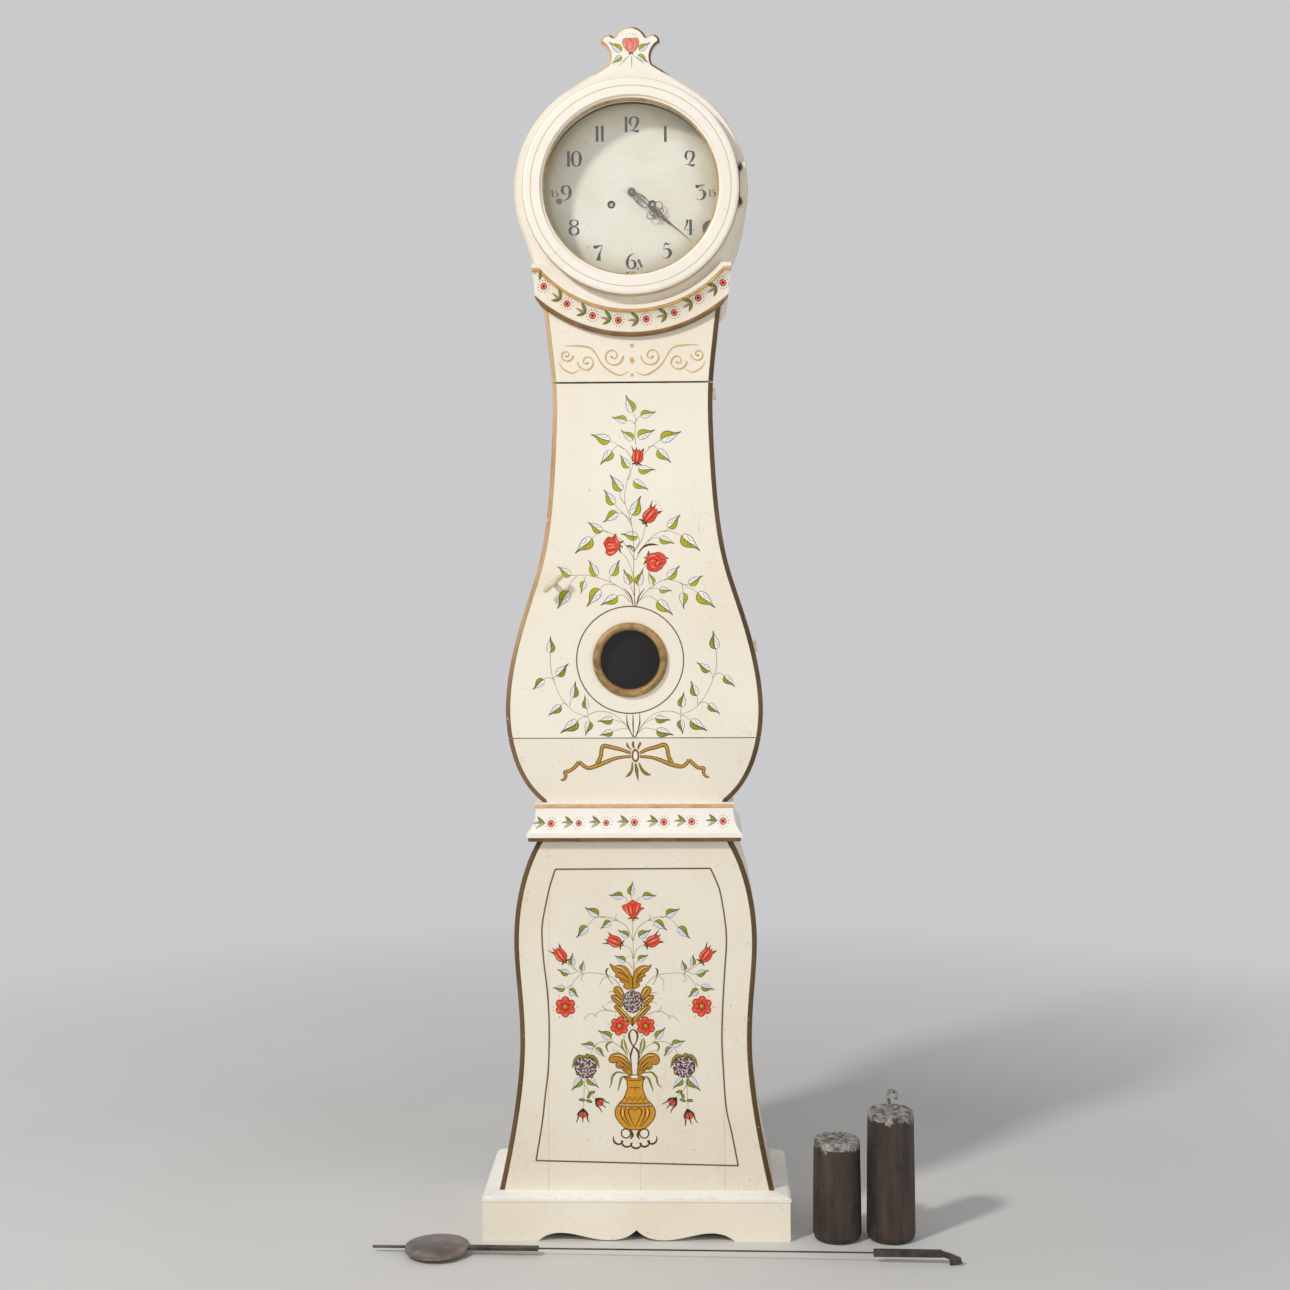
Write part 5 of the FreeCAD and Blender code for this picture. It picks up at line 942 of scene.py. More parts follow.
# Each paint of the decoration: its key, its name, the two colours that it wanders between (the first is
# the ground's own where none is given) and how far it is worn to the ground.
DECORATION = (
    ("leaf", "leaf_green", "C9BE3C", "AFA426", 0.25), ("olive", "olive_green", "A8A83E", "858A30", 0.25),
    ("pale", "leaf_white", "FBFAF4", "F0F0EC", 0.1), ("blue", "leaf_blue", "EDF1F4", "D6DFEA", 0.2),
    ("hatch", "blue_grey_line", "8F99A8", "78849A", 0.3), ("vein", "leaf_vein", "7E7A30", "5E5C24", 0.3),
    ("vein_dark", "dark_leaf_vein", "4E5428", "3A4020", 0.2), ("line", "dark_line", "463A2C", "332A1F", 0.2),
    ("stem", "stem_line", "9A9080", "7E7462", 0.4), ("sepal", "sepal_green", "3C4426", "2E331E", 0.1),
    ("hip", "hip_gold", "A59A3A", "8A7E2C", 0.1), ("red", "coral_red", "EC5C44", "DE4832", 0.12),
    ("rosy", "faded_red", "EE9488", "E58074", 0.2), ("crimson", "crimson", "A03226", "84261E", 0.12),
    ("blush", "blush", "F69F8B", "F28B75", 0.2), ("brown", "umber", "6A4A2C", "4E351E", 0.2),
    ("faint", "faded_green", "CBD0AC", "B8BF92", 0.3), ("gold", "ochre_gold", "CB9238", "B47C2A", 0.1),
    ("bow_gold", "bow_gold", "BC8A32", "A67626", 0.1), ("bow_rim", "bow_rim", "5E4A1E", "4A3814", 0.15),
    ("vase_gold", "vase_gold", "DDA03A", "C98A28", 0.08),
    ("gold_light", "light_gold", "F0CE88", "E6B868", 0.15),
    ("gold_dark", "dark_gold", "6A4E22", "523A16", 0.15), ("dot", "black_dot", "33302C", "4A453E", 0.2),
    ("berry", "berry_brown", "9E8A8A", "86706E", 0.1), ("berry_red", "berry_red", "A8665C", "925248", 0.1),
    ("berry_pale", "berry_white", "E6E4E6", "D0D0D6", 0.1),
    ("berry_dark", "berry_dark", "5E5458", "4C4248", 0.1), ("groove", "joint_line", "CBBEA3", "BCAE90", 0.6),
    ("plug", "plug_rim", "CFC4AC", "DCD2BC", 0.5), ("panel", "panel_line", "7C6A4C", "6A5638", 0.12),
    ("ground", "ground", None, "EEE4D2", 0.1), ("leaf_rim", "leaf_rim", "56603A", "444C2C", 0.2),
    ("tan", "tan_leaf", "C4A98E", "B0937A", 0.25), ("tan_rim", "tan_leaf_rim", "96826C", "7E6C5A", 0.3),
    ("faint_rim", "faded_rim", "9CA37C", "868E68", 0.3),
)


def coats_for(ground):
    """The decoration's paints over one ground colour."""
    coats = {}
    for key, name, main, second, worn in DECORATION:
        coats[key] = coat(name + "_on_" + ground, main or ground, second, ground, worn)
    return coats


case_coats = coats_for(CASE_LIGHT)
base_coats = coats_for(BASE_LIGHT)

# Tip and base of each leaf of the vine above the window, in pixels, and which side of its rib is green.
VINE_LEAVES = (
    (626, 395, 632.5, 412, -1), (656, 412, 641, 416, 1), (612, 417, 626.5, 421, -1),
    (621, 430, 633, 440, -1), (655, 430, 638, 437, 1), (591, 434.5, 610, 440.5, 1), (681, 432, 661, 440, 1),
    (600.5, 464.5, 612, 451, 1), (671, 463, 658, 450, -1), (620, 455, 629, 467.5, 1),
    (655.5, 470, 638.5, 469, -1), (610, 475, 622, 490, 1), (648.5, 490, 634, 481, -1),
    (604, 489.5, 614.5, 504, 1), (641, 496, 632.5, 515, -1), (603, 522, 617.5, 512.5, -1),
    (588, 522, 602, 531, 1), (575.5, 553, 592, 538, 1), (621, 534, 638, 536, 1),
    (680.5, 515, 668.5, 528, -1), (674.5, 544, 660, 538, -1), (700, 551, 682, 536, -1),
    (557.5, 566, 571, 575, 1), (589, 560, 597, 575, 1), (620, 560, 611.5, 575, -1), (581, 593, 585, 581, -1),
    (557.5, 608, 569, 591, -1), (587, 606, 600, 589, -1), (601, 605, 617.5, 596, 1),
    (624, 569, 630, 584, -1), (643, 569, 638.5, 585, 1), (649, 572, 653, 584, -1), (680, 566, 668, 578, -1),
    (703, 576, 689, 584, -1), (672, 591, 659.5, 589, -1), (684, 609, 683, 593, 1), (715, 608, 698, 593, -1),
    (673, 615, 658, 601, -1),
)
# The vine's stems, each a smooth run of pixels from where it leaves the next thicker one.
VINE_STEMS = (
    ((635, 606), (634, 575), (634, 545), (631, 520), (625, 502), (626, 488), (629, 475), (634, 464)),
    ((636, 445), (635, 432), (636, 420), (633, 412)), ((635, 423), (638, 418), (641, 416)),
    ((635, 424), (631, 421), (626.5, 421)), ((633, 462), (628, 452), (620, 446), (610, 440.5)),
    ((624, 449), (618, 446), (612, 451)), ((640, 460), (646, 452), (652, 446), (661, 440)),
    ((648, 448), (654, 446), (658, 450)), ((625, 504), (620, 496), (622, 490)),
    ((628, 480), (631, 474), (629, 467.5)), ((631, 520), (622, 512), (614.5, 504)),
    ((630, 522), (624, 514), (617.5, 512.5)), ((631, 525), (631, 520), (632.5, 515)),
    ((634, 552), (642, 540), (645, 528), (648, 519)),
    ((635, 560), (628, 548), (618, 537), (606, 531), (600, 532), (592, 538)),
    ((608, 533), (604, 530), (602, 531)), ((636, 560), (644, 546), (656, 534), (668.5, 531), (682, 536)),
    ((664, 532), (667, 531), (668.5, 528)), ((648, 542), (654, 538), (660, 538)),
    ((636, 548), (640, 541), (638, 536)), ((635, 596), (634, 578), (628, 560), (618, 549)),
    ((634, 606), (624, 590), (606, 580), (588, 575), (578, 575), (571, 575)),
    ((594, 576), (598, 577), (597, 575)), ((611, 582), (610, 578), (611.5, 575)),
    ((586, 576), (585, 579), (585, 581)), ((577, 576), (571, 582), (569, 591)),
    ((616, 585), (606, 584), (600, 589)), ((630, 602), (624, 595), (617.5, 596)),
    ((636, 606), (634, 594), (630, 584)), ((637, 606), (640, 594), (638.5, 585)),
    ((637, 604), (648, 590), (664, 580), (678, 582), (690, 588), (698, 593)),
    ((654, 586), (655, 585), (653, 584)), ((664, 580), (666, 579), (668, 578)),
    ((680, 583), (685, 585), (689, 584)), ((682, 584), (683, 589), (683, 593)),
    ((650, 589), (655, 588), (659.5, 589)), ((640, 600), (649, 596), (658, 601)),
    ((636, 584), (640, 574), (646, 566), (648, 563)),
)
VINE_STROKES = (
    ((633.5, 606), (631, 596), (624, 588)), ((637, 606), (639, 597), (645, 588)),
    ((638, 553), (646, 546), (657, 545)), ((634, 552), (630, 547), (626, 546)),
)
# The two sprays beside the window, and their stems.
SPRAY_LEAVES = (
    (551, 636, 550.5, 652, -1), (569, 663, 557, 675, -1), (533, 689, 544, 679, -1),
    (576, 681, 573.5, 697, -1), (549, 715, 561, 705, 1), (585, 695, 587, 708, 1), (561, 732.5, 578, 721, 1),
    (586, 735, 590, 721, 1), (598, 721, 613, 719, 1), (600, 735, 613, 731, 1), (713, 631, 716, 649, 1),
    (697, 662.5, 710, 671, 1), (735, 687, 724.5, 676, -1), (691, 681, 697, 695.5, 1),
    (720, 714, 709, 704, -1), (684, 692, 682, 707, 1), (707.5, 731, 691, 720.5, -1),
    (683, 734, 681, 720, -1), (671, 720, 656, 718, -1), (674, 735, 657, 730, -1),
)
SPRAY_STEMS = (
    ((550.5, 652), (551, 666), (554, 680), (562, 698), (574, 711), (588, 716)),
    ((554, 680), (555, 677), (557, 675)), ((553, 678), (548, 677), (544, 679)),
    ((570, 706), (571, 700), (573.5, 697)), ((568, 704), (564, 703), (561, 705)),
    ((588, 714), (588, 711), (587, 708)), ((588, 716), (582, 717), (578, 721)),
    ((588, 716), (589, 718), (590, 721)), ((588, 715), (598, 711), (612, 713), (624, 722), (634, 737)),
    ((634, 737), (626, 724), (613, 719)), ((634, 738), (628, 728), (613, 731)),
    ((716, 649), (717, 664), (714, 677), (706, 695), (694, 709), (681, 714)),
    ((713, 678), (712, 674), (710, 671)), ((715, 675), (720, 673), (724.5, 676)),
    ((698, 705), (698, 700), (697, 695.5)), ((700, 703), (704, 702), (709, 704)),
    ((681, 713), (681, 710), (682, 707)), ((681, 715), (686, 716), (691, 720.5)),
    ((681, 715), (681, 717), (681, 720)), ((681, 714), (670, 711), (656, 713), (645, 722), (635, 737)),
    ((635, 737), (645, 723), (656, 718)), ((635, 738), (644, 728), (657, 730)),
)
SPRAY_STROKES = (
    ((633.5, 713), (633.5, 724), (634, 737)), ((627, 714), (628, 724), (633, 736)),
    ((640, 713), (640, 724), (636, 736)),
)


def vine(brush, leaves, stems, strokes, green="leaf", pale="pale", full=0.255, dark="vein"):
    """Leaves, stems and a few dark strokes from their pixels."""
    brush.strokes("stem", stems, (0.0011, 0.0008, 0.0007), 1)
    brush.strokes("brown", strokes, (0.0006, 0.0024, 0.0006))
    for tip_u, tip_v, base_u, base_v, side in leaves:
        leaf(brush, brush.spot(tip_u, tip_v), brush.spot(base_u, base_v), side, green, pale, full, dark)


# Each open rose's edge, folds, lights and sepals, in pixels.
DOOR_ROSES = (
    (((603.8, 542.9), (605.6, 539.8), (607.7, 537.2), (609.7, 536.7), (612.2, 537.4), (614.3, 535.4),
      (616.4, 533.4), (616.1, 536), (617.3, 538.5), (619.6, 541.6), (620.3, 544.4), (619.4, 547.7),
      (617.6, 550.5), (615.3, 552.8), (612.5, 554.8), (610.2, 555.5), (607.7, 554.5), (606, 552.3),
      (606.5, 550.3), (605.7, 547.4), (604.7, 545.2)),
     (((605.8, 546.5), (606.2, 544.2), (608.9, 541.9), (612.2, 542.1), (613.8, 542.9)),
      ((614.3, 536), (614.8, 539.3), (616.3, 542.3)), ((606.6, 550.2), (611.7, 550.2), (617.3, 548.3)),
      ((604.2, 543), (605.6, 545.4), (606.6, 547)), ((607, 540.5), (609, 538.6), (611.6, 539.4))),
     (((608.3, 544.6), (611.5, 544), (615, 545.4)), ((608, 552.2), (611.4, 552.6), (614.6, 551)),
      ((607.8, 547.6), (611.5, 547.2), (615.6, 547)), ((615.6, 538), (616.6, 540.6), (618.4, 543))),
     (((620.2, 542.8), (622, 541.8), (623.8, 540.4)), ((619.6, 547.6), (620.2, 550), (620.7, 552.8)),
      ((620.2, 544.8), (621.6, 546.4), (623, 547.6)))),
    (((646.2, 558.2), (647.7, 555.6), (650.3, 553.7), (654.1, 553.1), (657.7, 552.4), (661.2, 553),
      (664.3, 555.1), (666.3, 557.5), (669, 558.5), (665.9, 559.2), (666.5, 561.2), (665.6, 563.5),
      (663.7, 565.3), (662.2, 568.2), (659.4, 570.1), (656.6, 571.7), (652.6, 571.4), (649.2, 570.7),
      (647.4, 568.4), (647.2, 564.8), (646.6, 561.2)),
     (((648.5, 562), (650.8, 559.2), (654.1, 558.4), (656.6, 560), (657.7, 560.7), (661.2, 559.7),
       (665, 559.6)), ((656.3, 566.6), (655.9, 563.3), (657.7, 560.7)),
      ((659.2, 567.6), (659.2, 564.8), (661.2, 562.8), (664, 562.6)),
      ((648.3, 563), (650.4, 567.9), (655, 570.2)), ((657.1, 554.8), (658.6, 556.6), (660.8, 558)),
      ((661.4, 565.6), (662.8, 563.6))),
     (((650.6, 562.4), (652.2, 560.4), (654.6, 561)), ((657.6, 565.6), (657.4, 562.8), (660.2, 561.2)),
      ((649.2, 557), (652.6, 555.4), (656, 555.8)), ((651.4, 565.4), (653, 567.2), (655.6, 567.8)),
      ((660.6, 566.6), (662.2, 565.6))),
     (((647.6, 554.8), (648.6, 553), (649.2, 550.8)), ((646.2, 560.4), (645.4, 562.4), (643.7, 564.7)),
      ((646.6, 557.6), (645.2, 557.4), (644.2, 558.2)))),
)
DOOR_SWEEPS = (
    ((637.8, 554.1), (640.8, 549.5), (644.9, 545.9), (650, 544.1), (655.6, 544.4), (658.7, 545.7)),
    ((635.2, 551.5), (634.7, 549), (632.7, 546.9), (630.1, 545.4), (626.5, 545.7)),
)
# Foot and head of each bud in pixels, its width in metres and whether it has dots over its petals.
DOOR_BUDS = (((637, 463.2), (638.6, 450), 0.0195, False), ((644.6, 521.6), (656, 509), 0.022, True))
ROSE_HIP = (645.7, 557.7)
# The painted-over nail plugs of each board, in pixels.
NAIL_PLUGS = {
    "lower_panel": ((523.2, 758.4), (740, 762), (721, 794.6)),
    "trunk_door": ((749.5, 733),),
    "base_front": ((733.9, 866), (749, 944.7), (747.4, 1018.6), (749, 1084.9), (757, 1146), (526, 899),
                   (521.7, 953.4)),
}
# Each board with an edge line, its body and the width of the line on its flat front.
EDGED_BOARDS = (
    ("frieze_panel", "case", 0.0019), ("trunk_door", "trunk_door", 0.0019), ("lower_panel", "case", 0.0021),
    ("base_front", "case", 0.0024),
)


# How far a flat front faces ahead, how deep and how near the middle an edge may be, and how far it turns.
FLAT_FACING = -0.99
FRONT_BAND = 0.0004
MIDDLE_BAND = 0.1
SIDE_FACING = 0.3


def plugs(brush, node):
    """The nail plugs of one board."""
    for u, v in NAIL_PLUGS[node]:
        brush.ring("plug", brush.spot(u, v), 0.0042, 0.0008, 1, 16)


def paint_edges():
    """The edge line's inner part, on each board's flat front along its two curved sides."""
    line = {"edge": edge_line()}
    for node, body, width in EDGED_BOARDS:
        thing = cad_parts[node]
        faces = thing.data.polygons
        owners = {}
        for face in faces:
            if face.normal.y < FLAT_FACING:
                for pair in face.edge_keys:
                    owners.setdefault(pair, []).append(face.index)
        brush = Painter(node + "_edge_line", body, node, line)
        for pair, flats in sorted(owners.items()):
            first, last = [thing.matrix_world @ thing.data.vertices[index].co for index in pair]
            if len(flats) > 1 or first.y > brush.front + FRONT_BAND or abs(first.x) < MIDDLE_BAND:
                continue
            start = Vector((first.x, first.z))
            end = Vector((last.x, last.z))
            along = (end - start).normalized()
            inward = Vector((-along.y, along.x))
            centre = thing.matrix_world @ faces[flats[0]].center
            if inward.dot(Vector((centre.x, centre.z)) - start) < 0:
                inward = -inward
            if abs(inward.x) > SIDE_FACING:
                brush.fill("edge", (start, end, end + inward * width, start + inward * width), 1)
        brush.done()


def paint_door():
    """The vine, the sprays and the circle round the window."""
    brush = Painter("door_flowers", "trunk_door", "trunk_door", case_coats)
    vine(brush, VINE_LEAVES, VINE_STEMS, VINE_STROKES)
    vine(brush, SPRAY_LEAVES, SPRAY_STEMS, SPRAY_STROKES, "olive", "pale", 0.26, "vein_dark")
    brush.layered(DOOR_SWEEPS, 2, 4, ("line", 0.0006, 0.0022, 0.0022, 0.0005),
                  ("brown", 0.0003, 0.0014, 0.0014, 0.0003))
    for foot, head, width, dots in DOOR_BUDS:
        bud(brush, brush.spot(*foot), brush.spot(*head), width, dots)
    for rose in DOOR_ROSES:
        drawn_flower(brush, rose)
    brush.disc("hip", brush.spot(*ROSE_HIP), 0.0018, 6, 9)
    brush.ring("panel", WINDOW, WINDOW_CIRCLE, 0.0021, 2, 96)
    plugs(brush, "trunk_door")
    brush.done()


# The bow's ribbons in pixels with their widths in metres, then its tails and the drops above its knot.
RIBBONS = (
    (((631.4, 752.8), (621.5, 749.2), (613.2, 747.2), (605.2, 745.6), (602.3, 748.2), (601.2, 756),
      (597.6, 763.4)), (0.0032, 0.0048, 0.0054, 0.0062, 0.0054, 0.005, 0.0062)),
    (((631.4, 756.2), (621.5, 756.9), (613.2, 758.9), (604.9, 762.2), (598.7, 764.5), (590.3, 767.6),
      (585.1, 766), (579.4, 761.2)), (0.0028, 0.0036, 0.0048, 0.0058, 0.0068, 0.0052, 0.0048, 0.005)),
    (((579.4, 761.2), (575.8, 766.1), (570.6, 770), (565.4, 771.8), (566.4, 775.4), (564.4, 778.9),
      (561.2, 779.6)), (0.0046, 0.005, 0.0044, 0.005, 0.0042, 0.003, 0.0006)),
    (((640.4, 752.8), (647.6, 749.2), (656, 747), (664.4, 744.6), (667.4, 748), (669, 756), (672, 762.6)),
     (0.0032, 0.0048, 0.0054, 0.0062, 0.0054, 0.005, 0.0062)),
    (((640.4, 756.2), (650, 756.9), (658.2, 758.9), (666, 762), (671.4, 764), (681, 766.4), (686, 764.2),
      (689.6, 759.6)), (0.0028, 0.0036, 0.0048, 0.0058, 0.0068, 0.0052, 0.0048, 0.005)),
    (((689.6, 759.6), (694, 764), (698.6, 767.6), (704, 768.2), (703.8, 772.4), (706, 776), (709.6, 777)),
     (0.0046, 0.005, 0.0044, 0.005, 0.0042, 0.003, 0.0006)),
)
TAILS = (
    (((632.8, 762.1), (632.4, 769), (629.8, 773.9), (626.2, 776.5)), (0.0024, 0.0036, 0.0052, 0.0008)),
    (((635.9, 763), (637.1, 770.2), (638.7, 780.6)), (0.0026, 0.0064, 0.0008)),
    (((639.4, 762.4), (642.3, 769.2), (646.5, 773.3), (651.7, 774.6)), (0.0022, 0.005, 0.0062, 0.0006)),
    (((631.9, 749.6), (628.3, 746), (627.2, 742.4)), (0.0008, 0.004, 0.0018)),
    (((634.5, 748), (633.5, 744.6), (633.8, 741)), (0.0016, 0.0046, 0.003)),
    (((638.2, 749), (639.4, 745.6), (641.1, 742)), (0.0014, 0.0044, 0.0036)),
)
BOW_KNOT = (635.9, 755.2)
# The ovals of the knot: ink, radius in metres, corners and height to width.
KNOT_OVALS = (
    ("gold_dark", 0.0068, 24, 1.7), ("gold", 0.0054, 24, 1.8), ("gold_dark", 0.0042, 20, 2.05),
    ("pale", 0.0035, 20, 2.2),
)


def paint_lower_panel():
    """The ribbon bow below the door."""
    brush = Painter("ribbon_bow", "case", "lower_panel", case_coats)
    for run, widths in RIBBONS:
        points = brush.run(run)
        brush.stroke("bow_rim", points, [width + 0.0018 for width in widths], 1, 5)
        brush.stroke("bow_gold", points, [width - 0.0004 for width in widths], 2, 5)
        raised = [point + Vector((0.0003, 0.0007)) for point in points]
        brush.stroke("gold_light", raised, [width * 0.13 for width in widths], 3, 5)
    for run, widths in TAILS:
        brush.stroke("gold_dark", brush.run(run), widths, 2, 4)
        brush.stroke("hip", brush.run(run), [width * 0.4 for width in widths], 3, 4)
    brush.stack(brush.spot(*BOW_KNOT), 4, *KNOT_OVALS)
    plugs(brush, "lower_panel")
    brush.done()


# The flowers of the collar's garland, in pixels, after the place where the garland begins.
GARLAND_START = (529, 264)
GARLAND = (
    (543.7, 285.3), (567, 303), (592.7, 315), (618.6, 320), (646.4, 319), (674.4, 312.8), (698.5, 298.6),
    (723.1, 283.4),
)
# The turn of each leaf by a flower, its length and width in metres, and its two inks.
GARLAND_LEAVES = (
    (-0.72, 0.0195, 0.0064, "olive", "leaf_rim"), (0.02, 0.0205, 0.0046, "tan", "tan_rim"),
    (0.7, 0.0185, 0.006, "hip", "leaf_rim"),
)


def paint_collar():
    """The garland in the collar's cove: flowers in dots, with leaves between them."""
    brush = Painter("collar_garland", "case", "collar_front", case_coats, COLLAR_SCALE, True)
    flowers = brush.run(GARLAND)
    for here in flowers:
        small_flower(brush, here, 0.0058, 12, 0.01)
    before = brush.spot(*GARLAND_START)
    for here in flowers:
        back = (before - here).normalized()
        across = Vector((-back.y, back.x))
        root = here + back * 0.0125
        for lift, reach, wide, ink, rim in GARLAND_LEAVES[:1] if here == flowers[0] else GARLAND_LEAVES:
            tip = root + back * reach * math.cos(lift) + across * reach * math.sin(lift)
            small_leaf(brush, root, tip, wide, ink, rim, 0.03 if lift > 0 else -0.03)
        before = here
    brush.done()


BELT_FLOWERS = (551.4, 579.4, 606.9, 635.2, 664.7, 692.5, 723.9)
BELT_ROW = 822.8
BELT_SLOPE = 0.012
# The leaves by a flower as above, and the inks that they have by the last flower.
BELT_LEAVES = (
    (-0.72, 0.0185, 0.006, ("olive", "leaf_rim"), ("olive", "leaf_rim")),
    (0.0, 0.021, 0.0042, ("tan", "tan_rim"), ("stem", "tan_rim")),
    (0.52, 0.0185, 0.0052, ("faint", "faint_rim"), ("faint", "hatch")),
)


def paint_belt():
    """Seven flowers with leaves along the belt's cove."""
    brush = Painter("belt_garland", "case", "belt_front", case_coats, BELT_SCALE, True)
    for i, u in enumerate(BELT_FLOWERS):
        here = brush.spot(u, BELT_ROW - (u - FOOT_MIDDLE) * BELT_SLOPE)
        small_flower(brush, here, 0.0052 if i in (1, 2) else 0.006, 11, 0.0099, "rosy", "stem")
        root = here + Vector((-0.0106, 0.0006))
        for lift, reach, wide, inks, last_inks in BELT_LEAVES:
            ink, rim = last_inks if u == BELT_FLOWERS[-1] else inks
            tip = root - away(lift, reach)
            small_leaf(brush, root, tip, wide, ink, rim, 0.06 if lift < 0 else -0.06)
    brush.done()


# The golden leaves round the base's flowers, each an edge in pixels and then its veins.
VASE_MIDDLE = 636.0
WINGS = (
    ((633.5, 978), (635.4, 970.3), (640, 966.3), (645.4, 964.9), (649.6, 965.6), (652.2, 964),
     (648.8, 969.9), (645, 972.2), (646.3, 975), (642.7, 976.8), (642.9, 979.9), (639.7, 981.8),
     (640.2, 985.2), (636.2, 987.5), (633.5, 988)),
    ((633.4, 978), (631.6, 973.4), (628.6, 968.2), (624, 965), (618.6, 964.6), (615.2, 965.9),
     (610.6, 963.1), (613.6, 969.5), (616.7, 973), (616.3, 976.4), (620.3, 977.3), (621.1, 980.6),
     (625.1, 982.9), (624.3, 986), (628.2, 988.7), (631.2, 987.9), (633.5, 988)),
)
WING_VEINS = (
    (((637, 984), (638.6, 976), (643, 969.5), (648, 967.6)), ((637.6, 982), (640.4, 978), (644, 975.6)),
     ((638.4, 978), (641.4, 973.6), (645, 971.8))),
    (((630.4, 984), (627.6, 976), (622, 969), (615.6, 967)), ((629, 982), (625, 979.6), (619, 976.4)),
     ((627, 976), (622.6, 972.6), (617.4, 972))),
)
LOBE_MIDDLE = 633.2
LOBES = (
    ((625.5, 998), (624, 991.7), (621.7, 987.1), (617.8, 985.6), (614.8, 987.5), (614.8, 991),
     (617.8, 995.5), (621.4, 999)),
    ((624.6, 1004.4), (620.6, 997.8), (616.3, 994.8), (612.5, 994.6), (612.1, 997.1), (614.8, 1000.9),
     (618.6, 1004), (621.4, 1006)),
    ((633.5, 1025.4), (628.6, 1020), (622.4, 1015.4), (617.1, 1009.3), (615.2, 1006.3), (616.7, 1004.4),
     (620.9, 1006.3), (624.7, 1010.1), (630.1, 1015.4), (633.6, 1018.5)),
)
LOBE_VEINS = (
    ((617.4, 988.4), (620, 991.4), (622.6, 995.6)), ((614.6, 997), (618, 999.4), (621.6, 1003)),
    ((617.6, 1006.6), (623, 1012), (629.6, 1018.6)),
)
PLUMES = (
    ((638, 1073.1), (638.7, 1066.5), (641.3, 1059), (646.3, 1054.2), (652.1, 1052.4), (657.3, 1053.6),
     (660.2, 1057.8), (659.4, 1062.2), (655.8, 1064), (652.5, 1063), (653.1, 1066.5), (649.2, 1068.8),
     (645.6, 1068), (646.1, 1070.8), (643.2, 1072.5), (640.5, 1073.4)),
    ((633, 1073.1), (632.2, 1065.7), (628.9, 1059), (623.9, 1054), (618.1, 1052.4), (612.3, 1054),
     (609.8, 1058.2), (610.7, 1061.1), (614.8, 1062.1), (618.1, 1061.1), (616.9, 1063.2), (617.3, 1066.5),
     (621.4, 1067.7), (623.9, 1067.3), (623.9, 1069.8), (627.2, 1072.3), (631.4, 1073.9)),
)
PLUME_VEINS = (
    (((640, 1071), (643, 1062), (649, 1056.4), (655, 1056)), ((641.6, 1070), (646, 1064), (651.6, 1060.4)),
     ((643, 1071), (647, 1067.4), (650.6, 1065.8))),
    (((631.4, 1071), (628, 1062), (621.6, 1056.6), (614.4, 1056.2)),
     ((629.4, 1069.6), (625, 1063.4), (618.6, 1059.6)), ((628, 1070.6), (624, 1066.6), (619.6, 1065))),
)
# The tulip's edge, folds, lights and sepals.
BASE_TULIP = (
    ((633.8, 918), (628.5, 913.5), (624.1, 908.9), (622.9, 905.4), (626.4, 903.9), (629.7, 902.1),
     (633.4, 899.4), (636.7, 901.6), (640.9, 903.1), (641.7, 904.6), (640.3, 906.4), (644.8, 907.7),
     (641.5, 909.5), (639, 913.1), (636.3, 916.5)),
    (((628.6, 904.8), (629.4, 910), (632, 916)), ((632.6, 904.6), (633.2, 910), (633.4, 915)),
     ((637, 904.6), (636.4, 910), (635.2, 915)), ((630, 903), (633.6, 905), (637, 902.6)),
     ((641, 906), (639, 909), (637.6, 913))),
    (((626, 906.4), (627.4, 910), (630, 913.4)), ((631, 906), (631.4, 910), (632.4, 913)),
     ((638.8, 905), (637.8, 909), (636.6, 912))),
    (((633, 917.6), (630.6, 917.4), (628.6, 918.8)), ((634.6, 917.6), (637.2, 917.4), (639.4, 918.6))),
)
TULIP_HIP = (633.9, 919.2)
TONGUES = (
    ((624, 1038.6), (624.6, 1045), (628, 1054.4)), ((643.8, 1038), (643.4, 1045), (640.3, 1053.6)),
)
DROOPS = (
    ((626.4, 1073.1), (618.1, 1071.5), (613.1, 1076.4), (612.4, 1082), (610.4, 1087.4)),
    ((626.4, 1075.2), (622.3, 1077.3), (620.6, 1083.1), (618.7, 1090.7)),
    ((645.5, 1072.3), (652.1, 1071.5), (657.1, 1076.4), (658.7, 1083.1), (663, 1086.9)),
    ((646.3, 1075.2), (649.6, 1078.1), (652.1, 1084.7), (654.4, 1090.7)),
)
CRESCENTS = (
    ((613, 1041.4), (608.4, 1043), (607.2, 1047), (609.4, 1051.4)),
    ((653.4, 1041.4), (658.4, 1043), (659.8, 1047), (657.6, 1051.4)),
)
CURLS = (
    ((614, 984), (609.6, 978), (607, 972), (607.6, 969), (609.4, 967.4)),
    ((653.6, 984), (656.6, 978.4), (658.4, 972), (657.8, 969), (656, 967.4)),
    ((610, 976), (604, 978), (600.4, 984.4)), ((659, 976), (664, 979), (664.6, 986)),
    ((617, 1011.4), (610, 1010), (603, 1009.6), (596, 1013.6), (590, 1013.4), (584.4, 1019)),
    ((608, 1009.8), (604.6, 1007), (603, 1004.6)),
    ((648, 1014), (656, 1011), (663.6, 1011.2), (669, 1015), (674, 1015.4), (679.6, 1020.4)),
    ((658.6, 1011), (661.4, 1008.4), (662.6, 1005.4)), ((615, 991.4), (611, 991), (608.4, 992.6)),
    ((651.6, 992.4), (655.4, 992), (659, 993.4)), ((614, 1001.6), (611, 1001), (608, 1003.6)),
    ((651.4, 1001.6), (655, 1001.4), (657.8, 1003.6)),
)
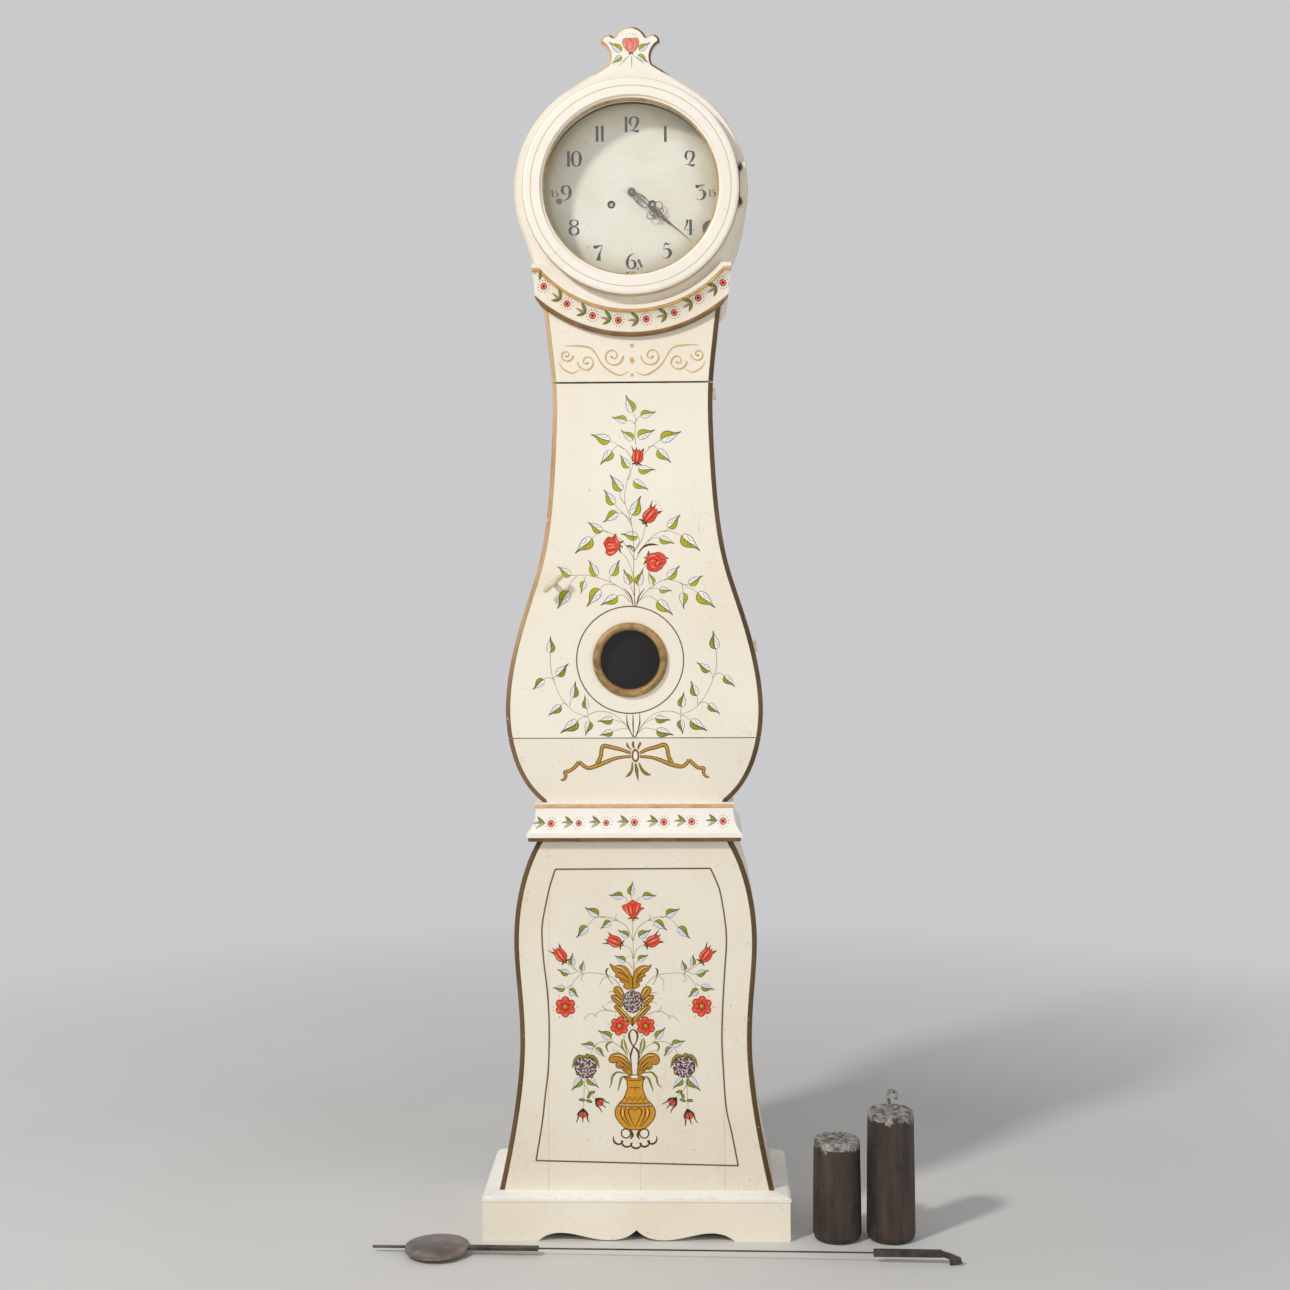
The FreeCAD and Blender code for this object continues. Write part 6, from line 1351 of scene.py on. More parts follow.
BUD_LEAVES = (
    (592.8, 1091.8, 0.2), (589.9, 1095, 1.2), (583, 1099.2, 3.0), (590, 1100.5, -0.3), (680, 1090.8, 0.2),
    (683.4, 1094.6, -1.1), (683.6, 1099.4, 2.8), (690.8, 1099.6, 0.0),
)
# Tip and base of each leaf on the base's panel, in pixels, and the green side.
BASE_LEAVES = (
    (633, 881, 632, 894.5, 1), (609.6, 894.5, 623.6, 896, -1), (657, 895, 643.4, 896, 1),
    (585.4, 906.6, 599, 915, -1), (577, 937, 588, 926, -1), (601, 928, 611.5, 921, -1),
    (680.4, 908, 667, 915, 1), (668, 929.5, 655.5, 921, 1), (691, 938, 679, 927, 1),
    (618.5, 929, 629, 936.5, -1), (652, 929, 639.6, 936.5, 1), (615.4, 955, 626, 961, -1),
    (649, 954, 639, 960, 1), (573, 952.5, 573, 964.6, 1), (584, 960, 583, 970, 1), (558, 969, 569.4, 973, 1),
    (694, 954, 693, 964.6, -1), (683, 959.5, 685, 970, -1), (709.7, 969.7, 697.6, 973.6, -1),
    (553.5, 987.5, 565.6, 987.5, 1), (579.6, 996.5, 570, 989, 1), (715, 989, 702, 985.6, -1),
    (688.7, 996.5, 699, 989, -1), (598.8, 1029.5, 611.8, 1037.7, -1), (666, 1026.7, 657, 1037.7, 1),
    (581.6, 1043, 594.7, 1046, -1), (605.6, 1056, 596.7, 1048, 1), (686, 1039.8, 672.9, 1044.6, 1),
    (664.6, 1055.6, 672, 1046.6, -1), (572.7, 1089.8, 582, 1078, 1), (599.5, 1087, 588.5, 1077, -1),
    (674, 1087.8, 683, 1078, 1), (701, 1090, 689, 1077, -1),
)
BASE_STEMS = (
    ((634, 972), (634, 950), (633.5, 930), (633, 920)), ((632, 894.5), (632.5, 898), (633, 901)),
    ((628, 902), (627, 898), (623.6, 896)), ((637, 902), (639, 898), (643.4, 896)),
    ((633.5, 940), (627, 926), (616, 919), (604, 916), (595, 918), (588, 926)),
    ((606, 917), (602, 917), (599, 915)), ((618, 920), (615, 920), (611.5, 921)),
    ((618, 920), (616, 917), (617.5, 914)),
    ((633.5, 940), (640, 926), (651, 919), (663, 916), (672, 919), (679, 927)),
    ((661, 917), (664, 917), (667, 915)), ((650, 920), (652, 920), (655.5, 921)),
    ((649, 920), (651, 917), (649.5, 914)), ((633.5, 958), (631, 948), (622, 944)),
    ((634.5, 958), (638, 948), (647, 944)), ((633, 968), (630, 963), (626, 961)),
    ((635, 968), (636, 963), (639, 960)),
    ((621, 985), (612, 976), (600, 973), (584, 973), (574, 982), (570, 995)),
    ((584, 973), (574, 968), (566, 961)), ((573, 964.6), (575, 967), (577, 969)),
    ((583, 970), (582, 972), (584, 973)), ((584, 974), (582, 978), (584, 981)),
    ((569.4, 973), (573, 973), (578, 971)), ((572, 984), (569, 987), (565.6, 987.5)),
    ((571, 988), (570, 989)), ((646, 985), (655, 976), (667, 973), (684, 973), (694, 981), (699, 994)),
    ((684, 973), (694, 967), (702, 961)), ((693, 964.6), (691, 967), (689, 969)),
    ((685, 970), (686, 972), (684, 973)), ((684, 974), (687, 978), (684, 981)),
    ((697.6, 973.6), (693, 973), (688, 971)), ((697, 983), (700, 985), (702, 985.6)),
    ((699, 988), (699, 989)),
    ((629, 1058), (623, 1048), (611.8, 1041), (600, 1042), (594, 1048), (592, 1054)),
    ((613, 1042), (613, 1040), (611.8, 1037.7)), ((598, 1043), (596, 1045), (594.7, 1046)),
    ((597, 1045), (597, 1047), (596.7, 1048)),
    ((640, 1058), (646, 1048), (657, 1041), (668, 1042), (674, 1046), (679, 1053)),
    ((655, 1042), (656, 1040), (657, 1037.7)), ((670, 1043), (672, 1044), (672.9, 1044.6)),
    ((671, 1044), (672, 1045), (672, 1046.6)), ((585, 1076), (585, 1092), (584, 1107)),
    ((586, 1084), (591, 1093), (597, 1098)), ((688, 1076), (688, 1092), (689, 1107)),
    ((688, 1084), (682, 1092), (676, 1097)), ((628, 1054), (624, 1043), (626, 1034)),
    ((640, 1054), (645, 1043), (643, 1034)),
)
INNER_STEMS = (
    ((631, 1056), (628.6, 1048), (624.4, 1041)), ((640, 1055), (643, 1047), (647, 1041)),
    ((630, 1062), (622, 1053), (613, 1049)), ((641, 1062), (648, 1053), (658, 1049)),
)
PANEL_LINE = (
    (556, 868.7), (551, 884), (547.7, 898), (543.3, 921), (542.7, 936.5), (544.6, 962), (547.8, 987.5),
    (549.7, 1015), (550, 1043), (549, 1070), (546, 1096), (543, 1123), (537, 1160),
)
PANEL_LINE_RIGHT = (
    (711, 868), (717, 881), (721, 893), (725.7, 921), (727, 943), (725, 975), (723, 1015), (722.6, 1042),
    (724, 1068), (727, 1107), (732.5, 1132), (739, 1164.6),
)
# The joints between the base's boards: the column at the upper and lower row, and those rows.
BOARD_JOINTS = (((549.7, 880), (549.7, 1190)), ((641, 1148), (641.4, 1190)), ((724, 1000), (726, 1190)))
TENDRIL_DOTS = ((596.2, 1015.4), (670.2, 1017))
BASE_BUDS = (
    ((621.6, 943.6), (608.8, 937.6)), ((647.2, 943.8), (660, 937.4)), ((565.6, 960.4), (557, 948.4)),
    ((702, 960.6), (711.4, 948.6)),
)
# Each blossom's pixel, its radius in metres and its turn.
BLOSSOMS = (
    (566.2, 1006.2, 0.0186, 0.52), (702.4, 1005.6, 0.0186, 0.45), (620.4, 1025.4, 0.0172, 0.35),
    (646.6, 1025.4, 0.0172, 0.6),
)
MIDDLE_BERRIES = (633.5, 1001)
SIDE_BERRIES = ((586.6, 1066.5, 5), (684.9, 1065.7, 8))
BERRY_ARCH = ((1.5, -11), (7, -10.6), (11, -6.6), (13.4, 1))
LOOP = (
    (634.3, 1045.8), (631.4, 1041), (630, 1035), (630.9, 1031), (633.9, 1029), (637, 1031), (638.4, 1035),
    (637.2, 1041), (634.3, 1045.8), (632.2, 1051.6), (631.4, 1057.4), (632.6, 1065.7),
)
LOOP_END = ((634.3, 1045.8), (638.2, 1049.6), (639.7, 1055), (638.4, 1065))
# Foot and head of each hanging bud in pixels and its width in metres.
HANGING_BUDS = (
    ((583.9, 1108.6), (583.7, 1117.4), 0.0185), ((597, 1098.4), (603.6, 1104.2), 0.0175),
    ((688.4, 1108.8), (691, 1118.6), 0.0185), ((677, 1097.6), (670.4, 1104.2), 0.0175),
)
VASE_EDGE = (
    (625.2, 1076.6), (627.6, 1080), (628.2, 1084), (628.1, 1088), (624.8, 1097.2), (619.8, 1103),
    (616.6, 1107.9), (616, 1112.9), (618.1, 1118.7), (623.1, 1124.5), (628.1, 1128.8),
)
# The vase's ribs, heart, lights and feet: each place is pixels out from its middle, and a row.
VASE_RIB_SHARES = ((0.9, 1106.6), (1.0, 1112), (0.78, 1119.4), (0.42, 1125.6))
VASE_HEART = ((0, 1109.8), (3, 1107.8), (6.8, 1109.6), (5.4, 1115), (0.4, 1126))
VASE_LIGHT = ((12.4, 1108), (12.4, 1113), (12.4, 1118))
VASE_FOOT = (9.1, 1132.6)
VASE_FOOT_STROKE = ((7.4, 1128.6), (4, 1130.4), (2.6, 1134.6), (4.6, 1138.4))
VASE_MOUTH = (-0.6, 1077)
VASE_NECK = ((0, 1084), (0, 1087), (0, 1091))
VASE_DASHES = (
    ((-5.4, 1086.8), (-3.5, 1086.8), (-1.6, 1086.8)), ((0.2, 1086.8), (2.4, 1086.8), (4.6, 1086.8)),
)
VASE_ZIGZAG = (10.5, 2.6, 1100.4, 1095.8)
# The rows of the lines round the vase's neck, with half their length in pixels, and the beads between.
VASE_LINES = ((1101.8, 15), (1105.4, 17))
VASE_BEADS = (1103.6, 15)
VASE_SAG = 0.8
GROUND_ARCS = (
    (619.6, 1138, 5.2), (652.6, 1137.6, 5.2), (628, 1140.6, 5.6), (645.4, 1140.4, 5.2), (637, 1142, 5.6),
)
GROUND_ARC_HEIGHT = 5.4


def vase(brush):
    """The golden vase that holds the base's flowers, on its looped feet."""
    fine = 0.0013

    def about(run, hand=1.0, wide=1.0):
        return [brush.spot(VASE_MIDDLE + hand * wide * out, row) for out, row in run]

    left = smooth(brush.run(VASE_EDGE), 4)
    axis = brush.spot(VASE_MIDDLE, 1100)[0]
    shape = left + [Vector((2 * axis - point.x, point.y)) for point in reversed(left)]
    brush.fill("vase_gold", shape, 3)
    brush.outline("gold_dark", shape, fine, 7)
    mouth = about((VASE_MOUTH,))[0]
    brush.stack(mouth, 5, ("gold_dark", 0.0182, 28, 0.31), ("gold", 0.0166, 28, 0.27))
    brush.disc("pale", mouth + Vector((0, 0.0018)), 0.0068, 8, 18, 0.3)
    brush.stroke("gold_dark", about(VASE_NECK), (fine * 0.5, fine, fine * 0.4), 5, 3)
    for dash in VASE_DASHES:
        brush.stroke("gold_dark", about(dash), (fine * 0.4, fine * 1.5, fine * 0.4), 5, 3)
    start, step, low, high = VASE_ZIGZAG
    zigzag = about([(i * step - start, low if i % 2 else high) for i in range(9)])
    brush.outline("gold_dark", zigzag, fine * 1.1, 6, False)
    for row, half in VASE_LINES:
        line = about([(half * t, row + VASE_SAG * (1 - t * t)) for t in (-1, -0.5, 0, 0.5, 1)])
        brush.stroke("gold_dark", line, (fine * 0.9, fine * 0.9), 5, 3)
    row, half = VASE_BEADS
    for i in range(11):
        t = i / 5 - 1
        here = about(((half * t, row + VASE_SAG * (1 - t * t)),))[0]
        brush.stack(here, 5, ("berry_dark", 0.0019, 8), ("berry_pale", 0.0012, 7))
    for hand in (-1, 1):
        for out in (14.6, 10.4):
            rib = about(VASE_RIB_SHARES, hand, out)
            brush.stroke("gold_dark", rib, (fine * 0.8, fine * 1.9, fine * 1.2, fine * 0.5), 5, 4)
        heart = about(VASE_HEART, hand)
        brush.stroke("gold_dark", heart, (fine * 0.7, fine * 1.5, fine * 1.6, fine * 0.6), 5, 4)
        brush.stroke("gold_light", about(VASE_LIGHT, hand), (0.0006, 0.003, 0.0006), 4, 4)
        foot = about((VASE_FOOT,), hand)[0]
        brush.stack(foot, 3, ("brown", 0.0092, 26), ("ground", 0.0069, 22))
        brush.stroke("brown", about(VASE_FOOT_STROKE, hand), (0.0014, 0.0034, 0.0044, 0.001), 5, 4)
    for u, v, wide in GROUND_ARCS:
        arc = []
        for k in range(11):
            step = away(math.pi * (1 + k / 10) + (u - VASE_MIDDLE) * 0.028)
            arc.append(brush.spot(u, v) + Vector((step.x * wide, step.y * GROUND_ARC_HEIGHT)) * brush.scale)
        brush.fill("ground", arc, 2)
        brush.stroke("brown", arc, (0.001, 0.0036, 0.003, 0.001), 4, 2)


def golden_leaves(brush):
    """The acanthus leaves above, round and below the middle berries, with the berries between them."""
    for edge, veins in zip(WINGS, WING_VEINS):
        light = [(u, v - lift) for (u, v), lift in zip(veins[0][1:], (2, 1.6, 0.8))]
        plume(brush, edge, veins, (light,))
    for edge, vein in zip(LOBES, LOBE_VEINS):
        light = moved(vein, 0.8, -1.2)
        plume(brush, edge, (vein,), (light,))
        edge, vein, light = [mirrored(run, LOBE_MIDDLE) for run in (edge, vein, light)]
        plume(brush, edge, (vein,), (light,))
    berries(brush, brush.spot(*MIDDLE_BERRIES), 0.0182, 44, 3, 1.12)
    for edge, veins in zip(PLUMES, PLUME_VEINS):
        plume(brush, edge, veins, (moved(veins[0][1:], 0, -1.5),), 0.0012)


def hanging_sprays(brush):
    """The two clusters of berries at the vase's sides, under their leaves, and the buds below them."""
    for u, v, seed in SIDE_BERRIES:
        berries(brush, brush.spot(u, v), 0.0202, 34, seed)
        arches = [[(u + hand * out, v + down) for out, down in BERRY_ARCH] for hand in (-1, 1)]
        brush.layered(arches, 6, 4, ("vein_dark", 0.002, 0.0062, 0.0044, 0.0008),
                      ("hip", 0.0012, 0.0042, 0.0024, 0.0004))
        brush.stack(brush.spot(u + 1.6, v - 11), 8, ("vein_dark", 0.0046, 12), ("hip", 0.0034, 12))
    for u, v, turn in BUD_LEAVES:
        brush.stack(brush.spot(u, v), 2, ("sepal", 0.006, 12, 0.44, turn), ("olive", 0.0044, 12, 0.3, turn))
    for foot, head, wide in HANGING_BUDS:
        hanging_bud(brush, brush.spot(*foot), brush.spot(*head), wide)


def paint_base():
    """The panel line and the vase of flowers on the base."""
    brush = Painter("base_flowers", "case", "base_front", base_coats, BASE_SCALE)
    brush.strokes("groove", BOARD_JOINTS, (0.0003, 0.0007), 1, 2)
    sides = [brush.run(PANEL_LINE), brush.run(PANEL_LINE_RIGHT)]
    for side in sides:
        brush.stroke("panel", side, (PANEL_WIDTH, PANEL_WIDTH), 2, 4)
    for end in (0, -1):
        brush.outline("panel", (sides[0][end], sides[1][end]), PANEL_WIDTH, 2, False)
    vine(brush, BASE_LEAVES, BASE_STEMS, (), "olive", "blue", 0.27, "vein_dark")
    brush.strokes("stem", CURLS, (0.0013, 0.0009, 0.0007), 1)
    brush.strokes("brown", [run[1:] for run in CURLS[:2]], (0.0008, 0.0032, 0.001))
    for u, v in TENDRIL_DOTS:
        brush.ring("stem", brush.spot(u, v), 0.0016, 0.0007, 1, 10)
    drawn_flower(brush, BASE_TULIP)
    brush.disc("hip", brush.spot(*TULIP_HIP), 0.0024, 6, 10)
    for foot, head in BASE_BUDS:
        bud(brush, brush.spot(*foot), brush.spot(*head), 0.0195)
    for u, v, radius, turn in BLOSSOMS:
        blossom(brush, brush.spot(u, v), radius, turn)
    golden_leaves(brush)
    brush.layered(DROOPS + CRESCENTS, 2, 4, ("leaf_rim", 0.001, 0.0038, 0.003, 0.0006),
                  ("hip", 0.0002, 0.002, 0.0014, 0.0002))
    brush.layered(TONGUES, 2, 5, ("leaf_rim", 0.0042, 0.0104, 0.001), ("olive", 0.0028, 0.0084, 0.0006),
                  ("pale", 0.0006, 0.0018, 0.0003))
    brush.layered((LOOP,), 3, 4, ("brown", 0.0016, 0.0038, 0.0014, 0.0038, 0.0016, 0.0034, 0.001))
    brush.layered((LOOP_END,), 3, 4, ("brown", 0.0016, 0.004, 0.0032, 0.001))
    brush.strokes("stem", INNER_STEMS, (0.0012, 0.0008, 0.0007), 1)
    hanging_sprays(brush)
    vase(brush)
    plugs(brush, "base_front")
    brush.done()


# The crest's rose as for the door's roses, then its leaves by tip, base and green side.
CREST_ROSE = (
    ((629, 53.8), (625.9, 51.2), (623.8, 48.2), (622.7, 45.2), (622.6, 42.4), (624, 40.2), (628.1, 39.7),
     (631, 39.8), (634.4, 39.6), (637.2, 39.9), (638.7, 43), (638.3, 46.9), (636.3, 50.4), (632.4, 54.3)),
    (((628.4, 41), (630.7, 42.3), (632.9, 44.3), (633, 48.6), (630.7, 50.6)),
     ((626.2, 43), (626, 47.5), (628.6, 51.6)), ((628.6, 39.8), (629.6, 41.2), (631.6, 41)),
     ((636.6, 42), (636.4, 46.6), (633.6, 51))),
    (((624.6, 43.6), (624.8, 46.6), (627, 50)), ((629.6, 45), (629.2, 48), (630.6, 52)),
     ((635, 43.6), (635, 47), (633, 50))),
    (((630.2, 54), (629.6, 55.2), (628.8, 56)), ((631.2, 54), (632, 55.2), (632.8, 56))),
)
CREST_LEAVES = (
    (608.8, 43.1, 621.1, 52.7, -1), (650, 43.9, 639.3, 51.8, 1), (612.3, 65, 621.1, 57.1, 1),
    (648.2, 64.1, 637.7, 57.1, 1),
)
CREST_STEMS = (
    ((628.9, 57.1), (624, 62), (619.3, 67.6)), ((631.6, 57.1), (631.6, 63), (631.6, 69.4)),
    ((633.3, 57.1), (638.6, 61), (643.9, 65.9)),
)
CREST_RAYS = (
    ((626.6, 37.4), (625, 35.6)), ((629.4, 37), (629, 34.6)), ((632.2, 36.8), (632.6, 34.4)),
    ((635, 37.2), (636.4, 35.4)),
)


def paint_crest():
    """The rose and its four leaves on the crest."""
    coats = dict(case_coats)
    coats["salmon"] = coat("salmon_petal", "F0937F", "E87E6A", CASE_LIGHT, 0.15)
    coats["salmon_line"] = coat("petal_line", "B07060", "99604F", CASE_LIGHT, 0.2)
    coats["salmon_light"] = coat("petal_light", "F8B8A4", "F4A892", CASE_LIGHT, 0.2)
    brush = Painter("crest_rose", "hood", "hood_front", coats)
    vine(brush, CREST_LEAVES, (), (), "leaf", "blue", 0.24)
    drawn_flower(brush, CREST_ROSE, ("salmon", "salmon_line", "salmon_light"), 0.0007)
    brush.strokes("hip", CREST_STEMS, (0.0008, 0.0012, 0.0004))
    brush.strokes("gold_light", CREST_RAYS, (0.001, 0.0006), 2, 2)
    brush.done()


FRIEZE_LEVEL = 1.544
# Each scroll of the frieze: its place, radius, turns, first angle and hand.
FRIEZE_SCROLLS = (
    (0.034, 0.004, 0.0185, 1.4, math.pi, 1), (0.080, -0.006, 0.0165, 1.35, 0, -1),
    (0.116, 0.006, 0.0125, 1.3, math.pi, 1),
)
# The sweeps between the scrolls with their widths, then the drops in the middle.
FRIEZE_SWEEPS = (
    (((0.006, -0.024), (0.024, -0.03), (0.05, -0.014), (0.07, 0.016), (0.094, 0.022), (0.118, 0.022)),
     (0.0008, 0.0034, 0.0022, 0.0034, 0.0008)),
    (((0.094, -0.02), (0.106, -0.026), (0.122, -0.018), (0.129, -0.006)), (0.0008, 0.003, 0.0008)),
)
FRIEZE_DROPS = ((0.022, 0.003), (-0.004, 0.0042), (-0.03, 0.0026))


def paint_frieze():
    """A scrolled flourish in thin tan lines across the frieze."""
    tan = {"tan": coat("tan_line", "CFA56C", "E0BC86", CASE_LIGHT, 0.35),
           "tan_dark": coat("tan_shadow_line", "A98450", "B99460", CASE_LIGHT, 0.35)}
    brush = Painter("frieze_scrolls", "case", "frieze_panel", tan)
    for hand in (-1, 1):
        for x, z, radius, turns, start, way in FRIEZE_SCROLLS:
            angle = start if hand > 0 else math.pi - start
            for ink, shift, width, layer in (("tan", 0, 0.0023, 2), ("tan_dark", 0.0012, 0.0008, 1)):
                centre = (hand * x + shift, FRIEZE_LEVEL + z - shift)
                scroll(brush, ink, centre, radius, turns, angle, way * hand, width, layer)
        for run, widths in FRIEZE_SWEEPS:
            brush.stroke("tan", [(hand * x, FRIEZE_LEVEL + z) for x, z in run], widths, 2, 5)
    for z, size in FRIEZE_DROPS:
        brush.disc("tan", (0, FRIEZE_LEVEL + z), size, 2, 14, 1.3)
    brush.done()


# The dial's figures in a box one high: each one's width, then its strokes with their widths.
FIGURE_SHARES = {
    "0": (0.62, (
         (((0.31, 0.98), (0.12, 0.86), (0.05, 0.5), (0.12, 0.14), (0.31, 0.02)),
          (0.03, 0.1, 0.17, 0.1, 0.03)),
         (((0.31, 0.98), (0.5, 0.86), (0.57, 0.5), (0.5, 0.14), (0.31, 0.02)),
          (0.03, 0.1, 0.17, 0.1, 0.03)))),
    "1": (0.26, (
         (((0.14, 0.99), (0.14, 0.0)), (0.14, 0.14)), (((0.02, 0.92), (0.14, 0.97)), (0.02, 0.07)))),
    "2": (0.64, (
         (((0.16, 0.42), (0.05, 0.64), (0.12, 0.9), (0.32, 0.99)), (0.03, 0.14, 0.11, 0.03)),
         (((0.3, 0.99), (0.52, 0.88), (0.54, 0.62), (0.4, 0.34), (0.2, 0.08)),
          (0.03, 0.13, 0.15, 0.09, 0.02)),
         (((0.02, 0.13), (0.3, 0.1), (0.5, 0.06), (0.62, 0.16)), (0.015, 0.06, 0.15, 0.03)))),
    "3": (0.62, (
         (((0.04, 0.99), (0.1, 0.86), (0.3, 0.93), (0.58, 0.98)), (0.02, 0.2, 0.08, 0.015)),
         (((0.58, 0.98), (0.4, 0.78), (0.2, 0.62)), (0.015, 0.03, 0.015)),
         (((0.2, 0.62), (0.46, 0.62), (0.58, 0.4), (0.5, 0.14), (0.26, 0.02)),
          (0.02, 0.08, 0.19, 0.12, 0.02)), (((0.26, 0.02), (0.1, 0.06), (0.04, 0.16)), (0.02, 0.03, 0.02)))),
    "4": (0.56, (
         (((0.44, 0.99), (0.44, 0.0)), (0.15, 0.15)),
         (((0.24, 0.99), (0.2, 0.7), (0.04, 0.34)), (0.15, 0.09, 0.02)),
         (((0.02, 0.34), (0.56, 0.34)), (0.025, 0.03)))),
    "5": (0.6, (
         (((0.2, 0.98), (0.4, 0.92), (0.58, 0.99)), (0.14, 0.07, 0.015)),
         (((0.2, 0.96), (0.14, 0.74), (0.12, 0.6)), (0.06, 0.03, 0.02)),
         (((0.12, 0.6), (0.4, 0.62), (0.55, 0.4), (0.46, 0.14), (0.22, 0.02)),
          (0.02, 0.1, 0.19, 0.12, 0.02)), (((0.22, 0.02), (0.1, 0.05), (0.04, 0.13)), (0.02, 0.03, 0.02)))),
    "6": (0.62, (
         (((0.5, 0.99), (0.2, 0.82), (0.06, 0.46), (0.12, 0.14), (0.32, 0.02)),
          (0.02, 0.09, 0.17, 0.1, 0.03)),
         (((0.32, 0.02), (0.52, 0.12), (0.56, 0.34), (0.46, 0.54), (0.24, 0.56)),
          (0.03, 0.12, 0.16, 0.08, 0.02)))),
    "7": (0.6, (
         (((0.03, 0.98), (0.14, 0.88), (0.4, 0.95), (0.6, 0.98)), (0.03, 0.2, 0.07, 0.015)),
         (((0.6, 0.98), (0.48, 0.66), (0.38, 0.34), (0.34, 0.02)), (0.015, 0.05, 0.14, 0.27)))),
    "8": (0.62, (
         (((0.31, 0.99), (0.11, 0.9), (0.09, 0.7), (0.31, 0.55)), (0.03, 0.1, 0.11, 0.03)),
         (((0.31, 0.99), (0.51, 0.9), (0.53, 0.7), (0.31, 0.55)), (0.03, 0.08, 0.12, 0.03)),
         (((0.31, 0.55), (0.07, 0.42), (0.07, 0.14), (0.31, 0.01)), (0.03, 0.14, 0.12, 0.03)),
         (((0.31, 0.55), (0.55, 0.42), (0.55, 0.14), (0.31, 0.01)), (0.03, 0.1, 0.14, 0.03)))),
    "9": (0.62, (
         (((0.3, 0.99), (0.1, 0.88), (0.06, 0.66), (0.16, 0.48), (0.36, 0.44)),
          (0.03, 0.12, 0.16, 0.08, 0.02)),
         (((0.3, 0.99), (0.5, 0.88), (0.56, 0.56), (0.46, 0.2), (0.14, 0.01)),
          (0.03, 0.1, 0.17, 0.09, 0.02)))),
}
FIGURE_GAP_SHARE = 0.07
FIGURE_WEIGHT = 1.2


def number(brush, text, centre, size):
    """A number set in the dial's own figures about a centre."""
    widths = [FIGURE_SHARES[figure][0] for figure in text]
    total = (sum(widths) + FIGURE_GAP_SHARE * (len(text) - 1)) * size
    x = centre[0] - total / 2
    for figure, width in zip(text, widths):
        for points, swell in FIGURE_SHARES[figure][1]:
            run = [(x + along * size, centre[1] + (up - 0.5) * size) for along, up in points]
            steps = 5 if len(points) > 2 else 1
            brush.stroke("figure", run, [wide * size * FIGURE_WEIGHT for wide in swell], 1, steps)
        x += (width + FIGURE_GAP_SHARE) * size


HOURS = {
    "12": (630.8, 122), "1": (664.6, 132), "2": (689.5, 157), "3": (700, 191), "4": (687.7, 226),
    "5": (666, 249.5), "6": (630.5, 259.5), "7": (597, 251), "8": (573, 225), "9": (565, 190.5),
    "10": (572.6, 156), "11": (598.6, 131),
}
MINUTES = {"15": (712, 192), "30": (630.5, 273.5), "45": (552.6, 191)}
HOUR_SIZE = 0.0282
MINUTE_SIZE = 0.0125
WINDING_OUT = 0.0364
WINDING_DOWN = 0.021
RUST = (558, 198.6)
CHIP = ((702, 225), (705, 221), (711, 219), (712, 228), (708, 234), (703, 232))
SMALL_CHIPS = ((638.6, 260, 0.003), (640.5, 264, 0.0026), (637.5, 267, 0.0016))


def paint_dial():
    """Hour and minute numbers, a rust spot, chips, and black rings of painted shade round the winding holes.
    """
    coats = {"figure": coat("figure_black", "262629", "3A393A", "E4DDC4", 0.2),
             "rust": coat("rust_spot", "9A7462", "7E5B4A", "E4DDC4", 0.1),
             "chip": coat("bare_iron_chip", "6B6560", "57514C", "E4DDC4", 0.1)}
    brush = Painter("dial_figures", "case", "dial_plate", coats, DIAL_SCALE)
    for places, size in ((HOURS, HOUR_SIZE), (MINUTES, MINUTE_SIZE)):
        for text, (u, v) in places.items():
            number(brush, text, brush.spot(u, v), size)
    # Painted shade: black rings that widen the dark gap round each winding square.
    for hand in (-1, 1):
        brush.ring("figure", (hand * WINDING_OUT, DIAL - WINDING_DOWN), 0.0066, 0.0011, 2, 24)
    brush.disc("rust", brush.spot(*RUST), 0.0055, 2, 16)
    brush.fill("chip", smooth(brush.run(CHIP + CHIP[:1]), 3)[:-1], 2)
    for u, v, size in SMALL_CHIPS:
        brush.disc("chip", brush.spot(u, v), size, 2, 7, 1.7, 0.4)
    brush.done()


def paint_rings():
    """The thin line on the ring door's face."""
    coats = {"tan": coat("ring_line_tan", "CDB48C", "B99E74", CASE_LIGHT, 0.35)}
    brush = Painter("ring_door_line", "hood_door", "hood_door_ring", coats)
    brush.ring("tan", (0, DIAL), RING_LINE, 0.0011, 1, 128)
    brush.done()


paint_edges()
paint_door()
paint_lower_panel()
paint_collar()
paint_belt()
paint_base()
paint_crest()
paint_frieze()
paint_dial()
paint_rings()


def shown(tree):
    """1 for rays by which the picture, a reflection or glass shows a thing, 0 for rays that light one."""
    path = tree.nodes.new("ShaderNodeLightPath")
    found = path.outputs["Is Camera Ray"]
    for name in ("Is Transmission Ray", "Is Glossy Ray"):
        either = tree.nodes.new("ShaderNodeMath")
        either.operation = "MAXIMUM"
        tree.links.new(found, either.inputs[0])
        tree.links.new(path.outputs[name], either.inputs[1])
        found = either.outputs[0]
    return found


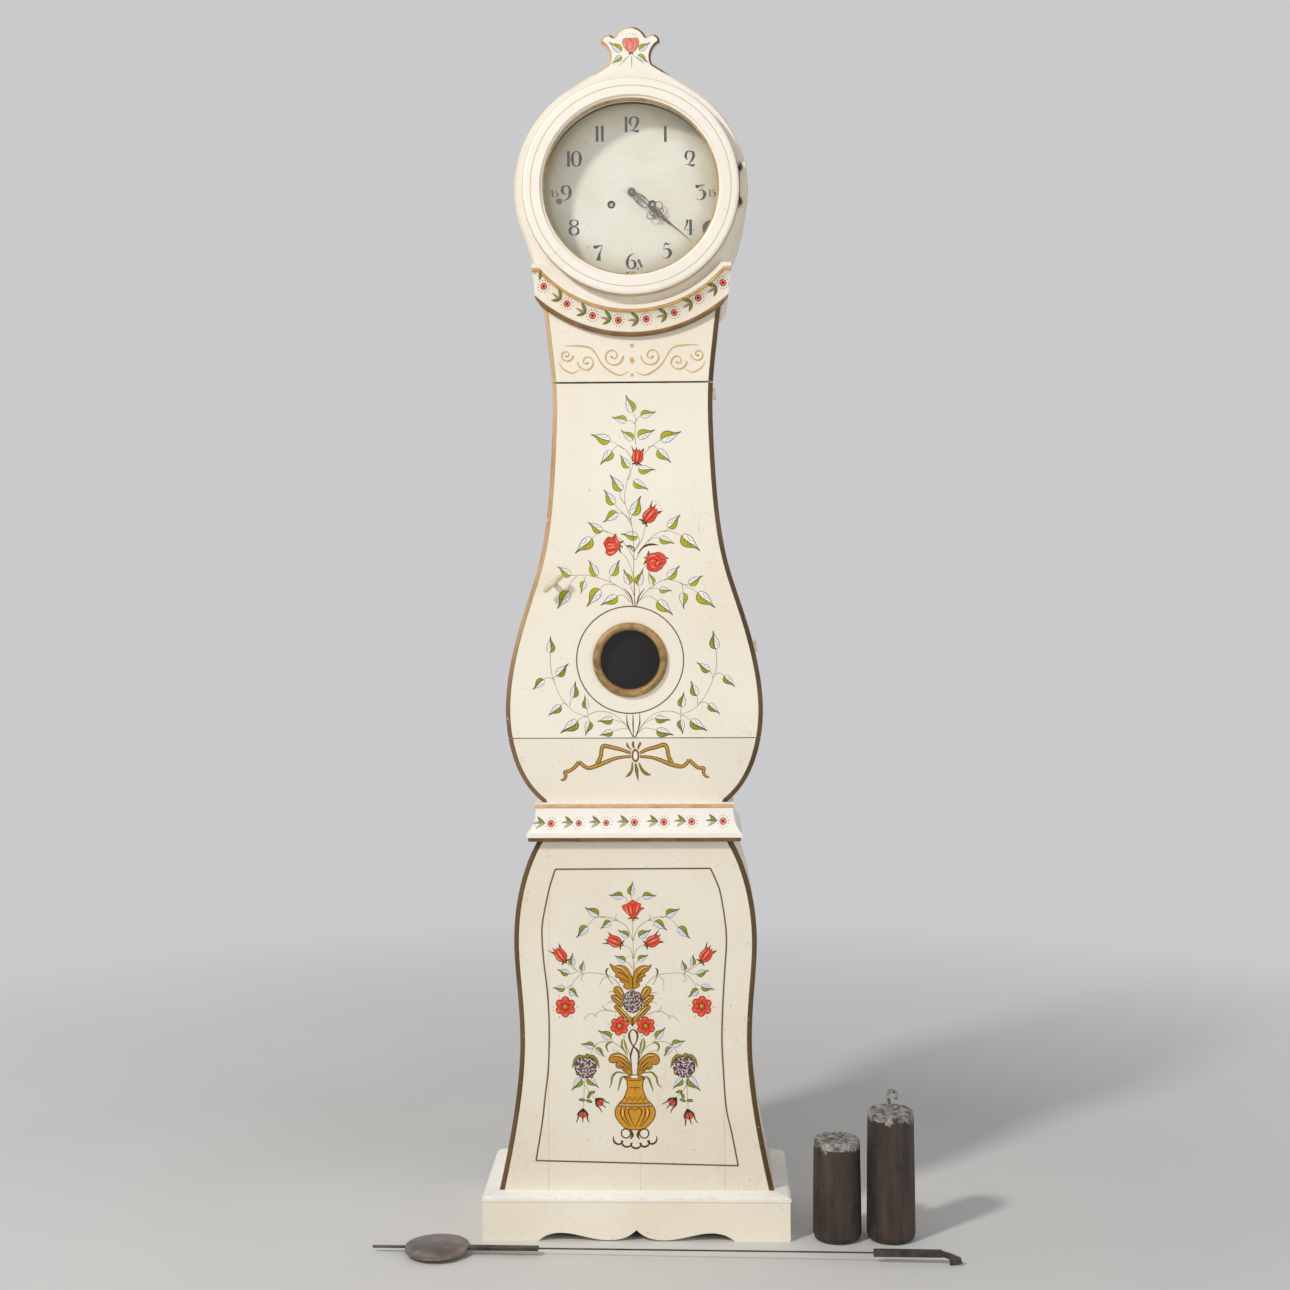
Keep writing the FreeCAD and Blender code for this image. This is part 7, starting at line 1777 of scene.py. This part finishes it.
def studio_floor():
    """A plain pale floor that fades into the backdrop's colour far from the clock."""
    side = 60.0
    corners = [(-side, -side, 0.0), (side, -side, 0.0), (side, side, 0.0), (-side, side, 0.0)]
    mesh = bpy.data.meshes.new("floor")
    mesh.from_pydata(corners, [], [(0, 1, 2, 3)])
    thing = bpy.data.objects.new("floor", mesh)
    bpy.context.scene.collection.objects.link(thing)
    graph = Graph("floor_plain")
    tone = graph.mix(graph.cloud(1.4, 4.0, 0.55, 0.35, 0.7), "DCDAD7", "D6D4D1")
    material = graph.finish(tone, 0.8)
    graph.shader.inputs["Specular IOR Level"].default_value = 0.2
    place = graph.parts(graph.place)
    far = graph.spread(graph.reach(place[0], place[1]), FADE_START, FADE_END)
    seen = graph.add("ShaderNodeEmission")
    seen.inputs["Color"].default_value = shade(BACKDROP)
    both = graph.add("ShaderNodeMixShader")
    graph.join(graph.times(far, shown(graph.tree)), both.inputs[0])
    graph.join(graph.shader.outputs[0], both.inputs[1])
    graph.join(seen.outputs[0], both.inputs[2])
    graph.join(both.outputs[0], graph.output.inputs[0])
    mesh.materials.append(material)


# Each lamp's name, place and aim in metres, side, power and tint.
LAMPS = (
    ("key", (-3.0, -3.6, 4.3), (0, -0.25, 1.1), 0.55, 184, (1.0, 0.985, 0.96)),
    ("fill", (2.8, -3.2, 0.9), (0, -0.25, 0.7), 2.6, 34, (1.0, 0.99, 0.98)),
)


def lamp(name, place, aim, size, power, warmth):
    """A soft square lamp turned to a point."""
    light = bpy.data.lights.new(name, "AREA")
    light.shape = "SQUARE"
    light.size = size
    light.energy = power
    light.color = warmth
    thing = bpy.data.objects.new(name, light)
    thing.location = place
    thing.rotation_euler = (Vector(aim) - Vector(place)).to_track_quat("-Z", "Y").to_euler()
    bpy.context.scene.collection.objects.link(thing)


def light_scene():
    """A pale surround and soft studio lamps, the main one from the upper left."""
    world = bpy.data.worlds.new("studio")
    bpy.context.scene.world = world
    world.use_nodes = True
    tree = world.node_tree
    tree.nodes.clear()
    output = tree.nodes.new("ShaderNodeOutputWorld")
    mixed = tree.nodes.new("ShaderNodeMixShader")
    tree.links.new(shown(tree), mixed.inputs[0])
    for i, colour, strength in ((1, SURROUND, SURROUND_STRENGTH), (2, shade(BACKDROP), 1.0)):
        ground = tree.nodes.new("ShaderNodeBackground")
        ground.inputs["Color"].default_value = colour
        ground.inputs["Strength"].default_value = strength
        tree.links.new(ground.outputs[0], mixed.inputs[i])
    tree.links.new(mixed.outputs[0], output.inputs[0])
    for row in LAMPS:
        lamp(*row)


def place_camera():
    """The photograph's camera: level, a little to the right, turned slightly left."""
    data = bpy.data.cameras.new("photo_view")
    data.sensor_width = 36.0
    data.lens = FOCAL_PIXELS / PICTURE * data.sensor_width
    data.shift_y = (HORIZON - PICTURE / 2) / PICTURE
    thing = bpy.data.objects.new("photo_view", data)
    thing.location = (EYE_RIGHT, EYE_AHEAD, EYE_LEVEL)
    thing.rotation_euler = (math.radians(90), math.radians(EYE_ROLL), math.radians(EYE_TURN))
    bpy.context.scene.collection.objects.link(thing)
    bpy.context.scene.camera = thing


studio_floor()
light_scene()
place_camera()
bpy.context.scene.view_settings.view_transform = "Standard"
